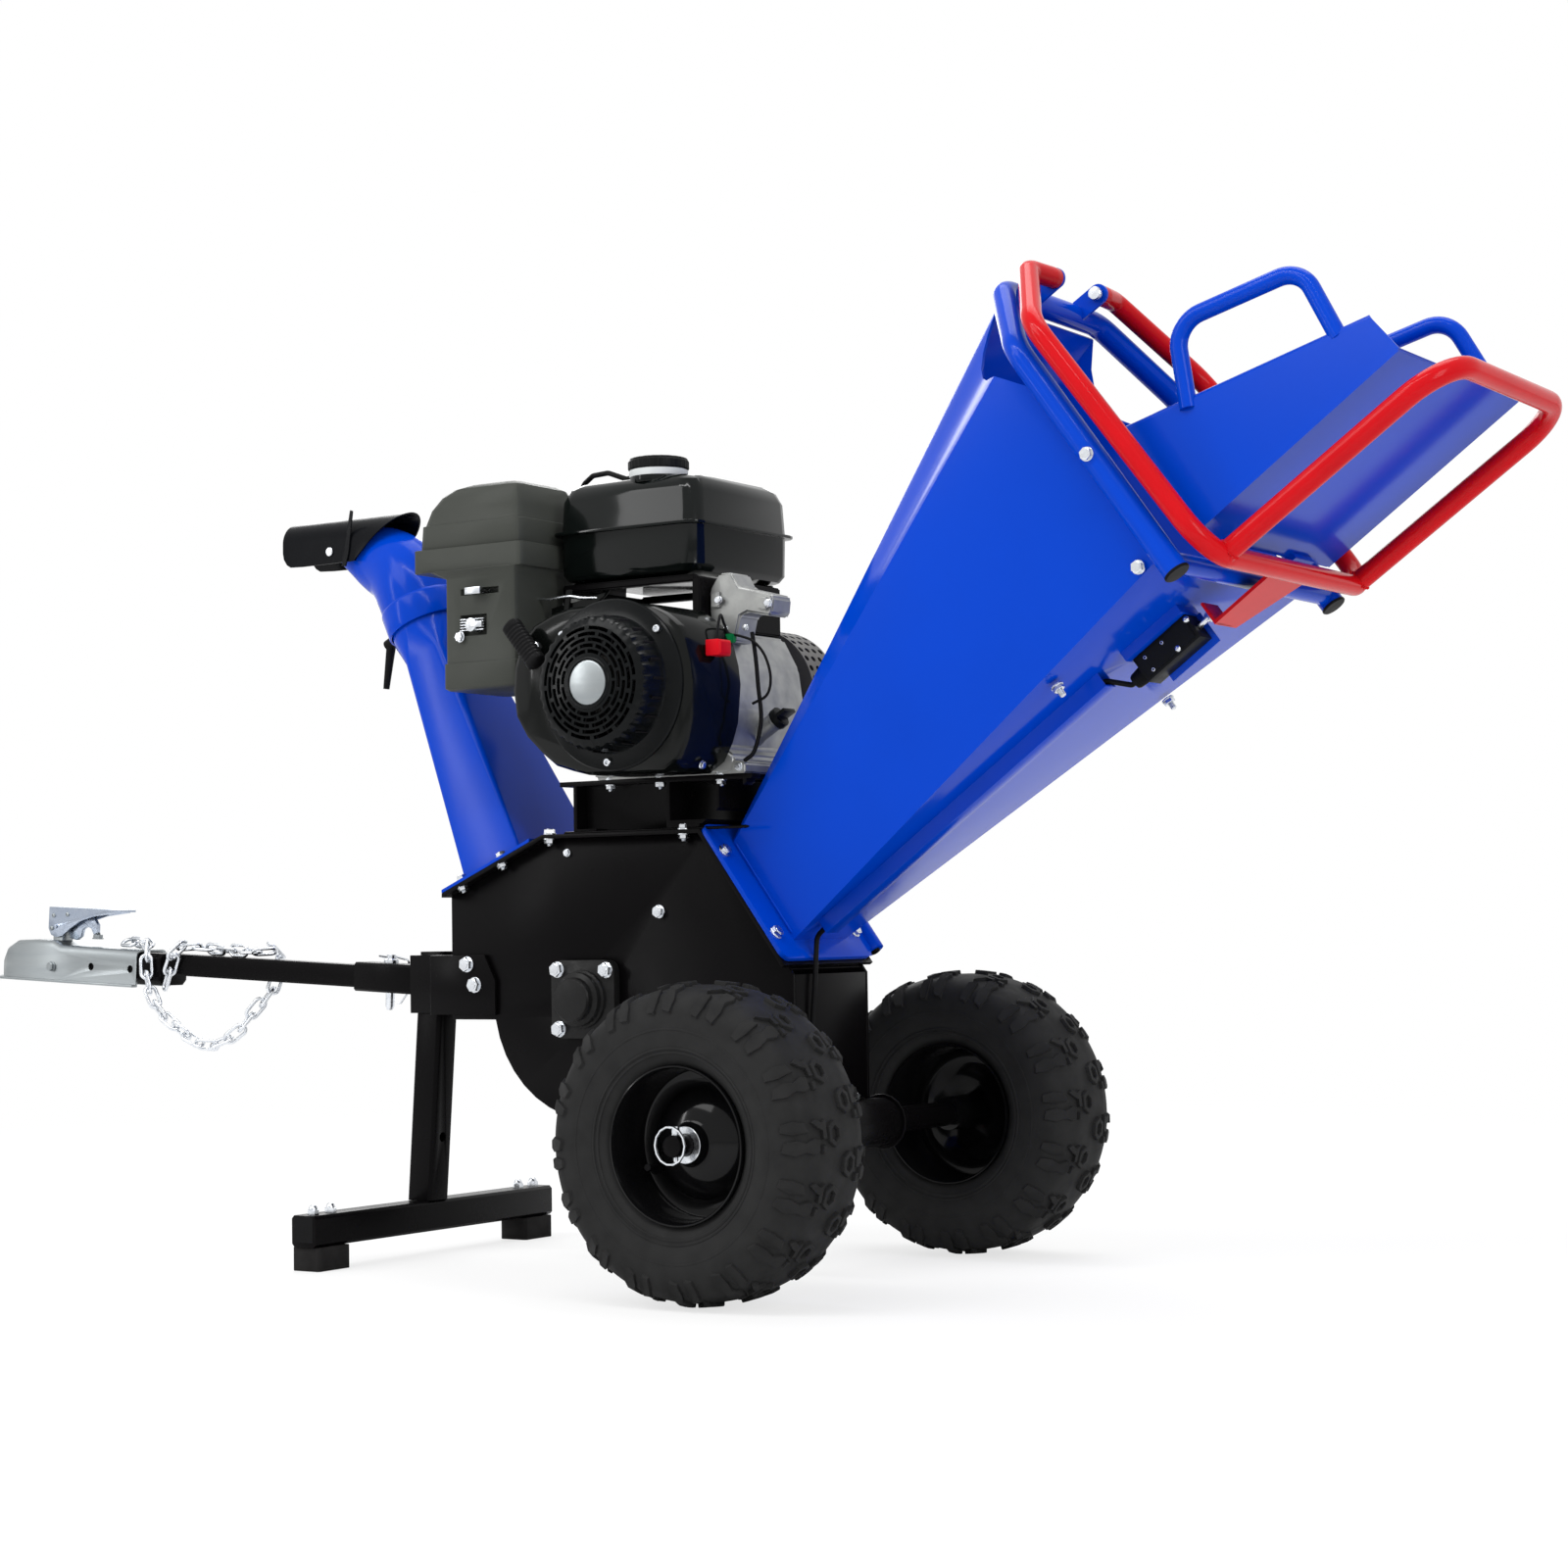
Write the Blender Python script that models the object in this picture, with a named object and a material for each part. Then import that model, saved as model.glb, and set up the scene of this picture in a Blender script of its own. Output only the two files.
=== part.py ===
"""Towed drum wood chipper: petrol engine, belt-driven knife drum, feed hopper with folding
tray and safety bar, swivelling discharge chute, two wheels and a ball coupler.
Every piece is built in the axle frame: X towards the hopper, -Y the side with the recoil
starter, Z up from the ground, origin under the middle of the axle."""
import math

import bmesh
import bpy
from mathutils import Matrix, Vector

# Driving dimensions in metres, angles in degrees
AXLE_X = 0.2995           # axle position in the part's own frame
GAP = 0.0003              # clearance between pieces that touch

WHEEL_R = 0.182           # tyre radius over the lugs
WHEEL_Y = 0.2985          # middle of each tyre
TYRE_HALF = 0.0725
LUG = 0.008
RIM_R = 0.089
RIM_HALF = 0.062
AXLE_Z = WHEEL_R
AXLE_R = 0.0155
STUB_R = 0.0125

BODY_HALF = 0.085         # outer faces of the side plates
PLATE = 0.005
INNER = BODY_HALF - PLATE - GAP
DECK_HALF = 0.1005
DECK_TOP = 0.543
REAR_X = -0.019
LEFT_X = -0.541

DRUM_X = -0.323
DRUM_Z = 0.337
DRUM_R = 0.122
KNIFE_R = 0.128
DRUM_HALF = 0.066
SHAFT_R = 0.015

CRANK_X = -0.1946
CRANK_Z = 0.7145
CRANK_R = 0.0125
PULLEY_Y = 0.132
DRUM_PULLEY_R = 0.066
CLUTCH_R = 0.046
GUARD_R = 0.090
GUARD_Y0 = 0.106
GUARD_Y1 = 0.168
RISER_TOP = 0.608
TANK_TOP = 0.983

TILT = 36.0               # hopper axis above the ground
SLOPE_A = 0.205           # outer face of the sloped body plate, along the hopper axis
FLANGE = 0.006
MOUTH_A = 0.912
TUBE_R = 0.0145
BAR_R = 0.0120
LEG_Y = 0.2115
LOOP_A = 1.2650           # end of the red bar's forward loop
LOOP_Y = 0.1800

LEFT_TILT = 23.38
LEFT_D = 0.6500           # outer face of the left slope plate, distance from the origin
CHUTE_FLANGE = 0.0042     # top of the chute flange above that face
CHUTE_TILT = 24.0
COLLAR_X = -0.6425
COLLAR_Z = 0.829
COLLAR_R = 0.056
HOOD_X = -0.787
HOOD_Z = 0.940

TOW_TILT = 3.0
PIN_X = -0.717
TOW_Z = 0.3635
TOW_HALF = 0.015
LEG_HALF = 0.020

for old in list(bpy.data.objects):
    bpy.data.objects.remove(old)

DATUM = bpy.data.objects.new("datum", None)


# Geometry helpers
def srgb(code):
    """Linear colour of an sRGB hex value."""
    parts = [int(code[i:i + 2], 16) / 255 for i in (0, 2, 4)]
    return [c / 12.92 if c <= 0.04045 else ((c + 0.055) / 1.055) ** 2.4 for c in parts]


def look(slot, code, rough, metal=0.0):
    """A plain material named after its slot."""
    mat = bpy.data.materials.new(slot)
    mat.use_nodes = True
    shader = mat.node_tree.nodes["Principled BSDF"]
    shader.inputs["Base Color"].default_value = (*srgb(code), 1)
    shader.inputs["Roughness"].default_value = rough
    shader.inputs["Metallic"].default_value = metal
    return mat


def polar(cx, cz, r, deg):
    """Point at an angle on a circle in a 2-D plane."""
    t = math.radians(deg)
    return (cx + r * math.cos(t), cz + r * math.sin(t))


def arc(cx, cz, r, start, end, n):
    """Points along an arc, both ends included."""
    return [polar(cx, cz, r, start + (end - start) * i / n) for i in range(n + 1)]


def circle2(cx, cz, r, n, start=0.0):
    """Closed circle as n points."""
    return [polar(cx, cz, r, start + 360 * i / n) for i in range(n)]


def rrect(x0, x1, y0, y1, r, n=3):
    """Rectangle with rounded corners, anticlockwise."""
    out = arc(x1 - r, y1 - r, r, 0, 90, n) + arc(x0 + r, y1 - r, r, 90, 180, n)
    return out + arc(x0 + r, y0 + r, r, 180, 270, n) + arc(x1 - r, y0 + r, r, 270, 360, n)


def at_y(points, y):
    """2-D (x, z) points put on the plane of one y."""
    return [Vector((x, y, z)) for x, z in points]


def at_z(points, z):
    """2-D (x, y) points put on a level plane."""
    return [Vector((x, y, z)) for x, y in points]


def at_x(points, x):
    """2-D (y, z) points put on the plane of one x."""
    return [Vector((x, y, z)) for y, z in points]


def skin(bm, rings, loop=False):
    """Joins rings of equal length into one closed solid; single points close to a tip."""
    made = [[bm.verts.new(p) for p in ring] for ring in rings]
    pairs = list(zip(made, made[1:]))
    if loop:
        pairs.append((made[-1], made[0]))
    for lo, hi in pairs:
        n = max(len(lo), len(hi))
        for i in range(n):
            j = (i + 1) % n
            if len(lo) == 1:
                bm.faces.new((lo[0], hi[j], hi[i]))
            elif len(hi) == 1:
                bm.faces.new((lo[i], lo[j], hi[0]))
            else:
                bm.faces.new((lo[i], lo[j], hi[j], hi[i]))
    if not loop:
        if len(made[0]) > 2:
            bm.faces.new(list(reversed(made[0])))
        if len(made[-1]) > 2:
            bm.faces.new(made[-1])
    return bm


def solid(rings, loop=False):
    """New bmesh skinned from rings."""
    return skin(bmesh.new(), rings, loop)


def box(x0, x1, y0, y1, z0, z1):
    """Plain block."""
    flat = [(x0, y0), (x1, y0), (x1, y1), (x0, y1)]
    return solid([at_z(flat, z0), at_z(flat, z1)])


def slab(outline, lo, hi, place=at_y):
    """Outline pushed from lo to hi across the plane that place gives."""
    return solid([place(outline, lo), place(outline, hi)])


def plate(outline, lo, hi, holes=(), place=at_y):
    """Flat plate with holes, filled with triangles and given its thickness."""
    bm = bmesh.new()
    edges = []
    for ring in (outline, *holes):
        verts = [bm.verts.new(p) for p in place(ring, lo)]
        edges += [bm.edges.new((v, verts[(i + 1) % len(verts)])) for i, v in enumerate(verts)]
    bmesh.ops.triangle_fill(bm, use_beauty=True, use_dissolve=False, edges=edges)
    shift = place([(0, 0)], hi)[0] - place([(0, 0)], lo)[0]
    made = bmesh.ops.extrude_face_region(bm, geom=bm.faces[:])
    moved = [g for g in made["geom"] if isinstance(g, bmesh.types.BMVert)]
    bmesh.ops.translate(bm, verts=moved, vec=shift)
    return bm


def lathe(profile, cx, cz, y_sign=1.0, n=32, start=0.0, y0=0.0, loop=False):
    """Turns (radius, y) points about an axis along Y."""
    rings = []
    for r, y in profile:
        if r < 1e-6:
            rings.append([Vector((cx, y0 + y_sign * y, cz))])
        else:
            rings.append(at_y(circle2(cx, cz, r, n, start), y0 + y_sign * y))
    return solid(rings, loop)


def rod(a, b, r, n=12, r2=None):
    """Round bar between two points."""
    a = Vector(a)
    b = Vector(b)
    w = (b - a).normalized()
    u = w.orthogonal().normalized()
    v = w.cross(u)
    rings = []
    for c, rad in ((a, r), (b, r if r2 is None else r2)):
        rings.append([c + rad * (u * math.cos(2 * math.pi * i / n) + v * math.sin(2 * math.pi * i / n))
                      for i in range(n)])
    return solid(rings)


def rounded(points, radius, steps=4, closed=False):
    """Path through 3-D corner points with each inner corner turned into an arc."""
    pts = [Vector(p) for p in points]
    n = len(pts)
    out = []
    for i, p in enumerate(pts):
        if not closed and i in (0, n - 1):
            out.append(p)
            continue
        a = (pts[i - 1] - p).normalized()
        b = (pts[(i + 1) % n] - p).normalized()
        half = a.angle(b) / 2
        r = radius[i] if isinstance(radius, (list, tuple)) else radius
        reach = r / math.tan(half)
        centre = p + (a + b).normalized() * (r / math.sin(half))
        s = p + a * reach - centre
        e = p + b * reach - centre
        turn = s.angle(e)
        for k in range(steps + 1):
            t = k / steps
            out.append(centre + (s * math.sin((1 - t) * turn) + e * math.sin(t * turn)) / math.sin(turn))
    return out


def frames(path, up, closed=False):
    """Tangent and two side directions carried along a path without twist."""
    n = len(path)
    tangents = []
    for i in range(n):
        if closed:
            d = path[(i + 1) % n] - path[i - 1]
        else:
            d = path[min(i + 1, n - 1)] - path[max(i - 1, 0)]
        tangents.append(d.normalized())
    u = (Vector(up) - tangents[0] * Vector(up).dot(tangents[0])).normalized()
    out = []
    for t in tangents:
        u = (u - t * u.dot(t)).normalized()
        out.append((t, u, t.cross(u)))
    return out


def sweep(path, section, up=(0, 0, 1), closed=False):
    """Pushes a 2-D section along a path."""
    path = [Vector(p) for p in path]
    rings = []
    for p, (_, u, v) in zip(path, frames(path, up, closed)):
        rings.append([p + u * a + v * b for a, b in section])
    return solid(rings, closed)


def tube(path, r, n=10, up=(0, 0, 1), closed=False):
    """Round bar along a path."""
    return sweep(path, circle2(0, 0, r, n), up, closed)


def shell(top, bottom, keep, wrap=False):
    """Closed sheet from two matching grids of points, with cells left out as openings."""
    bm = bmesh.new()
    rows = len(top)
    cols = len(top[0])
    a = [[bm.verts.new(p) for p in row] for row in top]
    b = [[bm.verts.new(p) for p in row] for row in bottom]
    span = cols if wrap else cols - 1

    def kept(i, j):
        if i < 0 or i >= rows - 1:
            return False
        if wrap:
            return keep(i, j % cols)
        return 0 <= j < span and keep(i, j)

    for i in range(rows - 1):
        for j in range(span):
            if not kept(i, j):
                continue
            k = (j + 1) % cols
            bm.faces.new((a[i][j], a[i + 1][j], a[i + 1][k], a[i][k]))
            bm.faces.new((b[i][j], b[i][k], b[i + 1][k], b[i + 1][j]))
            if not kept(i - 1, j):
                bm.faces.new((a[i][j], a[i][k], b[i][k], b[i][j]))
            if not kept(i + 1, j):
                bm.faces.new((a[i + 1][k], a[i + 1][j], b[i + 1][j], b[i + 1][k]))
            if not kept(i, j - 1):
                bm.faces.new((a[i + 1][j], a[i][j], b[i][j], b[i + 1][j]))
            if not kept(i, j + 1):
                bm.faces.new((a[i][k], a[i + 1][k], b[i + 1][k], b[i][k]))
    loose = [v for v in bm.verts if not v.link_faces]
    bmesh.ops.delete(bm, geom=loose, context="VERTS")
    return bm


def temp(bm):
    """Short-lived object holding a bmesh."""
    bmesh.ops.recalc_face_normals(bm, faces=bm.faces[:])
    mesh = bpy.data.meshes.new("temp")
    bm.to_mesh(mesh)
    bm.free()
    obj = bpy.data.objects.new("temp", mesh)
    bpy.context.scene.collection.objects.link(obj)
    return obj


def combine(base, tools, how="UNION"):
    """Boolean of a solid with each tool in turn."""
    for tool in tools:
        a = temp(base)
        b = temp(tool)
        mod = a.modifiers.new("cut", "BOOLEAN")
        mod.operation = how
        mod.solver = "EXACT"
        mod.object = b
        base = bmesh.new()
        base.from_object(a, bpy.context.evaluated_depsgraph_get())
        for obj in (a, b):
            mesh = obj.data
            bpy.data.objects.remove(obj)
            bpy.data.meshes.remove(mesh)
    bmesh.ops.remove_doubles(base, verts=base.verts[:], dist=1e-6)
    return base


def moved(bm, matrix):
    """The same bmesh after a transform."""
    bm.transform(matrix)
    return bm


def soften(bm, width, test, segments=1):
    """Bevels the edges that a test picks."""
    edges = [e for e in bm.edges if test(e)]
    bmesh.ops.bevel(bm, geom=edges, offset=width, segments=segments, profile=0.5,
                    affect="EDGES", clamp_overlap=True)
    return bm


def mirror_y(bm):
    """Mirror image on the other side of the machine."""
    bm.transform(Matrix.Scale(-1, 4, (0, 1, 0)))
    bmesh.ops.reverse_faces(bm, faces=bm.faces[:])
    return bm


def part(name, bm, mat, pivot=(0, 0, 0), smooth=35):
    """Named object with its origin on the pivot, hung from the datum."""
    bmesh.ops.remove_doubles(bm, verts=bm.verts[:], dist=1e-6)
    bmesh.ops.dissolve_degenerate(bm, edges=bm.edges[:], dist=1e-6)
    bmesh.ops.dissolve_limit(bm, angle_limit=math.radians(0.1), verts=bm.verts[:], edges=bm.edges[:])
    bmesh.ops.recalc_face_normals(bm, faces=bm.faces[:])
    bmesh.ops.translate(bm, verts=bm.verts[:], vec=-Vector(pivot))
    mesh = bpy.data.meshes.new(name)
    bm.to_mesh(mesh)
    bm.free()
    mesh.materials.append(mat)
    mesh.shade_smooth()
    mesh.set_sharp_from_angle(angle=math.radians(smooth))
    obj = bpy.data.objects.new(name, mesh)
    bpy.context.scene.collection.objects.link(obj)
    obj.parent = DATUM
    obj.location = pivot
    return obj


# Hopper frame: a along the hopper, v square to it and upwards
HOP = Matrix.Rotation(math.radians(-TILT), 4, "Y")


def hop(a, y, v):
    """World place of a point given in the hopper's own frame."""
    return HOP @ Vector((a, y, v))


def hop_2d(a, v):
    """Hopper frame point as (x, z)."""
    p = hop(a, 0, v)
    return (p.x, p.z)


def slope_z(dist, x):
    """Height of the sloped left plate's line at one x, by its distance from the origin."""
    return (dist + math.sin(math.radians(LEFT_TILT)) * x) / math.cos(math.radians(LEFT_TILT))


def slope_x(dist, z):
    """Inverse of slope_z."""
    return (math.cos(math.radians(LEFT_TILT)) * z - dist) / math.sin(math.radians(LEFT_TILT))


def right_z(a, x):
    """Height of a plane square to the hopper axis at one x."""
    t = math.radians(TILT)
    return (a - math.cos(t) * x) / math.sin(t)


def right_x(a, z):
    """Inverse of right_z."""
    t = math.radians(TILT)
    return (a - math.sin(t) * z) / math.cos(t)


# Materials
HOUSING_BLACK = look("housing_black", "141417", 0.35, 0.0)
SATIN_BLACK = look("frame_black", "18181B", 0.4, 0.0)
BLUE = look("feed_blue", "0A45C4", 0.28, 0.0)
CHUTE_BLUE = look("chute_blue", "0B48CC", 0.28, 0.0)
RED = look("bar_red", "C8141C", 0.28, 0.0)
ZINC = look("zinc_plate", "BFC3C7", 0.3, 1.0)
COUPLER_ZINC = look("coupler_zinc", "A9ADAF", 0.38, 1.0)
STEEL = look("tool_steel", "9A9DA1", 0.35, 1.0)
SHAFT_STEEL = look("drum_steel", "55585C", 0.5, 0.8)
CAST_BLACK = look("bearing_cast", "17171A", 0.6, 0.2)
RUBBER = look("tyre_rubber", "202022", 0.75)
PAD_RUBBER = look("pad_rubber", "1B1B1D", 0.8)
BELT_RUBBER = look("belt_rubber", "1D1D1F", 0.7)
RIM_BLACK = look("rim_black", "0E0E10", 0.2)
CAST_ALU = look("cast_aluminium", "8E9092", 0.5, 0.9)
ENGINE_BLACK = look("engine_black", "0F0F12", 0.15)
GRILLE_BLACK = look("recoil_black", "121215", 0.2)
TANK_BLACK = look("tank_black", "0C0C0F", 0.12)
FILTER_GREY = look("filter_grey", "34353A", 0.55)
CAP_GREY = look("cap_grey", "2C2D31", 0.5)
GUARD_GREY = look("guard_grey", "4A4C50", 0.4, 0.3)
MUFFLER = look("muffler_black", "26262A", 0.6, 0.3)
HOOD_BLACK = look("hood_black", "17181B", 0.35)
GRIP_BLACK = look("grip_black", "161618", 0.5)
SWITCH_RED = look("switch_red", "D0182A", 0.3)
SWITCH_BLACK = look("limit_switch_black", "1A1B1D", 0.5)
CABLE_BLACK = look("cable_black", "1B1B1D", 0.55)


# Housing
def deck_line(drop=0.0):
    """Outline of the bent top plate seen from the side, lowered by a drop square to it."""
    d = LEFT_D - drop
    a = SLOPE_A - drop
    z = DECK_TOP - drop
    return [(slope_x(d, z), z), (right_x(a, z), z)]


def side_outline():
    """Side plate: sloped shoulders, deck, rear edge, axle lobe and the round drum belly."""
    drop = PLATE + GAP
    d = LEFT_D - drop
    a = SLOPE_A - drop
    left, right = deck_line(drop)
    pts = [(LEFT_X, slope_z(d, LEFT_X)), left, right, (REAR_X, right_z(a, REAR_X))]
    pts += arc(0, AXLE_Z, 0.034, 124, -112, 12)
    pts += [(-0.03, 0.150)]
    pts += arc(DRUM_X, DRUM_Z, 0.150, 263, 190, 8)
    pts += [(LEFT_X, 0.311)]
    return pts


def side_plate():
    """Near side plate with the shaft hole and the axle hole."""
    holes = (circle2(DRUM_X, DRUM_Z, 0.021, 16), circle2(0, AXLE_Z, AXLE_R + GAP, 16))
    return plate(side_outline(), -BODY_HALF, -BODY_HALF + PLATE, holes)


part("housing_side_near", side_plate(), HOUSING_BLACK)
part("housing_side_far", mirror_y(side_plate()), HOUSING_BLACK)

SCROLL_R = 0.147
SCROLL_T = 0.004


def scroll_path(r, wall_x, floor_z, floor_v, end_a):
    """Drum casing line: wall below the chute, floor step, round belly and straight run."""
    start = 180 + math.degrees(math.asin((DRUM_Z - floor_z) / r))
    top = slope_z(LEFT_D - PLATE - GAP, wall_x)
    pts = [(wall_x, top), (wall_x, floor_z)]
    pts += arc(DRUM_X, DRUM_Z, r, start, 270 + TILT, 14)
    pts.append(hop_2d(end_a, floor_v))
    return pts


drum_v = -math.sin(math.radians(TILT)) * DRUM_X + math.cos(math.radians(TILT)) * DRUM_Z
outer = scroll_path(SCROLL_R, -0.5367, 0.3155, drum_v - SCROLL_R, 0.1985)
inner = scroll_path(SCROLL_R - SCROLL_T, -0.5367 + SCROLL_T, 0.3155 + SCROLL_T,
                    drum_v - SCROLL_R + SCROLL_T, 0.1985)
part("housing_scroll", slab(outer + inner[::-1], -INNER, INNER), HOUSING_BLACK)

CHUTE_X0 = -0.534
CHUTE_X1 = -0.441
CHUTE_Y = 0.065
THROAT_Y = 0.058
THROAT_V0 = 0.3495
THROAT_V1 = 0.4985


def deck_points(drop):
    """Stations along the bent plate: slope with the chute window, deck, infeed slope."""
    d = LEFT_D - drop
    a = SLOPE_A - drop
    left, right = deck_line(drop)
    xs = [-0.5445, CHUTE_X0 + 0.005, CHUTE_X1 - 0.005]
    pts = [(x, slope_z(d, x)) for x in xs] + [left, right]
    pts += [hop_2d(a, v) for v in (THROAT_V1 - 0.003, THROAT_V0 + 0.003, 0.3175)]
    return pts


ys = [-DECK_HALF, -0.056, 0.056, DECK_HALF]
top = [[Vector((x, y, z)) for y in ys] for x, z in deck_points(0)]
low = [[Vector((x, y, z)) for y in ys] for x, z in deck_points(PLATE)]
deck = shell(top, low, lambda i, j: not (j == 1 and i in (1, 5)))

HINGE_Y = 0.1165
HINGE_A = 0.2083
HINGE_R = 0.012
HINGE_PIN = 0.006


def knuckle(v0, v1, bore=0.0, n=16):
    """Barrel of the hopper hinge between two heights along its axis."""
    ring = [(HINGE_A + p[0], HINGE_Y + p[1]) for p in circle2(0, 0, HINGE_R, n)]
    if not bore:
        return solid([[hop(a, y, v) for a, y in ring] for v in (v0, v1)])
    hole = [(HINGE_A + p[0], HINGE_Y + p[1]) for p in circle2(0, 0, bore, n)]
    rings = [[hop(a, y, v) for a, y in ring] for v in (v0, v1)]
    rings += [[hop(a, y, v) for a, y in hole] for v in (v1, v0)]
    return solid(rings, loop=True)


def hop_box(a0, a1, y0, y1, v0, v1):
    """Block in the hopper frame."""
    return moved(box(a0, a1, y0, y1, v0, v1), HOP)


deck_leaf = hop_box(SLOPE_A - PLATE + 0.0004, SLOPE_A - 0.0006, DECK_HALF - 0.004, HINGE_Y - 0.003,
                    0.388, 0.452)
hinge_pin = rod(hop(HINGE_A, HINGE_Y, 0.330), hop(HINGE_A, HINGE_Y, 0.510), HINGE_PIN, 12)
deck = combine(deck, [deck_leaf, knuckle(0.386, 0.454), hinge_pin])
part("top_deck", deck, HOUSING_BLACK)

# Rear wall between the side plates, and the axle tube under it
rear = box(REAR_X - PLATE, REAR_X, -INNER, INNER, AXLE_Z + 0.0305, right_z(SLOPE_A - PLATE - GAP, REAR_X))
part("rear_wall", rear, HOUSING_BLACK)
axle = lathe([(0, -0.367), (STUB_R - 0.001, -0.367), (STUB_R, -0.366), (STUB_R, -0.236),
              (AXLE_R, -0.236), (AXLE_R, -INNER), (0.030, -INNER), (0.030, INNER),
              (AXLE_R, INNER), (AXLE_R, 0.236), (STUB_R, 0.236), (STUB_R, 0.366),
              (STUB_R - 0.001, 0.367), (0, 0.367)], 0, AXLE_Z, n=14)
PIN_Y = 0.3585
holes = [rod((0, s * PIN_Y, AXLE_Z - 0.02), (0, s * PIN_Y, AXLE_Z + 0.02), 0.0033, 10) for s in (-1, 1)]
part("axle_beam", combine(axle, holes, "DIFFERENCE"), SATIN_BLACK)

# Riser that carries the engine: one comb-shaped section pushed across the deck
z0 = DECK_TOP + GAP
z1 = RISER_TOP - 0.006
foot = z0 + 0.005
step = z0 + 0.0065
comb = [(-0.356, RISER_TOP), (-0.356, z1), (-0.335, z1), (-0.335, z0), (-0.300, z0), (-0.300, foot),
        (-0.330, foot), (-0.330, z1), (-0.193, z1), (-0.193, z0), (-0.1445, z0), (-0.1445, step),
        (-0.075, step), (-0.075, z1), (-0.067, z1), (-0.067, RISER_TOP)]
riser = slab(comb, -0.095, 0.095)
bays = [box(-0.188, -0.120, -0.2, 0.2, step + 0.005, z1 - 0.0003),
        box(-0.115, -0.080, -0.2, 0.2, step + 0.005, z1 - 0.0003)]
throat_room = [(-0.1095, 0.540), (-0.1095, 0.5520), (-0.0760, RISER_TOP + 0.001),
               (-0.05, RISER_TOP + 0.001), (-0.05, 0.540)]
bays.append(slab(throat_room, -0.076, 0.076))
swing_room = [hop_2d(a, v) for a, v in ((0.195, 0.5275), (0.330, 0.5275), (0.330, 0.440), (0.195, 0.440))]
bays.append(slab(swing_room, -0.2, 0.2))
web = box(-0.3315, -0.192, -0.072, -0.067, z0, z1 + 0.002)
riser = combine(combine(riser, bays, "DIFFERENCE"), [web])
part("engine_riser", riser, SATIN_BLACK)

# Knife drum: two chip pockets cut in the outline, shaft ends turned
KNIFE_ANGLES = (68, 248)
POCKET_R = 0.103


def radial(deg, r, t):
    """Point at a radius and a sideways step on the drum."""
    a = math.radians(deg)
    return (DRUM_X + r * math.cos(a) - t * math.sin(a), DRUM_Z + r * math.sin(a) + t * math.cos(a))


outline = []
for k in KNIFE_ANGLES:
    outline += [radial(k, DRUM_R, 0), radial(k, POCKET_R, 0), radial(k, POCKET_R, 0.011)]
    outline += arc(DRUM_X, DRUM_Z, DRUM_R, k + 22, k + 180, 14)[:-1]
drum = slab(outline, -DRUM_HALF, DRUM_HALF)
shaft = lathe([(0, -0.110), (SHAFT_R - 0.001, -0.110), (SHAFT_R, -0.109), (SHAFT_R, -0.0795),
               (0.019, -0.0795), (0.019, 0.0795), (SHAFT_R, 0.0795), (SHAFT_R, 0.158),
               (SHAFT_R - 0.001, 0.159), (0, 0.159)], DRUM_X, DRUM_Z, n=14)
DRUM_PIVOT = (DRUM_X, 0, DRUM_Z)
part("drum_rotor", combine(drum, [shaft]), SHAFT_STEEL, DRUM_PIVOT)
for name, k in zip(("drum_knife_a", "drum_knife_b"), KNIFE_ANGLES):
    edge = math.sqrt(KNIFE_R ** 2 - 0.0083 ** 2)
    blade = [radial(k, POCKET_R + GAP, 0.0083), radial(k, POCKET_R + GAP, GAP),
             radial(k, edge - 0.006, GAP), radial(k, edge, 0.0083)]
    part(name, slab(blade, -0.060, 0.060), STEEL, DRUM_PIVOT)

# Fixed knife under the infeed, resting on the casing floor
hub_a = math.cos(math.radians(TILT)) * DRUM_X + math.sin(math.radians(TILT)) * DRUM_Z
top_v = THROAT_V0 + 0.0015
reach = math.sqrt((KNIFE_R + 0.002) ** 2 - (drum_v - top_v) ** 2)
floor_v = drum_v - SCROLL_R + SCROLL_T + GAP
bed = [(hub_a + reach, top_v), (hub_a + reach + 0.006, top_v - 0.010), (0.100, top_v - 0.010),
       (0.120, floor_v), (0.165, floor_v), (0.1985, top_v - 0.010), (0.1985, top_v)]
part("bed_knife", slab([hop_2d(a, v) for a, v in bed], -INNER, INNER), STEEL)


# Flange bearings
def bearing(open_bore):
    """Square cast flange with a stepped round housing; the near one is capped."""
    y = BODY_HALF + GAP
    body = plate([(DRUM_X + a, DRUM_Z + b) for a, b in rrect(-0.0485, 0.0485, -0.0485, 0.0485, 0.014)],
                 -y - 0.012, -y, (circle2(DRUM_X, DRUM_Z, 0.030, 20),))
    prof = [(SHAFT_R + GAP, 0.0005), (0.0365, 0.0005), (0.0365, 0.017), (0.0335, 0.0185),
            (0.0335, 0.026), (0.030, 0.028)]
    if open_bore:
        prof += [(SHAFT_R + GAP, 0.028)]
        ring = lathe(prof, DRUM_X, DRUM_Z, -1, 20, y0=-y, loop=True)
    else:
        prof = [(0, 0.0275)] + [(SHAFT_R + GAP, 0.0275)] + prof[:-1]
        prof += [(0.0275, 0.028), (0.0275, 0.036), (0.0255, 0.0385), (0, 0.0385)]
        ring = lathe(prof, DRUM_X, DRUM_Z, -1, 20, y0=-y)
    return combine(body, [ring])


part("bearing_near", bearing(False), CAST_BLACK)
part("bearing_far", mirror_y(bearing(True)), CAST_BLACK)


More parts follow.
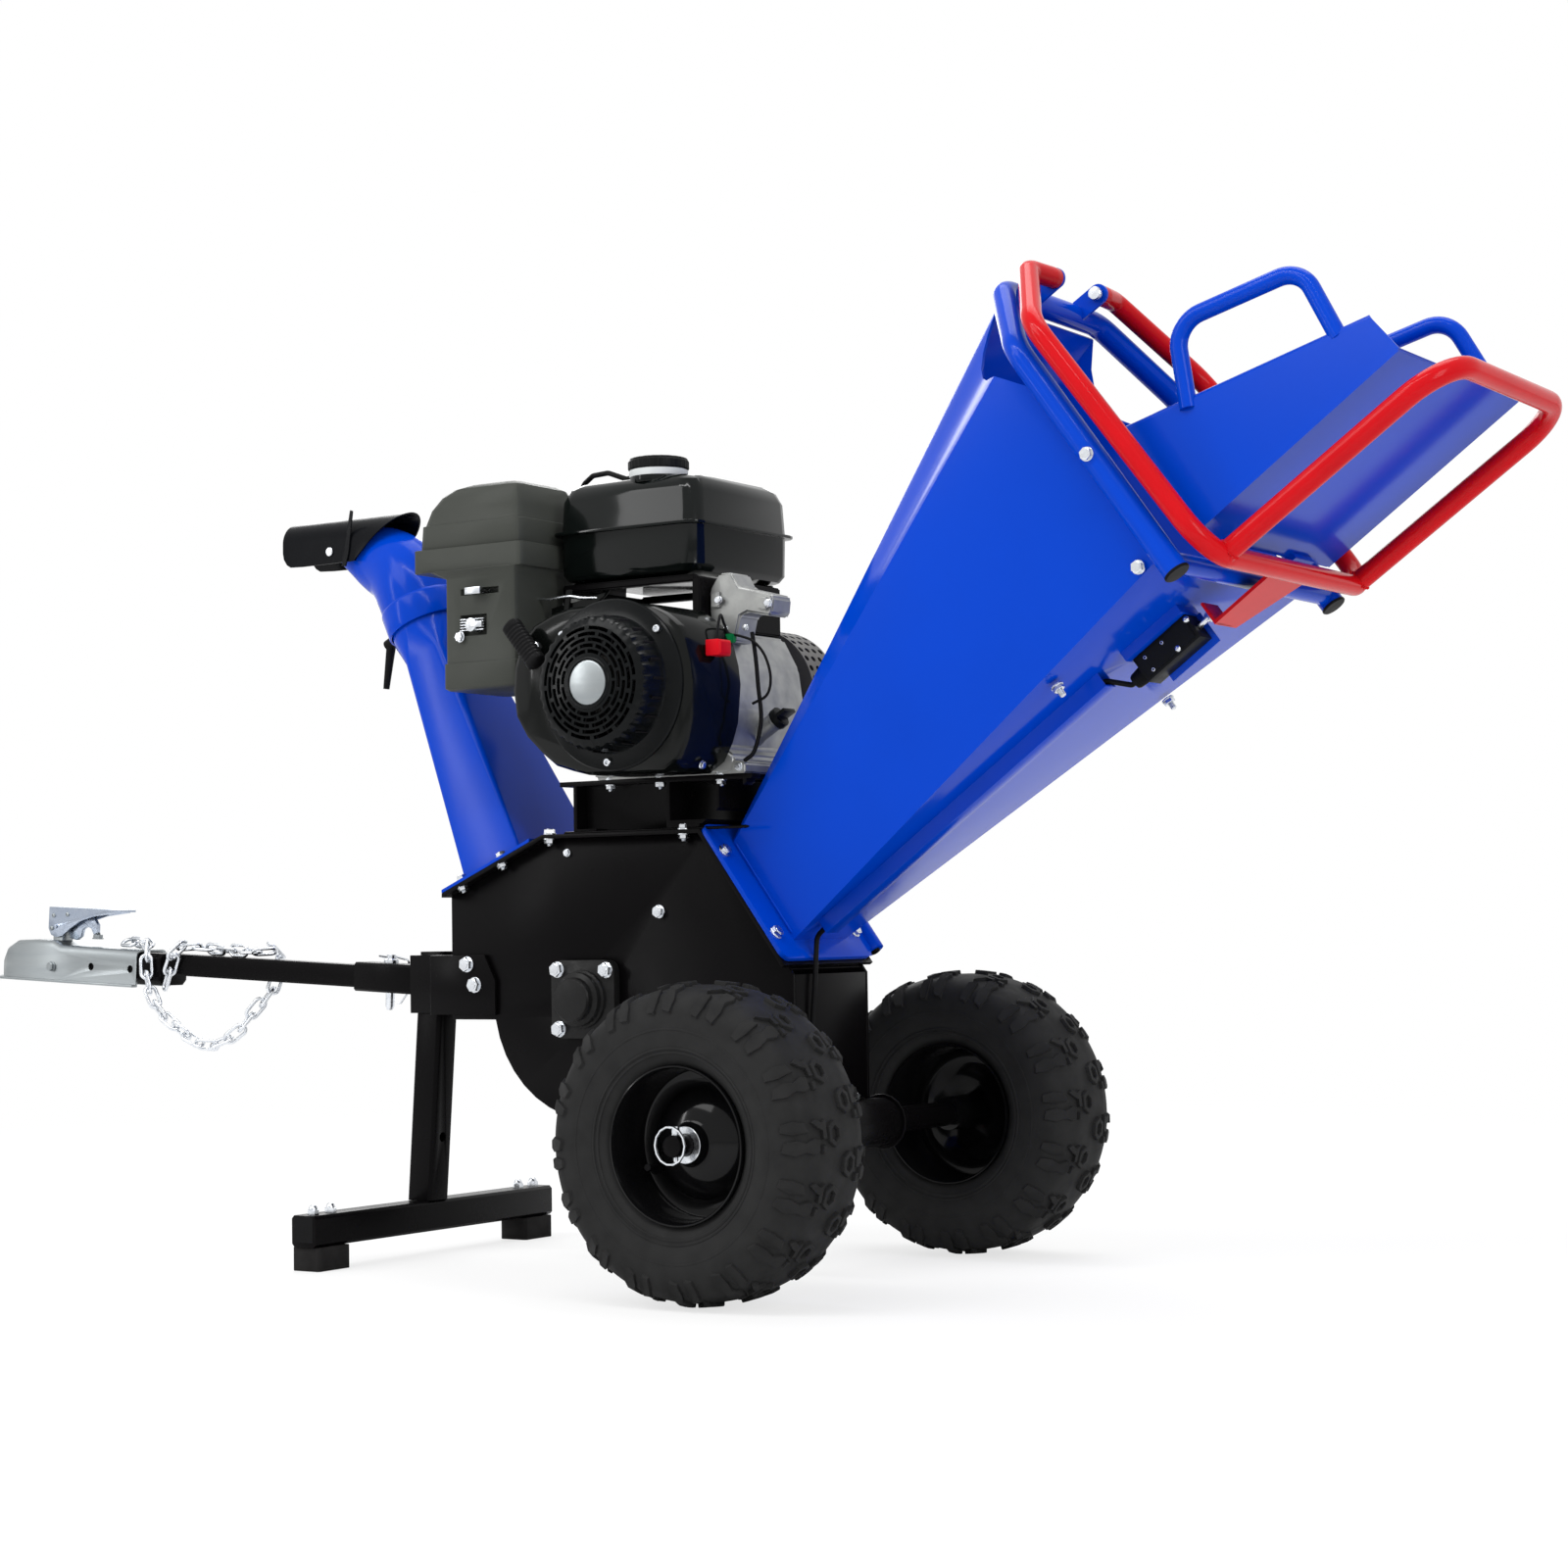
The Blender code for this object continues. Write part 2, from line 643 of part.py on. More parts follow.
# Belt drive on the far side
def pulley(cx, cz, r, bore, y0, y1, hub):
    """Two-groove pulley with a bore."""
    m = (y0 + y1) / 2
    w = 0.006
    prof = [(bore, y0 - hub), (bore + 0.010, y0 - hub), (bore + 0.010, y0), (r, y0), (r, y0 + 0.002)]
    for c in (m - w, m + w):
        prof += [(r - 0.009, c - 0.002), (r - 0.009, c + 0.002), (r, c + 0.0045)]
        if c < m:
            prof += [(r, c + 0.0075)]
    prof[-1] = (r, y1 - 0.002)
    prof += [(r, y1), (bore, y1)]
    return lathe(prof, cx, cz, 1, 18, loop=True)


part("drum_pulley", pulley(DRUM_X, DRUM_Z, DRUM_PULLEY_R, SHAFT_R + GAP, 0.120, 0.146, 0.004),
     CAST_BLACK, (DRUM_X, 0, DRUM_Z))
crank = rod((CRANK_X, 0.0975, CRANK_Z), (CRANK_X, 0.155, CRANK_Z), CRANK_R, 16)
clutch = pulley(CRANK_X, CRANK_Z, CLUTCH_R, CRANK_R - 0.002, 0.120, 0.146, 0.010)
part("clutch_pulley", combine(clutch, [crank]), CAST_BLACK, (CRANK_X, 0, CRANK_Z))

span = math.hypot(CRANK_X - DRUM_X, CRANK_Z - DRUM_Z)
along = math.degrees(math.atan2(CRANK_Z - DRUM_Z, CRANK_X - DRUM_X))


def loop_line(r_low, r_high, n=12):
    """Closed line round both pulleys with straight runs between them."""
    lean = math.degrees(math.asin((r_low - r_high) / span))
    pts = arc(CRANK_X, CRANK_Z, r_high, along - 90 + lean, along + 90 - lean, n)
    return pts + arc(DRUM_X, DRUM_Z, r_low, along + 90 - lean, along + 270 + lean, n)


BELT_IN = 0.0009
outer = loop_line(DRUM_PULLEY_R + BELT_IN + 0.004, CLUTCH_R + BELT_IN + 0.004)
inner = loop_line(DRUM_PULLEY_R + BELT_IN, CLUTCH_R + BELT_IN)
belt = solid([at_y(outer, 0.1225), at_y(outer, 0.1435), at_y(inner, 0.1435), at_y(inner, 0.1225)], True)
part("drive_belt", belt, BELT_RUBBER)

# Guard: perforated rim wall with a cover plate and a back plate
N_RIM = 16
rim_out = loop_line(GUARD_R, GUARD_R, N_RIM)
rim_in = loop_line(GUARD_R - 0.002, GUARD_R - 0.002, N_RIM)
rows = [GUARD_Y0, GUARD_Y0 + 0.014, GUARD_Y0 + 0.022, GUARD_Y0 + 0.038, GUARD_Y0 + 0.046, GUARD_Y1]
half = len(rim_out) // 2
grid_a = [at_y(rim_out, y) for y in rows]
grid_b = [at_y(rim_in, y) for y in rows]
wall = shell(grid_a, grid_b, lambda i, j: not (i in (1, 3) and j % 2 == 1 and j < half - 1), wrap=True)
inset = loop_line(GUARD_R - 0.0003, GUARD_R - 0.0003, N_RIM)
cover = slab(inset, GUARD_Y1 - 0.002, GUARD_Y1 + 0.0004)
back = plate(inset, GUARD_Y0 - 0.0004, GUARD_Y0 + 0.0016,
             (circle2(CRANK_X, CRANK_Z, 0.030, 14), circle2(DRUM_X, DRUM_Z, 0.074, 20)))
posts = []
for deg in (-40, -140):
    x, z = polar(DRUM_X, DRUM_Z, 0.082, deg)
    posts.append(rod((x, BODY_HALF + GAP, z), (x, GUARD_Y0 + 0.0007, z), 0.005, 8))
for deg in (20, 160):
    x, z = polar(CRANK_X, CRANK_Z, 0.042, deg)
    posts.append(rod((x, 0.0892 + GAP, z), (x, GUARD_Y0 + 0.0007, z), 0.005, 8))
part("belt_guard", combine(wall, [cover, combine(back, posts)]), GUARD_GREY)


# Wheels
TREAD_STEPS = 32


def tyre(side):
    """Solid balloon tyre with staggered lugs; side is -1 for the near wheel."""
    y0 = side * WHEEL_Y
    r = WHEEL_R - LUG
    half = [(0.0876, 0.0500), (0.0898, 0.0550), (0.120, 0.0712), (0.140, TYRE_HALF),
            (0.1655, 0.0605), (r - 0.002, 0.039), (r, 0.0135)]
    prof = [(q, -y) for q, y in half] + [(q, y) for q, y in half[::-1]]
    bm = lathe(prof, 0, AXLE_Z, 1, TREAD_STEPS, 360 / TREAD_STEPS / 2, y0, loop=True)
    bm.faces.ensure_lookup_table()
    step = 360 / TREAD_STEPS
    picked = []
    for f in bm.faces:
        c = f.calc_center_median()
        y = c.y - y0
        q = math.hypot(c.x, c.z - AXLE_Z)
        if q < 0.148:
            continue
        lane = min(range(4), key=lambda k: abs(abs(y) - (0, 0.026, 0.049, 0.066)[k]))
        i = round(math.degrees(math.atan2(c.z - AXLE_Z, c.x)) / step)
        stagger = (0, 1, 0, 1)[lane] + (1 if y * side > 0 and lane in (1, 2) else 0)
        if (i + stagger) % (4 if lane == 3 else 2) == 0:
            picked.append((f, lane))
    for f, lane in picked:
        made = bmesh.ops.extrude_discrete_faces(bm, faces=[f])["faces"][0]
        c = made.calc_center_median()
        away = Vector((c.x, 0, c.z - AXLE_Z)).normalized()
        lift = LUG if lane < 2 else LUG * (0.85, 0.35)[lane - 2]
        sides = Vector((0, math.copysign(0.0035, c.y - y0), 0)) if lane >= 2 else Vector((0, 0, 0))
        for v in made.verts:
            v.co = c + (v.co - c) * 0.8
            out = Vector((v.co.x, 0, v.co.z - AXLE_Z))
            v.co += out.normalized() * lift + sides
            q = math.hypot(v.co.x, v.co.z - AXLE_Z)
            if q > WHEEL_R:
                v.co.x *= WHEEL_R / q
                v.co.z = AXLE_Z + (v.co.z - AXLE_Z) * WHEEL_R / q
    return bm


def rim(side):
    """Dished rim turned as one ring, hub bored for the axle."""
    bore = STUB_R + GAP
    prof = [(bore, 0.040), (0.021, 0.040), (0.022, 0.018), (0.030, 0.010), (0.048, 0.008),
            (0.052, 0.014), (0.064, 0.014), (0.067, 0.006), (0.0825, 0.004), (0.0860, RIM_HALF),
            (RIM_R, RIM_HALF), (RIM_R, 0.056), (0.0868, 0.051), (0.0868, -0.051), (RIM_R, -0.056),
            (RIM_R, -RIM_HALF), (0.0860, -RIM_HALF), (0.0810, 0.0005), (0.069, 0.0025), (0.0655, 0.010),
            (0.0535, 0.010), (0.050, 0.004), (0.033, 0.006), (0.022, 0.002), (0.021, -0.055),
            (bore, -0.055)]
    return lathe(prof, 0, AXLE_Z, side, 20, 0, side * WHEEL_Y, loop=True)


def lynch_pin(side):
    """Pin through the axle end with its spring ring."""
    y = side * PIN_Y
    pin = rod((0, y, AXLE_Z - 0.019), (0, y, AXLE_Z + 0.017), 0.003, 10)
    head = rod((0, y, AXLE_Z + 0.0135), (0, y, AXLE_Z + 0.022), 0.0048, 12)
    ring = [Vector((0.020 * math.cos(t), y + side * 0.011, AXLE_Z + 0.001 + 0.021 * math.sin(t)))
            for t in [2 * math.pi * k / 14 for k in range(14)]]
    link = rod((0, y, AXLE_Z + 0.0205), (0, y + side * 0.0115, AXLE_Z + 0.0215), 0.0016, 6)
    return combine(pin, [head, tube(ring, 0.0016, 5, (0, 1, 0), True), link])


for side, word in ((-1, "near"), (1, "far")):
    pivot = (0, side * WHEEL_Y, AXLE_Z)
    part("tyre_" + word, tyre(side), RUBBER, pivot, 30)
    part("rim_" + word, rim(side), RIM_BLACK, pivot)
    part("lynch_pin_" + word, lynch_pin(side), ZINC)

# Stand and bracket
LEG_TOP_X = -0.636
LEG_TOP_Z = 0.335
LEG_LOW_X = -0.656
LEG_LOW_Z = 0.077
lean = (LEG_TOP_X - LEG_LOW_X) / (LEG_TOP_Z - LEG_LOW_Z)


def leg_x(z):
    """Middle of the support leg at a height."""
    return LEG_LOW_X + lean * (z - LEG_LOW_Z)


FOOT_TOP = 0.070
FOOT_X = -0.656
sections = []
for half in (LEG_HALF, LEG_HALF - 0.003):
    for z in (FOOT_TOP + GAP, 0.398):
        c = leg_x(z)
        flat = rrect(c - half, c + half, -half, half, 0.004, 1)
        sections.append(at_z(flat, z if half == LEG_HALF else min(z, 0.394)))
leg = solid([sections[0], sections[1]])
leg = combine(leg, [solid([[p - Vector((0, 0, 0.01)) for p in sections[2]], sections[3]])], "DIFFERENCE")
hole = rod((leg_x(0.153), 0, 0.153), (leg_x(0.153) + 0.05, 0, 0.153), 0.0065, 12)
part("support_leg", combine(leg, [hole], "DIFFERENCE"), SATIN_BLACK)
bar = [(FOOT_X + a, 0.050 + b) for a, b in rrect(-0.020, 0.020, -0.020, 0.020, 0.004, 1)]
part("foot_bar", slab(bar, -0.2425, 0.2425), SATIN_BLACK)
for side, word in ((-1, "near"), (1, "far")):
    pad = box(FOOT_X - 0.0225, FOOT_X + 0.0225, -0.030, 0.030, 0, 0.030 - GAP)
    soften(pad, 0.003, lambda e: abs(e.verts[0].co.z - e.verts[1].co.z) > 0.01)
    part("foot_pad_" + word, moved(pad, Matrix.Translation((0, side * 0.2095, 0))), PAD_RUBBER)

b0 = BODY_HALF + GAP
b1 = b0 + 0.005
k0 = LEG_HALF + GAP
k1 = k0 + 0.005
link = leg_x(0.3934) + LEG_HALF + GAP
side_path = [(-0.467, b1), (-0.573, b1), (-0.612, k1), (-0.662, k1), (-0.662, k0), (link, k0)]
back_path = [(link + 0.005, k0), (-0.5705, b0), (-0.467, b0)]
near = [(x, -y) for x, y in side_path]
far = [(x, y) for x, y in side_path]
outline = near + far[::-1] + [(x, y) for x, y in back_path[::-1]] + [(x, -y) for x, y in back_path]
bracket = slab(outline, 0.317, 0.3934, at_z)
corner = slab([(-0.484, 0.400), (-0.484, 0.3934), (-0.4505, 0.3284), (-0.440, 0.3284), (-0.440, 0.400)],
              -0.12, 0.12)
bracket = combine(bracket, [corner], "DIFFERENCE")
part("tongue_bracket", bracket, SATIN_BLACK)

# Tow tube, receiver, pin and coupler in the tongue's tilted frame
TOW = Matrix.Translation((PIN_X, 0, TOW_Z)) @ Matrix.Rotation(math.radians(TOW_TILT), 4, "Y")


def square(half, r=0.003, n=1):
    """Square section with eased corners."""
    return rrect(-half, half, -half, half, r, n)


def square_tube(x0, x1, half, wall):
    """Open square tube along x."""
    out = square(half)
    inn = square(half - wall, 0.0015)
    return solid([at_x(out, x0), at_x(out, x1), at_x(inn, x1), at_x(inn, x0)], loop=True)


def tow_hole(r):
    """Upright cutter for the hitch pin."""
    return rod((0, 0, -0.05), (0, 0, 0.05), r, 12)


recv_end = (leg_x(TOW_Z) - LEG_HALF - 0.0035) - PIN_X
receiver = combine(square_tube(-0.048, recv_end, 0.0195, 0.0037), [tow_hole(0.0066)], "DIFFERENCE")
part("receiver_tube", moved(receiver, TOW), SATIN_BLACK)
bar = combine(square_tube(-0.410, recv_end - 0.004, TOW_HALF, 0.003), [tow_hole(0.0066)], "DIFFERENCE")
adaptor = slab(rrect(-0.0262, 0.0262, -0.0300, 0.0149, 0.007, 1), -0.560, -0.402, at_x)
bar = combine(bar, [adaptor])
part("tow_tube", moved(bar, TOW), SATIN_BLACK)
pin = lathe([(0, -0.043), (0.004, -0.043), (0.006, -0.038), (0.006, 0.0200), (0.010, 0.0200),
             (0.010, 0.0240), (0.006, 0.026), (0.006, 0.031), (0, 0.031)], 0, 0, n=12)
pin.transform(Matrix.Rotation(math.radians(90), 4, "X"))
bail = rounded([(-0.006, 0, 0.0275), (-0.024, 0.002, 0.0285), (-0.030, 0.0245, 0.0235),
                (-0.028, 0.0245, -0.020), (-0.004, 0.0245, -0.037), (0.010, 0.0245, -0.020),
                (0.010, 0.0245, 0.0235), (0.004, 0.003, 0.0285)], 0.003, 1)
part("hitch_pin", moved(combine(pin, [tube(bail, 0.0015, 5)]), TOW), ZINC)


def coupler_body():
    """Stamped ball coupler: inverted channel, closed nose, flange round its lower edge."""
    base = -0.034
    wall = 0.003
    stations = [(-0.7290, 0.0140, 0.020), (-0.7240, 0.0210, 0.034), (-0.7120, 0.0265, 0.047),
                (-0.6900, 0.0300, 0.057), (-0.6500, 0.0310, 0.0595), (-0.6150, 0.0305, 0.0590),
                (-0.6000, 0.0300, 0.0525), (-0.4450, 0.0300, 0.0525)]
    rings = []
    for x, w, h in stations:
        r = min(0.009, w * 0.5)
        top = base + h
        q = r - 0.002
        ring = [(w, base)] + arc(w - r, top - r, r, 0, 90, 3) + arc(-w + r, top - r, r, 90, 180, 3)
        ring += [(-w, base), (wall - w, base)]
        ring += arc(wall - w + q, top - wall - q, q, 180, 90, 3)
        ring += arc(w - wall - q, top - wall - q, q, 90, 0, 3) + [(w - wall, base)]
        rings.append(at_x(ring, x))
    bm = solid(rings)
    nose = [(-0.445, -0.038), (-0.700, -0.038)]
    nose += [(-0.704 + 0.041 * math.cos(t), 0.038 * math.sin(t))
             for t in [math.radians(a) for a in range(255, 104, -15)]]
    nose += [(-0.700, 0.038), (-0.445, 0.038), (-0.445, 0.0285), (-0.690, 0.0285)]
    nose += [(-0.702 + 0.0255 * math.cos(t), 0.0265 * math.sin(t))
             for t in [math.radians(a) for a in range(105, 256, 30)]]
    nose += [(-0.690, -0.0285), (-0.445, -0.0285)]
    flange = slab(nose, base - 0.0004, base + wall, at_z)
    front = box(-0.7305, -0.7268, -0.0132, 0.0132, base + 0.0005, base + 0.0195)
    ear = box(-0.634, -0.616, -0.0105, 0.0105, 0.0225, 0.0510)
    ear = combine(ear, [rod((-0.625, -0.02, 0.045), (-0.625, 0.02, 0.045), 0.0034, 12)], "DIFFERENCE")
    bm = combine(bm, [flange, front, ear])
    bores = [rod((x, -0.05, -0.009), (x, 0.05, -0.009), 0.0055, 12) for x in (-0.535, -0.457)]
    return combine(bm, bores, "DIFFERENCE")


def coupler_latch():
    """Folded latch lever: two cheeks, a top plate and the hooked trigger between them."""
    cheek = [(-0.6400, 0.0720), (-0.6405, 0.0420), (-0.6350, 0.0325), (-0.6250, 0.0295), (-0.6120, 0.0320),
             (-0.5980, 0.0420), (-0.5780, 0.0540), (-0.5500, 0.0620), (-0.5050, 0.0685), (-0.5050, 0.0720)]
    bm = slab(cheek, -0.0145, -0.0115)
    top = [(-0.6400, -0.0142), (-0.5300, -0.0142), (-0.5020, -0.0200), (-0.4950, -0.0150), (-0.4950, 0.0150),
           (-0.5020, 0.0200), (-0.5300, 0.0142), (-0.6400, 0.0142)]
    hook = [(-0.6080, 0.0700), (-0.6080, 0.0290), (-0.5950, 0.0262), (-0.5860, 0.0320), (-0.5830, 0.0420),
            (-0.5740, 0.0470), (-0.5650, 0.0440), (-0.5600, 0.0360), (-0.5530, 0.0380), (-0.5530, 0.0500),
            (-0.5620, 0.0600), (-0.5750, 0.0700)]
    pivot = rod((-0.625, -0.0165, 0.045), (-0.625, 0.0165, 0.045), 0.0031, 12)
    return combine(bm, [slab(cheek, 0.0115, 0.0145), slab(top, 0.0700, 0.0730, at_z),
                        slab(hook, -0.0030, 0.0030), pivot])


part("coupler_body", moved(coupler_body(), TOW), COUPLER_ZINC)
LATCH = TOW @ Vector((-0.625, 0, 0.045))
part("coupler_latch", moved(coupler_latch(), TOW), ZINC, LATCH)

# Safety chain: fused links along its run over, under and along the tow tube
LINK_L = 0.031
LINK_W = 0.019
WIRE = 0.0044
PITCH = LINK_L - 2 * WIRE - 0.0002


def chain_link(centre, along_dir, side_dir):
    """One oval link."""
    half = LINK_L / 2 - WIRE / 2
    r = LINK_W / 2 - WIRE / 2
    pts = []
    for cx, first in ((half - r, -90), (r - half, 90)):
        for k in range(3):
            t = math.radians(first + 90 * k)
            pts.append(centre + along_dir * (cx + r * math.cos(t)) + side_dir * (r * math.sin(t)))
    return tube(pts, WIRE / 2 * 1.1, 3, along_dir.cross(side_dir), True)


def chain(points, radius):
    """Links at even steps along a rounded path, each turned a quarter from the last."""
    path = rounded(points, radius, 5)
    fr = frames(path, (0, 0.3, 1))
    steps = [(b - a).length for a, b in zip(path, path[1:])]
    total = sum(steps)
    count = int(total / PITCH)
    links = []
    for k in range(count + 1):
        want = k * PITCH
        i = 0
        while i < len(steps) - 1 and want > steps[i]:
            want -= steps[i]
            i += 1
        a = path[i]
        b = path[i + 1]
        centre = a + (b - a) * min(1, want / steps[i])
        links.append(centre)
    out = None
    for k, c in enumerate(links):
        t = (links[min(k + 1, count)] - links[max(k - 1, 0)]).normalized()
        near = min(range(len(path)), key=lambda n: (path[n] - c).length)
        u = fr[near][1]
        u = (u - t * u.dot(t)).normalized()
        v = t.cross(u)
        turn = math.radians(45 if k % 2 else -45)
        one = chain_link(c, t, u * math.cos(turn) + v * math.sin(turn))
        out = one if out is None else combine(out, [one])
    return out


run = [(-0.478, -0.010, 0.0278), (-0.436, -0.020, 0.0276), (-0.418, -0.036, 0.016), (-0.416, -0.0368, -0.020),
       (-0.392, -0.036, -0.062), (-0.352, -0.030, -0.090), (-0.316, -0.020, -0.108), (-0.276, -0.005, -0.092),
       (-0.250, 0.012, -0.052), (-0.233, 0.0253, -0.024), (-0.230, 0.0253, 0.0245), (-0.240, 0.0, 0.0245),
       (-0.352, 0.0, 0.0245), (-0.368, -0.0253, 0.0245), (-0.388, -0.0253, -0.020)]
part("safety_chain", moved(chain(run, 0.010), TOW), ZINC)

# Discharge chute: flanged duct on the left slope, blending from a rectangle to a round neck
CHUTE_DIR = Vector((-math.sin(math.radians(CHUTE_TILT)), 0, math.cos(math.radians(CHUTE_TILT))))
CHUTE_SIDE = Vector((math.cos(math.radians(CHUTE_TILT)), 0, math.sin(math.radians(CHUTE_TILT))))
COLLAR = Vector((COLLAR_X, 0, COLLAR_Z))
NECK_R = 0.0520


def duct_ring(centre, side, half_x, half_y, round_r, n=4):
    """Rounded rectangle square to a side direction, given as 3-D points."""
    return [centre + side * a + Vector((0, 1, 0)) * b
            for a, b in rrect(-half_x, half_x, -half_y, half_y, round_r, n)]


def duct_rings(wall):
    """Stations of the chute duct for one wall offset."""
    slope = Vector((math.cos(math.radians(LEFT_TILT)), 0, math.sin(math.radians(LEFT_TILT))))
    x = (CHUTE_X0 + CHUTE_X1) / 2
    d = LEFT_D + GAP
    base = Vector((x, 0, slope_z(d, x) + 0.0005))
    half = (CHUTE_X1 - CHUTE_X0) / 2 / math.cos(math.radians(LEFT_TILT))
    rings = [duct_ring(base, slope, half - wall, CHUTE_Y - wall, 0.004 - wall / 2)]
    top = Vector((-0.6165, 0, 0.790))
    rings.append(duct_ring(top, CHUTE_SIDE, 0.0345 - wall, 0.0500 - wall, 0.012))
    for step in (-0.010, 0.030):
        c = COLLAR + CHUTE_DIR * step
        rings.append(duct_ring(c, CHUTE_SIDE, NECK_R - wall, NECK_R - wall, NECK_R - wall - 0.0001))
    return rings


duct = solid(duct_rings(0) + duct_rings(0.003)[::-1], loop=True)
x0 = -0.5445
x1 = -0.402
flange_rings = []
for d in (LEFT_D + GAP, LEFT_D + CHUTE_FLANGE):
    flange_rings.append([(x, slope_z(d, x)) for x in (x0, CHUTE_X0 + 0.0015, CHUTE_X1 - 0.0015, x1)])
ys = [-DECK_HALF, -CHUTE_Y + 0.0015, CHUTE_Y - 0.0015, DECK_HALF]
grid = [[[Vector((x, y, z)) for y in ys] for x, z in ring] for ring in flange_rings]
flange = shell(grid[1], grid[0], lambda i, j: not (i == 1 and j == 1))
part("chute_duct", combine(flange, [duct]), CHUTE_BLUE)

# Swivel elbow over the neck
ELBOW_WALL = 0.003
ELBOW_END = Vector((-0.778, 0, 0.9445))


def elbow_rings(wall):
    """Collar and bend, narrowing towards the outlet."""
    rings = []
    start = COLLAR + CHUTE_DIR * 0.047
    p = [start, start + CHUTE_DIR * 0.048, ELBOW_END + Vector((0.066, 0, 0.003)), ELBOW_END]
    profile = [(COLLAR, COLLAR_R), (COLLAR + CHUTE_DIR * 0.034, COLLAR_R),
               (COLLAR + CHUTE_DIR * 0.036, 0.0545)]
    for c, r in profile:
        rings.append([c + CHUTE_SIDE * (r - wall) * math.cos(t) + Vector((0, 1, 0)) * (r - wall) * math.sin(t)
                      for t in [2 * math.pi * k / 20 for k in range(20)]])
    for k in range(7):
        t = k / 6
        c = (p[0] * (1 - t) ** 3 + p[1] * 3 * t * (1 - t) ** 2 + p[2] * 3 * t * t * (1 - t) + p[3] * t ** 3)
        d = (p[1] - p[0]) * (1 - t) ** 2 + (p[2] - p[1]) * 2 * t * (1 - t) + (p[3] - p[2]) * t * t
        d.normalize()
        side = Vector((d.z, 0, -d.x))
        r = 0.0545 + (0.0300 - 0.0545) * (t * t * (3 - 2 * t)) ** 0.9
        rings.append([c + side * (r - wall) * math.cos(a) + Vector((0, 1, 0)) * (r - wall) * math.sin(a)
                      for a in [2 * math.pi * m / 20 for m in range(20)]])
    return rings


elbow = solid(elbow_rings(0) + elbow_rings(ELBOW_WALL)[::-1], loop=True)
ears = []
for side in (-1, 1):
    y0, y1 = sorted((side * 0.0272, side * 0.0302))
    ears.append(box(HOOD_X - 0.007, -0.762, y0, y1, HOOD_Z - 0.004, HOOD_Z + 0.005))
    ears.append(rod((HOOD_X, side * 0.0285, HOOD_Z), (HOOD_X, side * 0.0362, HOOD_Z), 0.003, 8))
    ears.append(rod((HOOD_X, side * 0.0356, HOOD_Z), (HOOD_X, side * 0.0385, HOOD_Z), 0.006, 6))
part("chute_elbow", combine(elbow, ears), CHUTE_BLUE, COLLAR)


def hood_rings(wall):
    """Inverted trough over the outlet, wider and cut on a slant at the rear."""
    rings = []
    for x, cz, r, slant in ((-0.908, 0.9485, 0.0290, 0.0), (-0.850, 0.9475, 0.0318, 0.0),
                            (HOOD_X, 0.9465, 0.0350, 0.0), (-0.735, 0.9460, 0.0378, 0.35),
                            (-0.693, 0.9455, 0.0405, 0.95)):
        q = r - wall
        ring = []
        for y, z in arc(0, cz, q, -24, 204, 14):
            ring.append(Vector((x - slant * (cz + r - z), y, z)))
        rings.append(ring)
    return rings


a = hood_rings(0)
b = hood_rings(0.0022)
hood = shell(a, b, lambda i, j: True)
hood = combine(hood, [rod((HOOD_X, -0.05, HOOD_Z), (HOOD_X, 0.05, HOOD_Z), 0.0034, 8)], "DIFFERENCE")
part("deflector_hood", hood, HOOD_BLACK, (HOOD_X, 0, HOOD_Z))

left = -CHUTE_SIDE
seat = COLLAR + CHUTE_DIR * 0.013 + left * (COLLAR_R + GAP)
head = seat + left * 0.012
screw = rod(seat, head + left * 0.006, 0.0045, 12)
boss = rod(seat + left * 0.004, head + left * 0.008, 0.0085, 14, 0.0075)
hang = Vector((-0.16, 0, -0.99)).normalized()
arm = rod(head + hang * 0.003, head + hang * 0.062, 0.0065, 10, 0.0042)
part("chute_clamp_lever", combine(boss, [screw, arm]), GRIP_BLACK, head)


# Engine
ENGINE_Z = RISER_TOP + GAP
case = [(-0.300, ENGINE_Z), (-0.090, ENGINE_Z), (-0.090, 0.630), (-0.105, 0.640), (-0.100, 0.690),
        (-0.108, 0.745), (-0.130, 0.785), (-0.222, 0.806), (-0.262, 0.796), (-0.300, 0.760)]
crankcase = slab(case, -0.0995, 0.080)
tank_foot = slab([(-0.135, 0.770), (-0.135, 0.812), (-0.098, 0.826), (-0.098, 0.8555), (-0.205, 0.8555),
                  (-0.205, 0.826), (-0.200, 0.770)], -0.0990, -0.020)
NECK_DIR = Vector((0.86, 0, 0.51)).normalized()
neck_at = Vector((-0.116, -0.020, 0.654))
neck_end = neck_at + NECK_DIR * 0.042
boss = lathe([(0, 0.070), (0.052, 0.070), (0.052, 0.088), (0.024, 0.090), (0.024, 0.097), (0, 0.097)],
             CRANK_X, CRANK_Z, n=24)
crankcase = combine(crankcase, [tank_foot, boss, rod(neck_at, neck_end, 0.0115, 14)])
CYL_TILT = 12.0
cyl = Matrix.Translation((CRANK_X, 0, CRANK_Z)) @ Matrix.Rotation(math.radians(180 + CYL_TILT), 4, "Y")
seat = moved(box(0.088, 0.122 - GAP, -0.0365, 0.060, -0.041, 0.041), cyl)
crankcase = combine(crankcase, [seat])
part("crankcase", crankcase, CAST_ALU)
cap = rod(neck_end + NECK_DIR * GAP, neck_end + NECK_DIR * 0.009, 0.0135, 12)
grip = box(0, 0.016, -0.0125, 0.0125, -0.0025, 0.0025)
grip.transform(Matrix.Translation(neck_end + NECK_DIR * 0.007)
               @ Matrix.Rotation(-math.atan2(0.51, 0.86), 4, "Y"))
part("oil_filler_cap", combine(cap, [grip]), CAP_GREY, neck_end)

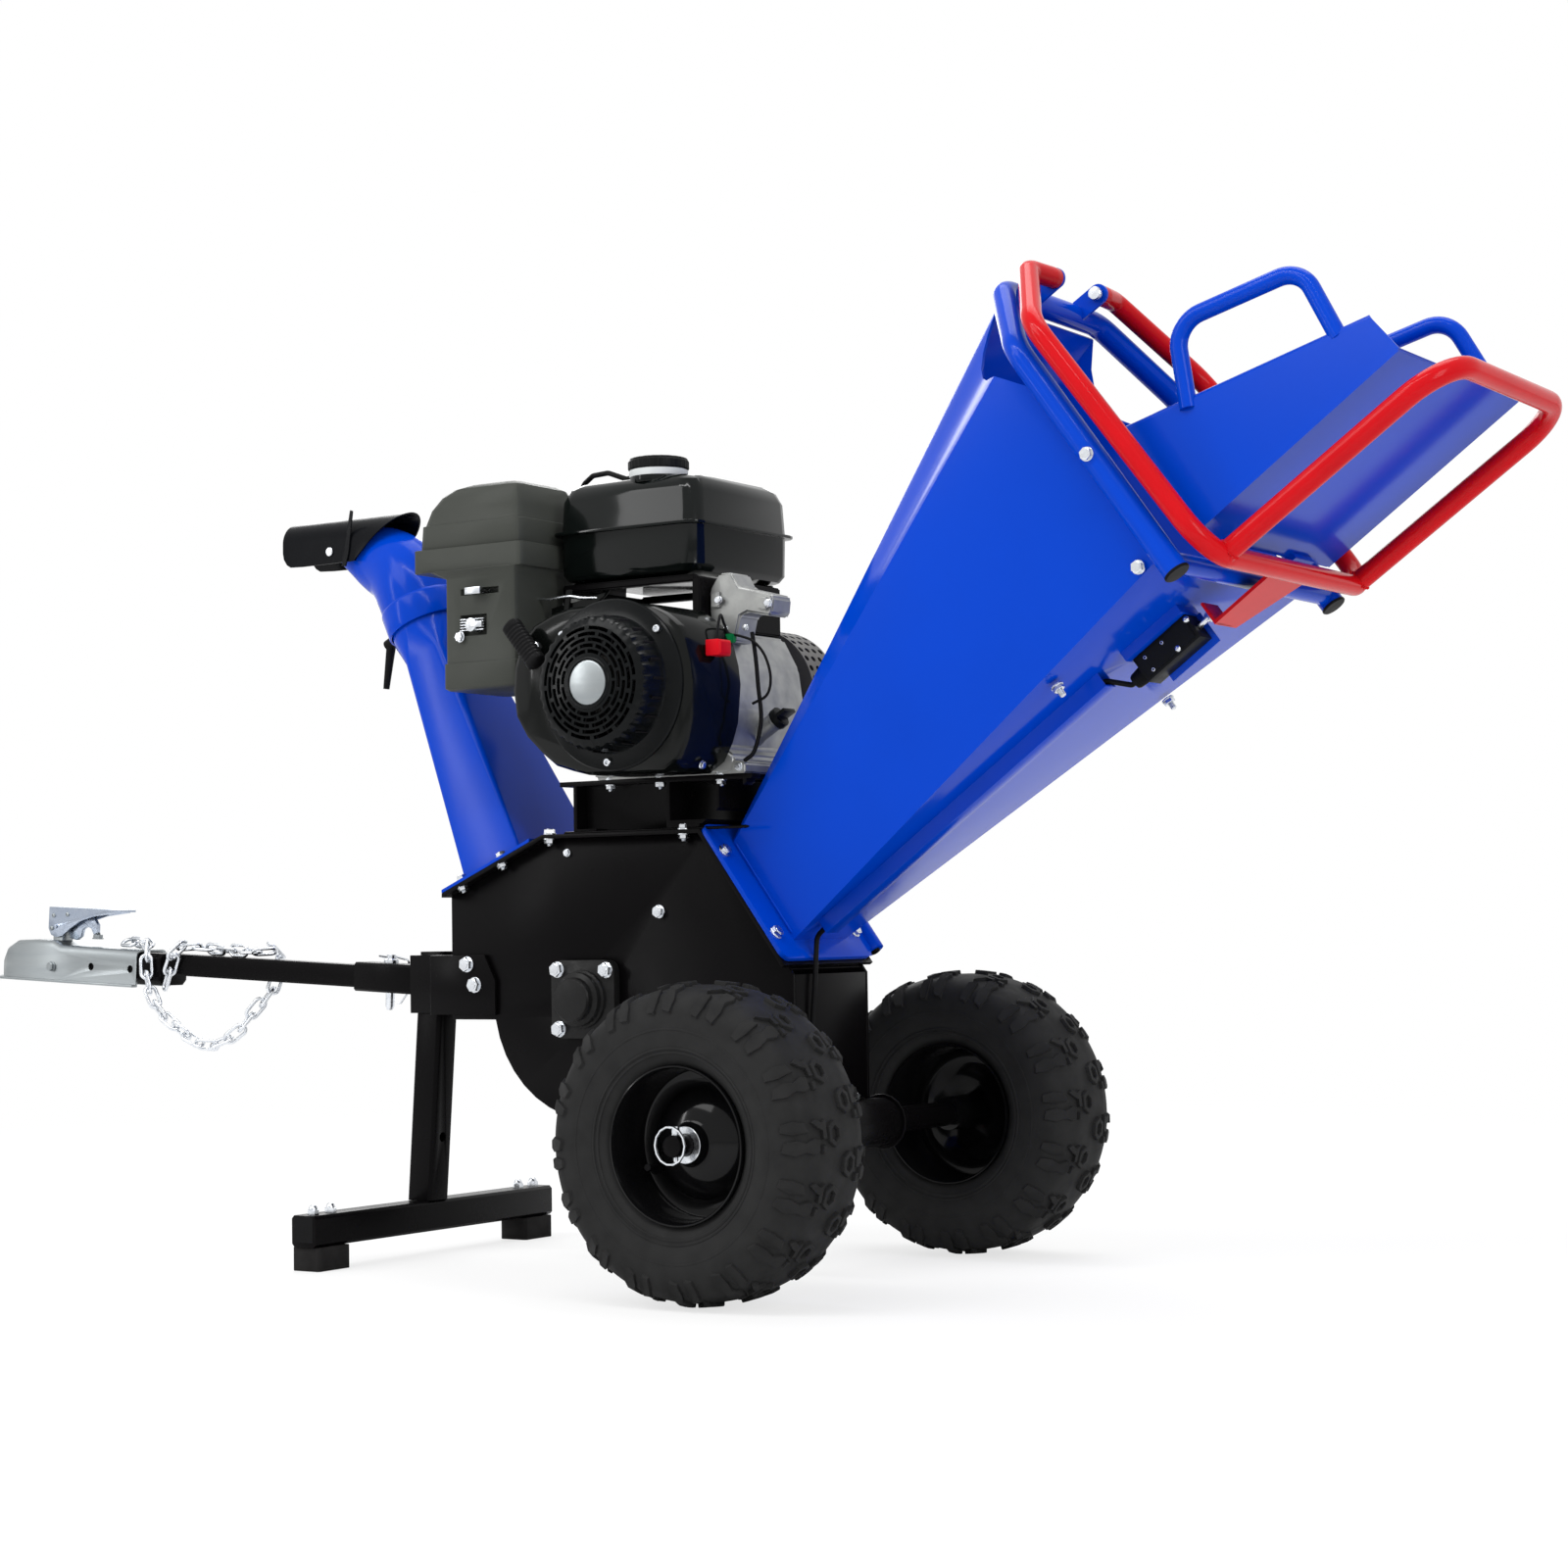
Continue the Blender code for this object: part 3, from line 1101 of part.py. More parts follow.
fins = []
for k in range(9):
    s = 0.122 + 0.0115 * k
    fins += [(s, 0.047), (s + 0.0055, 0.047), (s + 0.0055, 0.038), (s + 0.0115, 0.038)]
fins = fins[:-1] + [(0.2195, 0.038), (0.2200, 0.043), (0.2600, 0.043), (0.2680, 0.036)]
low = [(s, -w) for s, w in fins[::-1]]
part("cylinder_head", moved(slab(fins + low, -0.0385, 0.062), cyl), CAST_ALU)

# Fan shroud: hollow cover whose rings are sampled round the crank
SHROUD_N = 32
SHROUD_Y0 = -0.1003
SHROUD_Y1 = -0.200
shroud_shape = [(0.117, 0), (0.113, 0.034), (0.098, 0.068), (0.066, 0.092), (0.020, 0.0985), (-0.070, 0.0985),
                (-0.115, 0.088), (-0.147, 0.058), (-0.157, 0.010), (-0.150, -0.040), (-0.125, -0.068),
                (-0.090, -0.094), (-0.045, -0.1055), (0.070, -0.1055), (0.098, -0.088), (0.113, -0.045)]


def sampled(shape, shrink, n=SHROUD_N):
    """Closed outline sampled by angle, drawn in by a margin."""
    out = []
    for k in range(n):
        t = 2 * math.pi * k / n
        d = (math.cos(t), math.sin(t))
        best = 0
        for (ax, az), (bx, bz) in zip(shape, shape[1:] + shape[:1]):
            den = d[0] * (bz - az) - d[1] * (bx - ax)
            if abs(den) < 1e-9:
                continue
            r = (ax * (bz - az) - az * (bx - ax)) / den
            s = (ax * d[1] - az * d[0]) / den
            if r > 0 and -1e-6 <= s <= 1 + 1e-6:
                best = max(best, r)
        out.append((CRANK_X + (best - shrink) * d[0], CRANK_Z + (best - shrink) * d[1]))
    return out


FAN_R = 0.090
wall = 0.003
fan = circle2(CRANK_X, CRANK_Z, FAN_R, SHROUD_N)
outside = [(0, SHROUD_Y0), (0, SHROUD_Y1 + 0.010), (0.0035, SHROUD_Y1 + 0.0035), (0.010, SHROUD_Y1)]
inside = [(0.011, SHROUD_Y1 + wall), (wall, SHROUD_Y1 + 0.012), (wall, SHROUD_Y0)]
rings = [at_y(sampled(shroud_shape, shrink), y) for shrink, y in outside]
rings += [at_y(fan, SHROUD_Y1), at_y(fan, SHROUD_Y1 + wall)]
rings += [at_y(sampled(shroud_shape, shrink), y) for shrink, y in inside]
ROPE = Vector((CRANK_X - 0.116, SHROUD_Y1, CRANK_Z + 0.052))
shroud = solid(rings, loop=True)
rope_hole = rod(ROPE - Vector((0, 0.01, 0)), ROPE + Vector((0, 0.02, 0)), 0.0030, 10)
shroud = combine(shroud, [rope_hole], "DIFFERENCE")
part("fan_shroud", shroud, ENGINE_BLACK)

# Recoil starter cover: slotted disc on a flange, turned as a polar grid with the slots left out
SLOTS = 30
cover_rows = [(0.1035, SHROUD_Y1 - GAP), (0.1035, SHROUD_Y1 - 0.0035), (0.0900, SHROUD_Y1 - 0.0045),
              (0.0815, SHROUD_Y1 - 0.008), (0.0765, SHROUD_Y1 - 0.040), (0.0720, SHROUD_Y1 - 0.0450),
              (0.0640, SHROUD_Y1 - 0.0460), (0.0585, SHROUD_Y1 - 0.0465), (0.0510, SHROUD_Y1 - 0.0475),
              (0.0455, SHROUD_Y1 - 0.0480), (0.0380, SHROUD_Y1 - 0.0490), (0.0290, SHROUD_Y1 - 0.0490)]


def cover_grid(inside):
    """Grid of the cover's outer or inner skin."""
    seat = {0: (0.0960, SHROUD_Y1 - GAP), 1: (0.0940, SHROUD_Y1 - 0.0008), 2: (0.0870, SHROUD_Y1 - 0.0012)}
    out = []
    for k, (r, y) in enumerate(cover_rows):
        if inside:
            r, y = seat.get(k, (r - (0.0025 if k in (3, 4) else 0.0022 if k == 5 else 0), y + 0.0025))
        out.append(at_y(circle2(CRANK_X, CRANK_Z, r, SLOTS), y))
    return out


def grille(i, j):
    """Cells kept: slots in three rings, with six spokes, and vents round the side wall."""
    if i in (5, 7, 9):
        return j % 5 == 0
    if i == 3:
        return j % 2 == 0
    return True


cover = shell(cover_grid(False), cover_grid(True), grille, wrap=True)
hub = lathe([(0, 0.0455), (0.0310, 0.0455), (0.0310, 0.0505), (0.0290, 0.0520), (0, 0.0520)],
            CRANK_X, CRANK_Z, -1, SLOTS, y0=SHROUD_Y1)
part("recoil_cover", combine(cover, [hub]), GRILLE_BLACK)

GRIP_DIR = Vector((0.62, 0, -0.78)).normalized()
mid = ROPE + Vector((0, -0.0185, 0))
handle = sweep([mid - GRIP_DIR * 0.040, mid + GRIP_DIR * 0.030],
               rrect(-0.0105, 0.0105, -0.0125, 0.0125, 0.006, 2), (0, 1, 0))
cord = rod(ROPE + Vector((0, -0.010, 0)), ROPE + Vector((0, 0.058, 0)), 0.0025, 8)
part("recoil_handle", combine(handle, [cord]), GRIP_BLACK, ROPE)

# Fuel tank
tank_levels = [(0.8560, 0.016), (0.8600, 0.006), (0.8680, 0.001), (0.9165, 0.0), (0.9165, -0.007),
               (0.9205, -0.007), (0.9205, 0.0), (0.9600, 0.002), (0.9740, 0.008), (0.9810, 0.018),
               (TANK_TOP, 0.030)]
tank = solid([at_z(rrect(-0.355 + m, -0.1415 - m, -0.100 + m, 0.117 - m, 0.022, 3), z)
              for z, m in tank_levels])
CAP_C = (-0.224, -0.058)


def turned_up(profile, centre, n=28):
    """Turns (radius, z) points about an upright axis."""
    x, y = centre
    return solid([[Vector((x, y, z))] if r < 1e-6 else at_z(circle2(x, y, r, n), z) for r, z in profile])


neck = turned_up([(0, 0.975), (0.0360, 0.975), (0.0360, 0.9922), (0, 0.9922)], CAP_C, 20)
part("fuel_tank", combine(tank, [neck]), TANK_BLACK)
CAP_Z = 0.9925
cap = turned_up([(0, CAP_Z), (0.0365, CAP_Z), (0.0378, 0.9940), (0.0378, 1.0030), (0.0350, 1.0070),
                 (0.0240, 1.0080), (0, 1.0080)], CAP_C, 22)
part("fuel_cap", cap, CAP_GREY, (CAP_C[0], CAP_C[1], CAP_Z))

# Air cleaner and its control box
cover_levels = [(0.9063, 0.0, 0.0), (0.9370, 0.001, 0.002), (0.9375, 0.003, 0.005), (0.9560, 0.004, 0.014),
                (0.9715, 0.006, 0.030), (0.9810, 0.010, 0.048), (0.9855, 0.018, 0.066)]
cleaner = solid([at_z(rrect(-0.5255 + left_in, -0.3630 - m, -0.1635 + m, -0.0335 - m, 0.012, 2), z)
                 for z, m, left_in in cover_levels])
part("air_cleaner_cover", cleaner, FILTER_GREY)
base_levels = [(0.7250, 0.004, 0), (0.7280, 0.0, 0), (0.7590, 0.0, 0), (0.7595, 0.002, 0), (0.8660, 0.002, 0),
               (0.8760, 0.0, 1), (0.8765, 0.0, 2), (0.9060, 0.0, 2)]
spans = {0: (-0.4805, -0.3635, -0.1715, -0.0415), 1: (-0.5025, -0.3625, -0.1735, -0.0295),
         2: (-0.5305, -0.3570, -0.1685, -0.0285)}
rings = []
for z, m, kind in base_levels:
    x0, x1, y0, y1 = spans[kind]
    rings.append(at_z(rrect(x0 + m, x1 - m, y0 + m, y1 - m, 0.008, 2), z))
base = solid(rings)
FACE_Y = spans[0][2] + 0.002
CHOKE = (-0.4215, 0.8475)
VALVE = (-0.4315, 0.8055)
slot = box(CHOKE[0] - 0.030, CHOKE[0] + 0.030, FACE_Y - 0.01, FACE_Y + 0.012,
           CHOKE[1] - 0.004, CHOKE[1] + 0.004)
recess = box(VALVE[0] - 0.021, VALVE[0] + 0.021, FACE_Y - 0.01, FACE_Y + 0.014,
             VALVE[1] - 0.013, VALVE[1] + 0.013)
part("air_cleaner_base", combine(base, [slot, recess], "DIFFERENCE"), FILTER_GREY)
blade = box(-0.011, 0.011, FACE_Y - 0.012, FACE_Y + 0.0115, -0.0018, 0.0018)
tab = box(-0.012, 0.012, FACE_Y - 0.0145, FACE_Y - 0.0105, -0.0050, 0.0038)
lever = combine(blade, [tab])
lever.transform(Matrix.Translation((CHOKE[0], 0, CHOKE[1])))
part("choke_lever", lever, ZINC, (CHOKE[0], FACE_Y, CHOKE[1]))
knob = lathe([(0, -0.0060), (0.0085, -0.0060), (0.0085, 0.0135), (0, 0.0135)], VALVE[0], VALVE[1],
             n=16, y0=FACE_Y)
arm = box(VALVE[0] - 0.0035, VALVE[0] + 0.0180, FACE_Y - 0.0064, FACE_Y - 0.0008,
          VALVE[1] - 0.0035, VALVE[1] + 0.0035)
part("fuel_valve_lever", combine(knob, [arm]), ZINC, (VALVE[0], FACE_Y, VALVE[1]))

box_rings = []
for z, m in ((0.8330, 0.006), (0.8390, 0.0), (0.9200, 0.0), (0.9260, 0.006)):
    box_rings.append(at_z(rrect(-0.480 + m, -0.386 - m, -0.022 + m, 0.100 - m, 0.010, 2), z))
up = cyl.to_3x3() @ Vector((0, 0, -1))
port = cyl @ Vector((0.240, 0.030, -0.043))
pipe = rod(port + up * GAP, port + up * 0.036, 0.013, 12)
part("muffler", combine(solid(box_rings), [pipe]), MUFFLER)

SWITCH_AT = Vector((-0.0795, -0.158, 0.7540))
red = box(0, 0.021, -0.013, 0.013, -0.0095, 0.0095)
soften(red, 0.003, lambda e: min(e.verts[0].co.x, e.verts[1].co.x) > 0.02)
red = combine(red, [rod((-0.0024, 0, 0), (0.001, 0, 0), 0.0085, 16)])
red.transform(Matrix.Translation(SWITCH_AT))
part("engine_switch", red, SWITCH_RED, SWITCH_AT)

HOSE_R = 0.0034
side_y = spans[2][3] + GAP
hose = rounded([(-0.378, side_y, 0.891), (-0.378, side_y + 0.0085, 0.891), (-0.371, side_y + 0.0080, 0.992),
                (-0.345, -0.0320, 1.0010), (-0.312, -0.0440, 1.0000), (-0.275, -0.0560, 0.9872),
                (-0.2603 - GAP, -0.0580, 0.9872)], [0, 0.006, 0.014, 0.02, 0.03, 0.01, 0], 2)
part("fuel_vent_hose", tube(hose, HOSE_R, 6, (1, 0, 0)), CABLE_BLACK)


# Feed hopper: funnel on a flange, with its hinge barrels and the cable channel underneath
FLANGE_A0 = SLOPE_A + 0.0005
FLANGE_A1 = FLANGE_A0 + FLANGE
FUNNEL_A1 = 0.897
WALL = 0.003


def at_hop(points, a):
    """2-D (y, v) points put across the hopper axis at one a."""
    return [hop(a, y, v) for y, v in points]


def mix(p, q, t):
    """Point between two 2-D points."""
    return (p[0] + (q[0] - p[0]) * t, p[1] + (q[1] - p[1]) * t)


SCOOP = [(0.0, 0.870), (0.15, 0.855), (0.30, 0.849), (0.50, 0.849), (0.70, 0.857), (0.85, 0.871),
         (0.95, 0.888)]


def funnel_points(inside):
    """Pairs of throat and mouth corners with the a each edge ends at, one half from the bottom up."""
    k = WALL if inside else 0
    lo = ((THROAT_Y - k, THROAT_V0 + k), (0.1965 - k, 0.3446 + k))
    mid = ((THROAT_Y - k, 0.4945), (0.2000 - k, 0.6430 - k * 0.5))
    top = ((THROAT_Y - 0.004 - k, THROAT_V1 - k), (0.1180 - k * 0.6, 0.7360 - k))
    rows = [(lo[0], lo[1], FUNNEL_A1)]
    rows.append((mix(lo[0], mid[0], 0.84), mix(lo[1], mid[1], 0.84), FUNNEL_A1))
    rows += [(mix(mid[0], top[0], t), mix(mid[1], top[1], t), a) for t, a in SCOOP]
    rows.append((top[0], top[1], FUNNEL_A1))
    return rows


def funnel_rings(inside):
    """Throat ring and mouth ring of one skin."""
    a0 = FLANGE_A0 + 0.001
    half = funnel_points(inside)
    start = []
    end = []
    for side, rows in ((1, half), (-1, half[::-1])):
        for p, q, a in rows:
            s = (a - a0) / (FUNNEL_A1 - a0)
            m = mix(p, q, s)
            start.append(hop(a0, side * p[0], p[1]))
            end.append(hop(a, side * m[0], m[1]))
    return start, end


o0, o1 = funnel_rings(False)
i0, i1 = funnel_rings(True)
funnel = solid([o0, o1, i1, i0], loop=True)
flange_shape = rrect(-DECK_HALF, DECK_HALF, 0.3225, 0.5245, 0.012, 3)
hole = rrect(-THROAT_Y + 0.001, THROAT_Y - 0.001, THROAT_V0 + 0.001, THROAT_V1 - 0.003, 0.003, 1)
flange = plate(flange_shape, FLANGE_A0, FLANGE_A1, (hole,), at_hop)
hinge = []
for v0, v1 in ((0.3325, 0.3854), (0.4546, 0.5075)):
    hinge.append(hop_box(FLANGE_A0 + 0.0005, FLANGE_A1 - 0.0005, DECK_HALF - 0.004, HINGE_Y - 0.008,
                         v0 + 0.002, v1 - 0.002))
    hinge.append(knuckle(v0, v1, HINGE_PIN + GAP))


def channel_ring(a, y, v, wide, deep):
    """Section of the cable channel, open towards the hopper floor."""
    w = wide / 2
    t = 0.002
    ring = [(y - w, v), (y - w, v - deep), (y + w, v - deep), (y + w, v), (y + w - t, v),
            (y + w - t, v - deep + t), (y - w + t, v - deep + t), (y - w + t, v)]
    return at_hop(ring, a)


def floor_v_at(a):
    """Outer face of the hopper floor at one a."""
    t = (a - FLANGE_A0) / (FUNNEL_A1 - FLANGE_A0)
    return THROAT_V0 + (0.3446 - THROAT_V0) * t


CHAN = ((0.250, -0.0390), (0.720, -0.0455))
channel = solid([channel_ring(a, y, floor_v_at(a) + 0.0012, 0.026, 0.0195) for a, y in CHAN])
SW_Y = -0.0325
lug = hop_box(0.756, 0.842, SW_Y - 0.0255, SW_Y + 0.0255, 0.3335, floor_v_at(0.80) + 0.0012)
cheek = hop_box(0.774, 0.846, SW_Y + 0.0155 + GAP, SW_Y + 0.0155 + GAP + 0.002, 0.2930, 0.3340)
funnel_parts = [funnel] + hinge + [channel, lug, cheek]
part("feed_hopper", combine(flange, funnel_parts), BLUE, hop(HINGE_A, HINGE_Y, 0.42))

# Tubular mouth frame with the pivot ears for the safety bar
TOP_V = 0.7445
u_path = [(-LEG_Y, 0.3140), (-0.2060, 0.6360), (-0.1165, TOP_V),
          (0.1165, TOP_V), (0.2060, 0.6360), (LEG_Y, 0.3140)]
path = rounded(at_hop(u_path, MOUTH_A), [0, 0.055, 0.040, 0.040, 0.055, 0], 3)
frame = tube(path, TUBE_R, 8, hop(1, 0, 0))
cross = rod(hop(MOUTH_A, -LEG_Y, 0.3285), hop(MOUTH_A, LEG_Y, 0.3285), BAR_R, 12)
BAR_A = 0.9520
BAR_V = 0.7420
EAR_Y = 0.0540


def ear(y0, y1):
    """Pivot ear standing on the top tube."""
    tip = arc(BAR_A, BAR_V, 0.0125, -80, 80, 6)
    shape = tip + [(MOUTH_A + 0.004, TOP_V + 0.012), (MOUTH_A + 0.004, TOP_V - 0.012)]
    hole = circle2(BAR_A, BAR_V, 0.0053, 12)
    return plate(shape, y0, y1, (hole,), lambda pts, y: [hop(a, y, v) for a, v in pts])


ears = [ear(s * EAR_Y - 0.002, s * EAR_Y + 0.002) for s in (-1, 1)]
TRAY_A = 0.9345
TRAY_V = 0.3350
leaf = hop_box(0.915, TRAY_A, -0.050, 0.050, 0.3315, 0.3370)
barrel = rod(hop(TRAY_A, -0.056, TRAY_V), hop(TRAY_A, 0.056, TRAY_V), 0.0055, 12)
pin = rod(hop(TRAY_A, -0.121, TRAY_V), hop(TRAY_A, 0.121, TRAY_V), 0.0028, 10)
part("mouth_frame", combine(frame, [cross] + ears + [leaf, barrel, pin]), BLUE)

# Folding tray with leaning side walls and two carrying loops
tray_in = [(0.9445, 0.1520, 0.5030), (0.9445, 0.1630, 0.4985), (0.9405, 0.1830, 0.3425)]
tray_out = [(1.2270, 0.1640, 0.4015), (1.2280, 0.1750, 0.3970), (1.2335, 0.1830, 0.3425)]
SKIN = 0.0025


def tray_row(points, inner):
    """One row of points across the tray, lip to lip."""
    row = []
    for k, (a, y, v) in enumerate(points):
        if inner:
            y -= (0.0, SKIN * 1.05, SKIN * 1.1)[k]
            v += (-SKIN, -SKIN, SKIN)[k]
        row.append((a, y, v))
    far = [hop(a, y, v) for a, y, v in row]
    near = [hop(a, -y, v) for a, y, v in row]
    return near + far[::-1]


tray = shell([tray_row(tray_in, False), tray_row(tray_out, False)],
             [tray_row(tray_in, True), tray_row(tray_out, True)], lambda i, j: True)
pieces = []
for side in (-1, 1):
    on, down = (0.032, 0.032) if side > 0 else (0.0, 0.0)
    corners = [(1.0150, 0.1640, 0.4620), (1.0570, 0.1570, 0.5494), (1.1998, 0.1570, 0.4963),
               (1.1880, 0.1660, 0.4040)]
    loop = [hop(a + on, side * y, v - down) for a, y, v in corners]
    pieces.append(tube(rounded(loop, [0, 0.034, 0.034, 0], 3), 0.0098, 8, (0, 1, 0)))
    y0 = 0.060 if side > 0 else -0.118
    ring = [(TRAY_A + p, TRAY_V + q) for p, q in circle2(0, 0, 0.0055, 12)]
    bore = [(TRAY_A + p, TRAY_V + q) for p, q in circle2(0, 0, 0.0031, 12)]
    rings = [[hop(p, y, q) for p, q in ring] for y in (y0, y0 + 0.058)]
    rings += [[hop(p, y, q) for p, q in bore] for y in (y0 + 0.058, y0)]
    pieces.append(solid(rings, loop=True))
    pieces.append(hop_box(TRAY_A + 0.0034, TRAY_A + 0.016, y0 + 0.002, y0 + 0.056, TRAY_V + 0.0005, 0.3435))
part("feed_tray", combine(tray, pieces), BLUE, hop(TRAY_A, 0, TRAY_V))

# Red safety bar: hoop round the mouth, forward loop and the strip that works the switch
RED_R = 0.0122
half = [(BAR_A, EAR_Y + 0.0025, BAR_V), (BAR_A, EAR_Y + 0.0120, BAR_V), (0.9480, 0.1080, 0.7465),
        (0.9470, 0.2180, 0.6400), (0.9550, 0.2195, 0.3030)]
hoop = [hop(a, -y, v) for a, y, v in half] + [hop(a, y, v) for a, y, v in half[::-1]]
bends = [0, 0.02, 0.022, 0.060, 0.050, 0.050, 0.060, 0.022, 0.02, 0]
hoop = tube(rounded(hoop, bends, 3), RED_R, 8, (1, 0, 0))
loop = [(0.9560, -LOOP_Y, 0.3045), (LOOP_A, -LOOP_Y, 0.2995),
        (LOOP_A, LOOP_Y, 0.2995), (0.9560, LOOP_Y, 0.3045)]
loop = tube(rounded([hop(*p) for p in loop], [0, 0.060, 0.060, 0], 4), RED_R, 8, (0, 0, 1))
strip = [(0.9600, 0.0450), (0.9600, -0.0560), (0.8640, -0.0555), (0.8640, 0.0000)]
strip = slab(strip, 0.2975, 0.3015, lambda pts, v: [hop(a, y, v) for a, y in pts])
tab = hop_box(0.8640, 0.8675, -0.0555, -0.0150, 0.2975, 0.3270)
studs = [rod(hop(BAR_A, s * (EAR_Y - 0.006), BAR_V), hop(BAR_A, s * (EAR_Y + 0.006), BAR_V), 0.0048, 12)
         for s in (-1, 1)]
part("safety_bar", combine(hoop, [loop, strip, tab] + studs), RED, hop(BAR_A, 0, BAR_V))

# Limit switch under the hopper, its plunger and the cable down to the body
SW_V = 0.3165
body = hop_box(0.7600, 0.8400, SW_Y - 0.0155, SW_Y + 0.0155, 0.3010, 0.3330)
gland = rod(hop(0.7615, SW_Y, SW_V), hop(0.7420, SW_Y, SW_V), 0.0105, 14, 0.0085)
bore = rod(hop(0.8270, SW_Y, SW_V), hop(0.8470, SW_Y, SW_V), 0.0043, 12)
part("limit_switch", combine(combine(body, [gland]), [bore], "DIFFERENCE"), SWITCH_BLACK)
stem = rod(hop(0.8350, SW_Y, SW_V), hop(0.8560, SW_Y, SW_V), 0.0040, 12)
roller = rod(hop(0.8575, SW_Y - 0.0035, SW_V), hop(0.8575, SW_Y + 0.0035, SW_V), 0.0058, 14)
part("switch_plunger", combine(stem, [roller]), ZINC, hop(0.8420, SW_Y, SW_V))

low = hop(0.2300, -0.0390, 0.3400)
cable = [hop(0.7420 - GAP, SW_Y, SW_V), hop(0.7370, SW_Y, SW_V), hop(0.7180, -0.0455, 0.3375),
         hop(0.2500, -0.0390, 0.3420), low, Vector((REAR_X + 0.0068, -0.0480, low.z - 0.060)),
         Vector((REAR_X + 0.0040, -0.0580, 0.255)), Vector((REAR_X + 0.0040, -0.0580, 0.236))]
cable = rounded(cable, [0, 0.004, 0.01, 0.03, 0.012, 0.05, 0.01, 0], 2)
part("switch_cable", tube(cable, 0.0032, 6, (0, 0, 1)), CABLE_BLACK)

DATUM.location = (AXLE_X, 0, 0)
bpy.context.scene.collection.objects.link(DATUM)
bpy.context.view_layer.update()
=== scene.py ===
# %% [markdown]
# # A towed wood chipper with a petrol engine
# This script dresses the plain solids of a garden wood chipper: it adds the lugged tyres, the chain,
# the fan grille, the screws, the wires and the paint. The solids come in as a frame whose bodies
# already know how they move, so every piece made here is told which body it rides on.

import math

import bmesh
import bpy
from mathutils import Matrix, Vector


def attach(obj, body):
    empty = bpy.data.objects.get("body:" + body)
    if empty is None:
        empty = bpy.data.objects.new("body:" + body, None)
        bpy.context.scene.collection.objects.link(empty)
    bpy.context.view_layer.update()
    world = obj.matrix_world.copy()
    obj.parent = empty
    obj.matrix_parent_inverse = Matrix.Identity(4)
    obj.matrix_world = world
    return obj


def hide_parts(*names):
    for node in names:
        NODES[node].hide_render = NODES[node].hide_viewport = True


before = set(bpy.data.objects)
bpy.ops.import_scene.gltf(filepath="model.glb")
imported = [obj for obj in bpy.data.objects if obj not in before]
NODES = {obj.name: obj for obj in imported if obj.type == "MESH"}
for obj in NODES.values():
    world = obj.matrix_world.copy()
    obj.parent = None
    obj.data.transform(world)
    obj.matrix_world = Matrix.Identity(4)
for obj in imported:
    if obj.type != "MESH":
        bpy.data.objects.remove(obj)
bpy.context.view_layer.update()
AXLE = Vector((0.2995, 0, 0))     # lengths below are measured from the point under the axle


def at(x, y, z):
    """A point measured from under the axle, as a point of the scene."""
    return Vector((x, y, z)) + AXLE


TILT = math.radians(36.0)         # the hopper's slope


def hop(a, y, v):
    """A point measured along the hopper, across it and square to it."""
    return at(math.cos(TILT) * a - math.sin(TILT) * v, y, math.sin(TILT) * a + math.cos(TILT) * v)


TOW = Matrix.Translation(AXLE + Vector((-0.717, 0, 0.3635))) @ Matrix.Rotation(math.radians(3.0), 4, "Y")

# %% [markdown]
# ## Camera
# The viewpoint was found by matching corners of the machine to the photograph. It stands 3.6 metres
# from the axle and low down, with a long lens, so the wheels show a little perspective but the hopper
# stays almost square. It is placed with a matrix because the picture is also turned by one degree.

# %% Camera
def new_object(name, data):
    """An object in the scene that shows a datablock."""
    obj = bpy.data.objects.new(name, data)
    bpy.context.scene.collection.objects.link(obj)
    return obj


AZIMUTH = math.radians(33.055)
PITCH = math.radians(2.818)
ROLL = -0.01593
FOCAL_PX = 3030.84                # for a picture 1600 pixels wide
ahead = Vector((-math.sin(AZIMUTH) * math.cos(PITCH), math.cos(AZIMUTH) * math.cos(PITCH), math.sin(PITCH)))
level = Vector((math.cos(AZIMUTH), math.sin(AZIMUTH), 0))
above = level.cross(ahead)
right = level * math.cos(ROLL) + above * math.sin(ROLL)
upward = above * math.cos(ROLL) - level * math.sin(ROLL)
place = at(1.9058, -3.0559, 0.4187)
lens = bpy.data.cameras.new("camera")
lens.sensor_width = 36
lens.lens = FOCAL_PX / 1600 * 36
lens.clip_start = 0.1
camera = new_object("camera", lens)
camera.matrix_world = Matrix(((right.x, upward.x, -ahead.x, place.x), (right.y, upward.y, -ahead.y, place.y),
                              (right.z, upward.z, -ahead.z, place.z), (0, 0, 0, 1)))
bpy.context.scene.camera = camera
print("lens", round(lens.lens, 2), "mm")

# %% [markdown]
# ## Making meshes and pieces
# A few small helpers build every hand-made piece. Each finished piece is one mesh whose points are
# already in their final place, with its object at the origin, so its paint never slides.

# %% Mesh helpers
def piece(name, bm, look, body, smooth=35, body_replaces=()):
    """Turns a bmesh into a finished piece that rides on a body."""
    bmesh.ops.remove_doubles(bm, verts=bm.verts, dist=0.00001)
    bmesh.ops.recalc_face_normals(bm, faces=bm.faces)
    mesh = bpy.data.meshes.new(name)
    bm.to_mesh(mesh)
    bm.free()
    return finish_piece(name, mesh, look, body, smooth, body_replaces)


def finish_piece(name, mesh, look, body, smooth=35, body_replaces=()):
    """Links a mesh as a piece, shades it, and tells the frame about it."""
    obj = new_object(name, mesh)
    if look and not any(m == look for m in mesh.materials):
        mesh.materials.clear()
        mesh.materials.append(look)
    mesh.shade_smooth()
    mesh.set_sharp_from_angle(angle=math.radians(smooth))
    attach(obj, body)
    if body_replaces:
        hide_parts(*body_replaces)
    print(name, len(mesh.polygons), "faces on", body)
    return obj


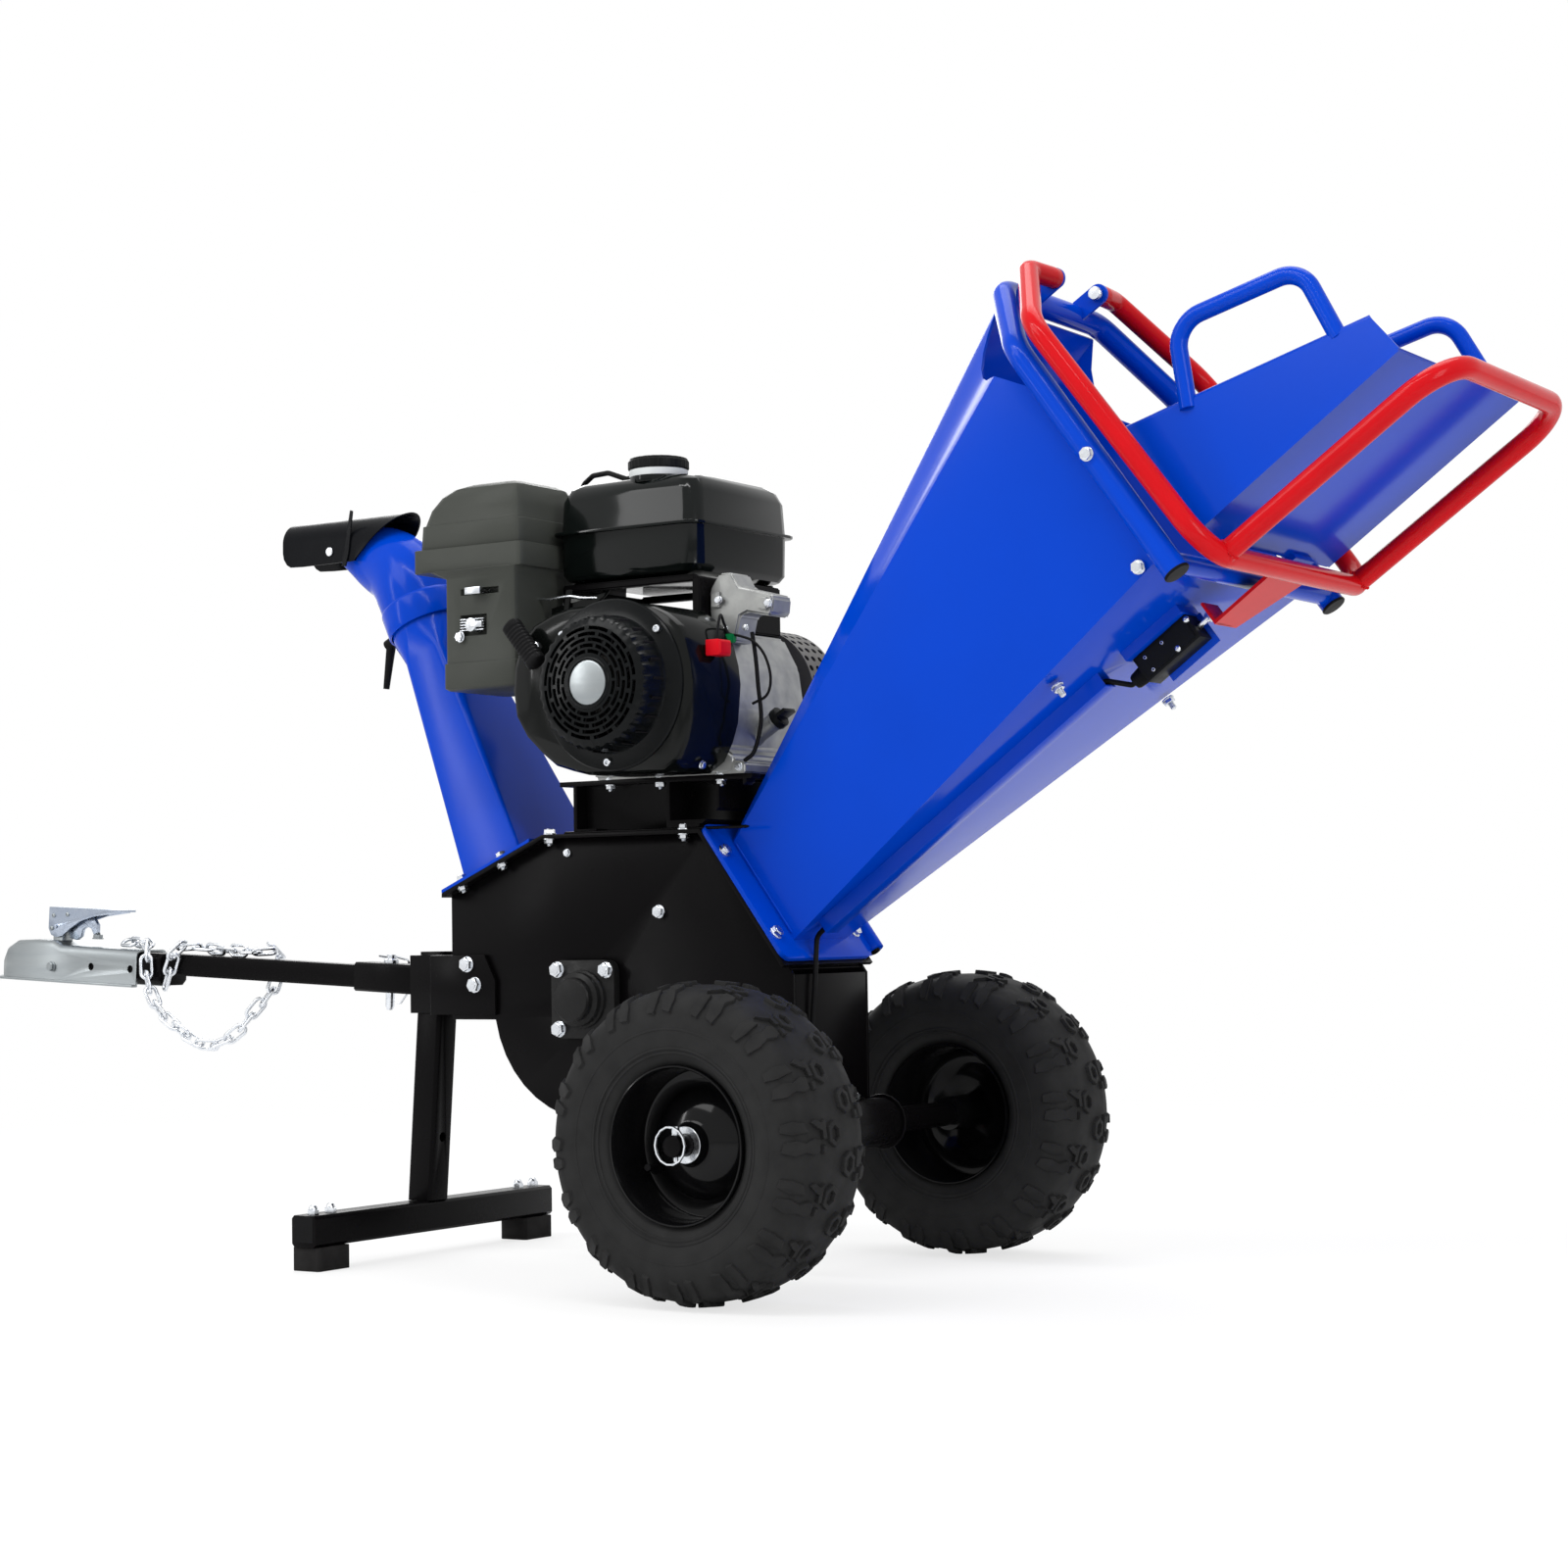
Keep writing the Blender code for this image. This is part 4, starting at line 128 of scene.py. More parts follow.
def pour(bm, extra, name="extra"):
    """Adds one bmesh's faces to another and frees it."""
    mesh = bpy.data.meshes.new(name)
    extra.to_mesh(mesh)
    extra.free()
    bm.from_mesh(mesh)
    bpy.data.meshes.remove(mesh)


# %% [markdown]
# Most shapes here are skins: rows of points joined ring to ring. A lathe is a skin whose rings are
# circles, and a box is Blender's cube moved into place. Writing the points down keeps sizes exact.

# %% Skins, lathes and boxes
def rings_to_faces(bm, rings, closed_path=False, caps=True):
    """Skins rows of points, each row a closed ring."""
    rows = [[bm.verts.new(p) for p in ring] for ring in rings]
    pairs = list(zip(rows, rows[1:])) + ([(rows[-1], rows[0])] if closed_path else [])
    n = len(rows[0])
    for a, b in pairs:
        for k in range(n):
            bm.faces.new((a[k], a[(k + 1) % n], b[(k + 1) % n], b[k]))
    if caps and not closed_path:
        bm.faces.new(rows[0][::-1])
        bm.faces.new(rows[-1])
    return bm


def turns(n):
    """Angles of n even steps round a circle."""
    return [2 * math.pi * k / n for k in range(n)]


def lathe(profile, centre, axis, n=48, bm=None, closed=False):
    """Turns a profile of (radius, height) pairs about an axis through centre."""
    bm = bm or bmesh.new()
    axis = Vector(axis).normalized()
    u = axis.orthogonal().normalized()
    v = axis.cross(u)
    centre = Vector(centre)
    rings = []
    for radius, height in profile:
        r = max(radius, 0.00002)
        rings.append([centre + axis * height + (u * math.cos(t) + v * math.sin(t)) * r
                      for t in turns(n)])
    return rings_to_faces(bm, rings, closed_path=closed, caps=not closed)


def block(bm, low, high, turn=None):
    """A box with its corners at two points, then moved by a matrix."""
    made = bmesh.ops.create_cube(bm, size=1)["verts"]
    low = Vector(low)
    high = Vector(high)
    for v in made:
        v.co = Vector([low[k] + (v.co[k] + 0.5) * (high[k] - low[k]) for k in range(3)])
    if turn is not None:
        bmesh.ops.transform(bm, matrix=turn, verts=made)
    return made


def round_edges(bm, offset, segments=2):
    """Rounds off every edge of a bmesh."""
    bmesh.ops.bevel(bm, geom=bm.edges[:], offset=offset, segments=segments, affect="EDGES")


# %% [markdown]
# Bars, rods and hoses follow a line. It runs smoothly through its points, and the tube carries one
# frame along it, turned as little as possible, so that its sides don't twist.

# %% Lines and tubes
def curve_path(points, steps=8):
    """A smooth line through the given points."""
    p = [Vector(q) for q in points]
    p = [2 * p[0] - p[1]] + p + [2 * p[-1] - p[-2]]
    out = []
    for i in range(1, len(p) - 2):
        for k in range(steps):
            t = k / steps
            out.append(0.5 * ((2 * p[i]) + (p[i + 1] - p[i - 1]) * t
                              + (2 * p[i - 1] - 5 * p[i] + 4 * p[i + 1] - p[i + 2]) * t * t
                              + (3 * p[i] - p[i - 1] - 3 * p[i + 1] + p[i + 2]) * t ** 3))
    return out + [p[-2]]


def tube(bm, path, radius, n=12, closed=False):
    """A round tube along a line of points; radius is a number or one per point."""
    frames = []
    ref = None
    m = len(path)
    for i, c in enumerate(path):
        a = path[(i - 1) % m] if closed or i > 0 else c
        b = path[(i + 1) % m] if closed or i < m - 1 else c
        t = (b - a).normalized()
        ref = t.orthogonal().normalized() if ref is None else (ref - t * ref.dot(t)).normalized()
        frames.append((c, ref, t.cross(ref)))
    rings = []
    for i, (c, u, v) in enumerate(frames):
        r = radius[i] if isinstance(radius, (list, tuple)) else radius
        rings.append([c + (u * math.cos(s) + v * math.sin(s)) * r
                      for s in turns(n)])
    return rings_to_faces(bm, rings, closed_path=closed, caps=not closed)


# %% [markdown]
# ## Finishes
# Every surface here is a real industrial finish, so each gets a small node material: a base colour,
# a slow change of tone, a fine grain that bends the light, and a roughness that varies a little.
# Patterns read Object coordinates, so their scale is in metres and they stay put when a part moves.
# The white world lifts every dark gloss, so non-metals have a specular level far below the usual 0.5.

# %% Colour and node helpers
def linear(code):
    """A linear colour from an sRGB hex value."""
    parts = [int(code[i:i + 2], 16) / 255 for i in (0, 2, 4)]
    return [c / 12.92 if c <= 0.04045 else ((c + 0.055) / 1.055) ** 2.4 for c in parts] + [1.0]


def add(tree, kind, values=(), links=(), **settings):
    """Adds one node with its settings, its socket values and the links into it."""
    made = tree.nodes.new(kind)
    for key, value in settings.items():
        setattr(made, key, value)
    for key, value in dict(values).items():
        made.inputs[key].default_value = value
    for key, source in dict(links).items():
        tree.links.new(source, made.inputs[key])
    return made


def surface(name, code, rough, metal=0.0, grain_mm=0.8, bump_mm=0.02, shade=0.12, patch_mm=60,
            rough_swing=0.08, coat=0.0, stretch=(1, 1, 1), tone="000000", glint=0.05):
    """A finish with slow patches of tone, fine grain in relief and uneven gloss."""
    mat = bpy.data.materials.new(name)
    mat.use_nodes = True
    tree = mat.node_tree
    shader = tree.nodes["Principled BSDF"]
    shader.inputs["Metallic"].default_value = metal
    shader.inputs["Coat Weight"].default_value = coat
    shader.inputs["Coat Roughness"].default_value = 0.06
    shader.inputs["Specular IOR Level"].default_value = 0.5 if metal else glint
    spot = add(tree, "ShaderNodeTexCoord").outputs["Object"]
    if stretch != (1, 1, 1):
        spot = add(tree, "ShaderNodeMapping", {"Scale": stretch}, {"Vector": spot}).outputs[0]
    patch = add(tree, "ShaderNodeTexNoise", {"Scale": 1000 / patch_mm, "Detail": 4.0}, {"Vector": spot})
    grain = add(tree, "ShaderNodeTexNoise", {"Scale": 1000 / grain_mm, "Detail": 2.0}, {"Vector": spot})
    tint = add(tree, "ShaderNodeMix", {6: linear(code), 7: linear(tone)}, data_type="RGBA")
    ease = add(tree, "ShaderNodeMapRange", {"From Min": 0.35, "From Max": 0.75, "To Min": 0.0, "To Max": shade},
               {"Value": patch.outputs["Fac"]})
    tree.links.new(ease.outputs[0], tint.inputs[0])
    tree.links.new(tint.outputs[2], shader.inputs["Base Color"])
    gloss = add(tree, "ShaderNodeMapRange",
                {"From Min": 0.3, "From Max": 0.7, "To Min": rough - rough_swing, "To Max": rough + rough_swing},
                {"Value": patch.outputs["Fac"]})
    tree.links.new(gloss.outputs[0], shader.inputs["Roughness"])
    bump = add(tree, "ShaderNodeBump", {"Strength": 0.6, "Distance": bump_mm / 1000},
               {"Height": grain.outputs["Fac"]})
    tree.links.new(bump.outputs["Normal"], shader.inputs["Normal"])
    return mat


print("mid grey, 808080, is", round(linear("808080")[0], 3), "in linear light")

# %% [markdown]
# ### Paints
# The blue parts are gloss powder coat: deep colour, a soft orange peel a few millimetres wide and a
# clear reflection. The frame is the same process in satin black. The rims are a harder gloss black.

# %% Paints
blue_paint = surface("gloss blue powder coat", "003CB6", 0.15, grain_mm=6.0, bump_mm=0.012, shade=0.1,
                     patch_mm=180, rough_swing=0.03, tone="00246E", glint=0.09)
frame_paint = surface("satin black powder coat", "0A090A", 0.27, grain_mm=4.0, bump_mm=0.02, shade=0.25,
                      patch_mm=90, rough_swing=0.05)
body_paint = surface("satin brown-black powder coat", "070607", 0.3, grain_mm=3.0, bump_mm=0.04, shade=0.25,
                     patch_mm=120, rough_swing=0.06)
rim_paint = surface("gloss black enamel", "0C0C0D", 0.14, grain_mm=6.0, bump_mm=0.02, shade=0.2, patch_mm=60,
                    rough_swing=0.03, coat=0.12, glint=0.1)
shroud_paint = surface("gloss black stoved enamel", "080A09", 0.17, grain_mm=5.0, bump_mm=0.03, shade=0.15,
                       patch_mm=70, rough_swing=0.04, coat=0.1, glint=0.1)
tank_paint = surface("deep black gloss paint", "070B0A", 0.12, grain_mm=7.0, bump_mm=0.015, shade=0.1,
                     patch_mm=90, rough_swing=0.02, coat=0.15, glint=0.12)
red_paint = surface("signal red powder coat", "BE0E16", 0.15, grain_mm=6.0, bump_mm=0.012, shade=0.12, patch_mm=80,
                    rough_swing=0.03, tone="500006", glint=0.1)
guard_paint = surface("satin grey heat paint", "5A5855", 0.4, metal=0.35, grain_mm=1.2, bump_mm=0.03, shade=0.2,
                      patch_mm=40, rough_swing=0.06)
# This matt black also paints the fan blades and disc, where it is painted shade for the dark behind the recoil slots.
muffler_black_and_fan_shade = surface("matt heat-proof black and painted fan shade", "161517", 0.62, grain_mm=0.8, bump_mm=0.05, shade=0.3,
                        patch_mm=30)
print(len(bpy.data.materials), "materials so far")

# %% [markdown]
# ### Bare and plated metals
# Fasteners and the chain are bright zinc plate, the coupler is pressed sheet with a dull zinc coat
# that shows faint rolling streaks, the engine block is sand-cast aluminium with a pebbled skin, and
# the knives and the drum are plain steel.

# %% Metals
zinc = surface("bright zinc plate", "D9DCE0", 0.24, metal=1.0, grain_mm=1.5, bump_mm=0.01, shade=0.25, patch_mm=8,
               tone="7C8796")
dull_zinc = surface("dull zinc-coated sheet", "959A9C", 0.38, metal=1.0, grain_mm=2.0, bump_mm=0.02, shade=0.35,
                    patch_mm=30, stretch=(0.25, 1, 2.5), tone="6E7478")
blue_zinc = surface("blue zinc plate", "A9B2C0", 0.28, metal=1.0, grain_mm=1.5, bump_mm=0.01, shade=0.3,
                    patch_mm=12, tone="5B6B86")
steel = surface("ground tool steel", "A8A9AB", 0.26, metal=1.0, grain_mm=0.8, bump_mm=0.02, shade=0.2, patch_mm=20,
                stretch=(1, 0.15, 1), tone="5A5B5E")
drum_steel = surface("mill-scale steel", "4A4846", 0.45, metal=0.8, grain_mm=1.5, bump_mm=0.05, shade=0.4,
                     patch_mm=25, tone="1C1A19")
cast_alloy = surface("sand-cast aluminium", "999A98", 0.46, metal=0.85, grain_mm=1.1, bump_mm=0.12, shade=0.3,
                     patch_mm=22, tone="55575A")
cast_black = surface("black-painted cast iron", "1B1B1B", 0.36, grain_mm=2.2, bump_mm=0.25, shade=0.3, patch_mm=18,
                     glint=0.12)
print(len(bpy.data.materials), "materials so far")

# %% [markdown]
# ### Rubber and plastics
# The tyres are carbon-black rubber with a slight bloom, so they read as dark grey and not as black.
# Covers and caps are moulded plastic with a fine spark texture; the grips and levers are smoother.

# %% Rubber and plastics
tyre_rubber = surface("carbon-black tyre rubber", "272727", 0.58, grain_mm=1.2, bump_mm=0.06, shade=0.3,
                      patch_mm=25, tone="121213")
pad_rubber = surface("moulded pad rubber", "232222", 0.66, grain_mm=1.0, bump_mm=0.05, shade=0.3, patch_mm=20)
belt_rubber = surface("belt rubber with fabric face", "1A1A1B", 0.72, grain_mm=0.7, bump_mm=0.05, shade=0.3,
                      patch_mm=10)
cover_plastic = surface("spark-textured grey plastic", "3C3E3A", 0.42, grain_mm=0.7, bump_mm=0.05, shade=0.12,
                        patch_mm=80, rough_swing=0.04, glint=0.1)
grille_plastic = surface("gloss black moulded plastic", "0A0C0D", 0.22, grain_mm=5.0, bump_mm=0.02, shade=0.1,
                         patch_mm=40, rough_swing=0.04, glint=0.1)
grip_plastic = surface("matt black moulded plastic", "131314", 0.42, grain_mm=0.8, bump_mm=0.04, shade=0.15,
                       patch_mm=30)
hood_paint = surface("semi-gloss black hood paint", "0B0C0F", 0.28, grain_mm=3.0, bump_mm=0.04, shade=0.2,
                     patch_mm=50, rough_swing=0.05)
cap_plastic = surface("ribbed cap plastic", "191A1A", 0.38, grain_mm=0.8, bump_mm=0.04, shade=0.15, patch_mm=20)
pale_plastic = surface("natural nylon", "C9CCCC", 0.4, grain_mm=1.5, bump_mm=0.03, shade=0.1, patch_mm=20,
                       tone="8D9494")
switch_red = surface("red moulded plastic", "C00F1C", 0.34, grain_mm=0.9, bump_mm=0.03, shade=0.12, patch_mm=12,
                     tone="4A0008")
switch_black = surface("black glass-filled plastic", "17181A", 0.4, grain_mm=0.7, bump_mm=0.04, shade=0.15,
                       patch_mm=15)
cable_pvc = surface("black PVC sheath", "131314", 0.4, grain_mm=2.0, bump_mm=0.02, shade=0.15, patch_mm=20)
hose_rubber = surface("black fuel-hose rubber", "161616", 0.46, grain_mm=1.0, bump_mm=0.03, shade=0.2, patch_mm=20)
print(len(bpy.data.materials), "materials")

# %% [markdown]
# ## Floor and light
# A product photograph is lit by large soft sources, so glossy paint shows broad white shapes. Six area
# lamps, two of them narrow strips, and a pale world do that here. Camera, glossy and transmission rays
# see the world at full white; diffuse light gets less of it. The floor keeps the shadow and stays plain.

# %% Floor
def pale_ground():
    """A matt pale floor that the camera sees as white where no shadow falls."""
    mat = bpy.data.materials.new("matt pale floor")
    mat.use_nodes = True
    tree = mat.node_tree
    shader = tree.nodes["Principled BSDF"]
    shader.inputs["Base Color"].default_value = linear("F4F4F4")
    shader.inputs["Roughness"].default_value = 0.9
    place_on = add(tree, "ShaderNodeTexCoord").outputs["Object"]
    away = add(tree, "ShaderNodeVectorMath", links={0: place_on}, operation="LENGTH").outputs["Value"]
    fade = add(tree, "ShaderNodeMapRange", {"From Min": 1.2, "From Max": 3.4, "To Min": 0.72, "To Max": 1.0},
               {"Value": away}).outputs[0]
    ray = add(tree, "ShaderNodeLightPath").outputs["Is Camera Ray"]
    share = add(tree, "ShaderNodeMath", links={0: fade, 1: ray}, operation="MULTIPLY").outputs[0]
    white = add(tree, "ShaderNodeEmission", {"Color": (1, 1, 1, 1), "Strength": 1.0}).outputs[0]
    both = add(tree, "ShaderNodeMixShader", links={0: share, 1: shader.outputs[0], 2: white}).outputs[0]
    tree.links.new(both, tree.nodes["Material Output"].inputs[0])
    return mat


floor_mesh = bpy.data.meshes.new("floor")
HALF_FLOOR = 14.0
floor_mesh.from_pydata([(-HALF_FLOOR, -HALF_FLOOR, -0.0005), (HALF_FLOOR, -HALF_FLOOR, -0.0005),
                        (HALF_FLOOR, HALF_FLOOR, -0.0005), (-HALF_FLOOR, HALF_FLOOR, -0.0005)], [], [(0, 1, 2, 3)])
floor_mesh.materials.append(pale_ground())
floor = new_object("floor", floor_mesh)
print("floor", 2 * HALF_FLOOR, "m square")

# %% [markdown]
# The world is plain white. Its strength is 1 for camera, glossy and transmission rays, so gloss and
# metal mirror a white room, and 0.62 for diffuse light, so that the paints keep their colour.

# %% World
world = bpy.data.worlds.new("studio")
bpy.context.scene.world = world
world.use_nodes = True
sky = world.node_tree
ray = add(sky, "ShaderNodeLightPath")
clear = add(sky, "ShaderNodeMath", links={0: ray.outputs["Is Camera Ray"], 1: ray.outputs["Is Transmission Ray"]},
            operation="MAXIMUM")
seen = add(sky, "ShaderNodeMath", links={0: clear.outputs[0], 1: ray.outputs["Is Glossy Ray"]}, operation="MAXIMUM")
lit = add(sky, "ShaderNodeMapRange", {"To Min": 0.62, "To Max": 1.0}, {"Value": seen.outputs[0]})
sky.links.new(lit.outputs[0], sky.nodes["Background"].inputs["Strength"])
sky.nodes["Background"].inputs["Color"].default_value = (1, 1, 1, 1)
print("world", len(sky.nodes), "nodes")


# %% [markdown]
# Each lamp is an area light that faces a point. Its size matters as much as its power: a broad one
# gives a soft sheen, and a narrow one gives the bright line along a fold.

# %% Lamps
def lamp(name, spot, aim, size, watts):
    """A rectangular soft box that looks at a point."""
    data = bpy.data.lights.new(name, "AREA")
    data.shape = "RECTANGLE"
    data.size, data.size_y = size
    data.energy = watts
    obj = new_object(name, data)
    obj.location = spot
    obj.rotation_euler = (Vector(aim) - Vector(spot)).to_track_quat("-Z", "Y").to_euler()
    return obj


lamp("key softbox", (-1.6, -3.4, 3.6), (0.2, 0, 0.5), (2.6, 1.8), 75)
lamp("strip light", (0.4, -1.9, 3.4), (0.3, 0, 0.6), (2.8, 0.22), 34)
lamp("low strip light", (-2.6, -2.6, 1.6), (-0.2, 0, 0.5), (0.2, 1.8), 16)
lamp("side softbox", (4.2, -1.8, 2.2), (0.3, 0, 0.6), (1.2, 2.4), 60)
lamp("top softbox", (0.2, 0.8, 4.2), (0.2, 0, 0.5), (3.0, 2.0), 60)
lamp("back softbox", (-3.0, 3.2, 2.6), (0.0, 0, 0.6), (2.2, 2.0), 50)
bpy.context.scene.view_settings.view_transform = "Standard"
print(len(bpy.data.lights), "lamps")

# %% [markdown]
# ## Cords first
# Two real cords show: the lead of the safety switch, which runs in a channel under the hopper and
# ends at a socket on the rear wall, and the short vent hose of the fuel tank. Both are tubes of a
# known length along one smooth line, so the frame can measure them. The lead swings with the hopper
# and is unplugged when the hopper opens, so it rides on that body whole.

# %% Rounded paths
def rounded(points, radii, steps=5):
    """A line through corner points with each inner corner turned into an arc."""
    pts = [Vector(p) for p in points]
    out = []
    for i, p in enumerate(pts):
        if i in (0, len(pts) - 1) or radii[i] == 0:
            out.append(p)
            continue
        a = (pts[i - 1] - p).normalized()
        b = (pts[i + 1] - p).normalized()
        half = a.angle(b) / 2
        reach = radii[i] / math.tan(half)
        centre = p + (a + b).normalized() * (radii[i] / math.sin(half))
        s = p + a * reach - centre
        e = p + b * reach - centre
        turn = s.angle(e)
        for k in range(steps + 1):
            t = k / steps
            out.append(centre + (s * math.sin((1 - t) * turn) + e * math.sin(t * turn)) / math.sin(turn))
    return out


def length_of(path):
    """Length of a line of points."""
    return sum((b - a).length for a, b in zip(path, path[1:]))


corner = rounded([(1, 0, 0), (0, 0, 0), (0, 1, 0)], [0, 0.1, 0])
print("two metres round a 100 mm corner are", round(length_of(corner), 3), "m")

# %% [markdown]
# ### Switch lead
# A round black sheath leaves the switch's gland, follows the channel and ends in a small plug. A curve
# with a bevel would look the same, but a tube skinned along the measured line has closed ends.

# %% Switch lead and its plug
SWITCH_Y = -0.0325
SWITCH_V = 0.3165
REAR_X = -0.019
LEAD_R = 0.0032
lead_low = hop(0.23, -0.039, 0.34)
lead_path = rounded([hop(0.7417, SWITCH_Y, SWITCH_V), hop(0.737, SWITCH_Y, SWITCH_V),
                     hop(0.718, -0.0455, 0.3375), hop(0.25, -0.039, 0.342), lead_low,
                     AXLE + Vector((REAR_X + 0.0068, -0.048, lead_low.z - 0.06)),
                     at(REAR_X + 0.004, -0.058, 0.255), at(REAR_X + 0.004, -0.058, 0.236)],
                    [0, 0.004, 0.01, 0.03, 0.012, 0.05, 0.01, 0], 6)
lead = piece("switch_lead", tube(bmesh.new(), lead_path, LEAD_R, 12), cable_pvc, "hopper",
             60, ["switch_cable"])
plug_top = at(REAR_X + 0.004, -0.058, 0.25)
plug = piece("switch_lead_plug", lathe([(0.0033, 0), (0.004, -0.001), (0.004, -0.012), (0.0034, -0.0128),
                                        (0.0034, -0.0138), (0.0036, -0.0145)],
                                       plug_top, (0, 0, 1), 20), switch_black, "hopper")
print("switch lead", round(length_of(lead_path), 3), "m")

# %% [markdown]
# ### Vent hose
# A short rubber hose arches from the air cleaner to the tank's cap. It is made as the lead is, from
# corner points with arcs between them.

# %% Tank vent hose
HOSE_R = 0.0034
CLEANER_SIDE = -0.0282
hose_path = rounded([at(-0.378, CLEANER_SIDE, 0.891), at(-0.378, CLEANER_SIDE + 0.0085, 0.891),
                     at(-0.371, CLEANER_SIDE + 0.008, 0.992), at(-0.345, -0.032, 1.001),
                     at(-0.312, -0.044, 1.0), at(-0.275, -0.056, 0.9872), at(-0.2606, -0.058, 0.9872)],
                    [0, 0.006, 0.014, 0.02, 0.03, 0.01, 0], 6)
hose = piece("tank_vent_hose", tube(bmesh.new(), hose_path, HOSE_R, 12), hose_rubber, "machine",
             60, ["fuel_vent_hose"])
print("vent hose", round(length_of(hose_path), 3), "m")

# %% [markdown]
# ## Paint and edges for the plain solids
# The solids arrive as loose triangles with razor edges. Real sheet and castings have a small radius
# that catches light, so each gets a chain of live modifiers: weld the triangles, dissolve the flat
# ones, bevel the sharp edges by under a millimetre, and shade smooth below a limit angle.

# %% Smooth-by-angle tree
def sockets(tree, wanted):
    """Names the inputs of a tree, with a geometry going in and out."""
    tree.interface.new_socket("Geometry", in_out="INPUT", socket_type="NodeSocketGeometry")
    for name, kind in wanted:
        tree.interface.new_socket(name, in_out="INPUT", socket_type=kind)
    tree.interface.new_socket("Geometry", in_out="OUTPUT", socket_type="NodeSocketGeometry")
    return add(tree, "NodeGroupInput"), add(tree, "NodeGroupOutput")


def smoothing_tree():
    """Shades smooth, but keeps edges sharper than an angle."""
    tree = bpy.data.node_groups.new("smooth below angle", "GeometryNodeTree")
    start, end = sockets(tree, [("Angle", "NodeSocketFloat")])
    soft = add(tree, "GeometryNodeSetShadeSmooth", {"Shade Smooth": True}, {"Geometry": start.outputs["Geometry"]})
    fold = add(tree, "GeometryNodeInputMeshEdgeAngle")
    keen = add(tree, "FunctionNodeCompare", links={"A": fold.outputs["Unsigned Angle"], "B": start.outputs["Angle"]},
               data_type="FLOAT", operation="GREATER_THAN")
    hard = add(tree, "GeometryNodeSetShadeSmooth", {"Shade Smooth": False},
               {"Geometry": soft.outputs[0], "Selection": keen.outputs[0]}, domain="EDGE")
    tree.links.new(hard.outputs[0], end.inputs[0])
    return tree


SMOOTH = smoothing_tree()
ANGLE_SOCKET = next(s.identifier for s in SMOOTH.interface.items_tree if s.name == "Angle")
print("the angle input is", ANGLE_SOCKET)


def dress(node, look, edge_mm=0.7, angle=32):
    """Gives a solid its finish and its soft edges."""
    obj = NODES[node]
    for k in range(max(1, len(obj.material_slots))):
        if len(obj.material_slots) <= k:
            obj.data.materials.append(look)
        obj.material_slots[k].link = "OBJECT"
        obj.material_slots[k].material = look
    obj.modifiers.new("weld", "WELD").merge_threshold = 0.00001
    if edge_mm:
        flat = obj.modifiers.new("flat faces", "DECIMATE")
        flat.decimate_type = "DISSOLVE"
        flat.angle_limit = math.radians(0.4)
        edge = obj.modifiers.new("edge", "BEVEL")
        edge.width = edge_mm / 1000
        edge.segments = 2
        edge.limit_method = "ANGLE"
        edge.angle_limit = math.radians(40)
    shade = obj.modifiers.new("shade", "NODES")
    shade.node_group = SMOOTH
    shade[ANGLE_SOCKET] = math.radians(angle)


# %% [markdown]
# Each solid has one finish. A table from finish to solids is quicker to check against the machine
# than sixty separate lines. Round, thin and finely cut solids keep their edges as they come.

# %% Finishes by node
DRESS = {
    body_paint: ["housing_side_near", "housing_side_far", "housing_scroll", "rear_wall"],
    frame_paint: ["top_deck", "axle_beam", "engine_riser", "support_leg", "foot_bar", "tongue_bracket",
                  "receiver_tube", "tow_tube"],
    blue_paint: ["chute_duct", "chute_elbow", "feed_hopper", "mouth_frame", "feed_tray"],
    red_paint: ["safety_bar"],
    hood_paint: ["deflector_hood"],
    shroud_paint: ["fan_shroud"],
    tank_paint: ["fuel_tank"],
    cast_alloy: ["crankcase", "cylinder_head"],
    cast_black: ["bearing_near", "bearing_far", "drum_pulley", "clutch_pulley"],
    cover_plastic: ["air_cleaner_cover", "air_cleaner_base"],
    cap_plastic: ["fuel_cap", "oil_filler_cap"],
    grip_plastic: ["chute_clamp_lever"],
    grille_plastic: ["recoil_cover", "recoil_handle"],
    muffler_black_and_fan_shade: ["muffler"],
    guard_paint: ["belt_guard"],
    rim_paint: ["rim_near", "rim_far"],
    tyre_rubber: ["tyre_near", "tyre_far"],
    pad_rubber: ["foot_pad_near", "foot_pad_far"],
    belt_rubber: ["drive_belt"],
    steel: ["drum_knife_a", "drum_knife_b", "bed_knife"],
    drum_steel: ["drum_rotor"],
    zinc: ["lynch_pin_near", "lynch_pin_far", "hitch_pin", "switch_plunger", "choke_lever", "fuel_valve_lever",
           "safety_chain"],
    dull_zinc: ["coupler_body"],
    blue_zinc: ["coupler_latch"],
    switch_red: ["engine_switch"],
    switch_black: ["limit_switch"],
}
PLAIN_EDGE = {"tyre_near", "tyre_far", "rim_near", "rim_far", "safety_chain", "lynch_pin_near", "lynch_pin_far",
              "hitch_pin", "recoil_cover", "chute_elbow", "drive_belt", "drum_pulley", "clutch_pulley", "fan_shroud",
              "belt_guard"}
for look, names in DRESS.items():
    for name in names:
        dress(name, look, 0 if name in PLAIN_EDGE else 0.7)
print(sum(len(v) for v in DRESS.values()), "solids dressed")

# %% [markdown]
# ## Repeated parts
# Tread lugs, fan blades, chain links and screws repeat many times, so each is modelled once and set out
# by a small geometry-node tree. A tree ends in real copies with their material, and its result is
# turned into a plain mesh, so nothing live is left on the piece.

# %% Running a tree
def set_out(source, tree, inputs):
    """Runs a tree on an object and returns the result as a plain mesh."""
    live = source.modifiers.new("set out", "NODES")
    live.node_group = tree
    for socket in tree.interface.items_tree:
        if socket.name in inputs:
            live[socket.identifier] = inputs[socket.name]
    bpy.context.view_layer.update()
    graph = bpy.context.evaluated_depsgraph_get()
    mesh = bpy.data.meshes.new_from_object(source.evaluated_get(graph), depsgraph=graph)
    source.modifiers.clear()
    return mesh


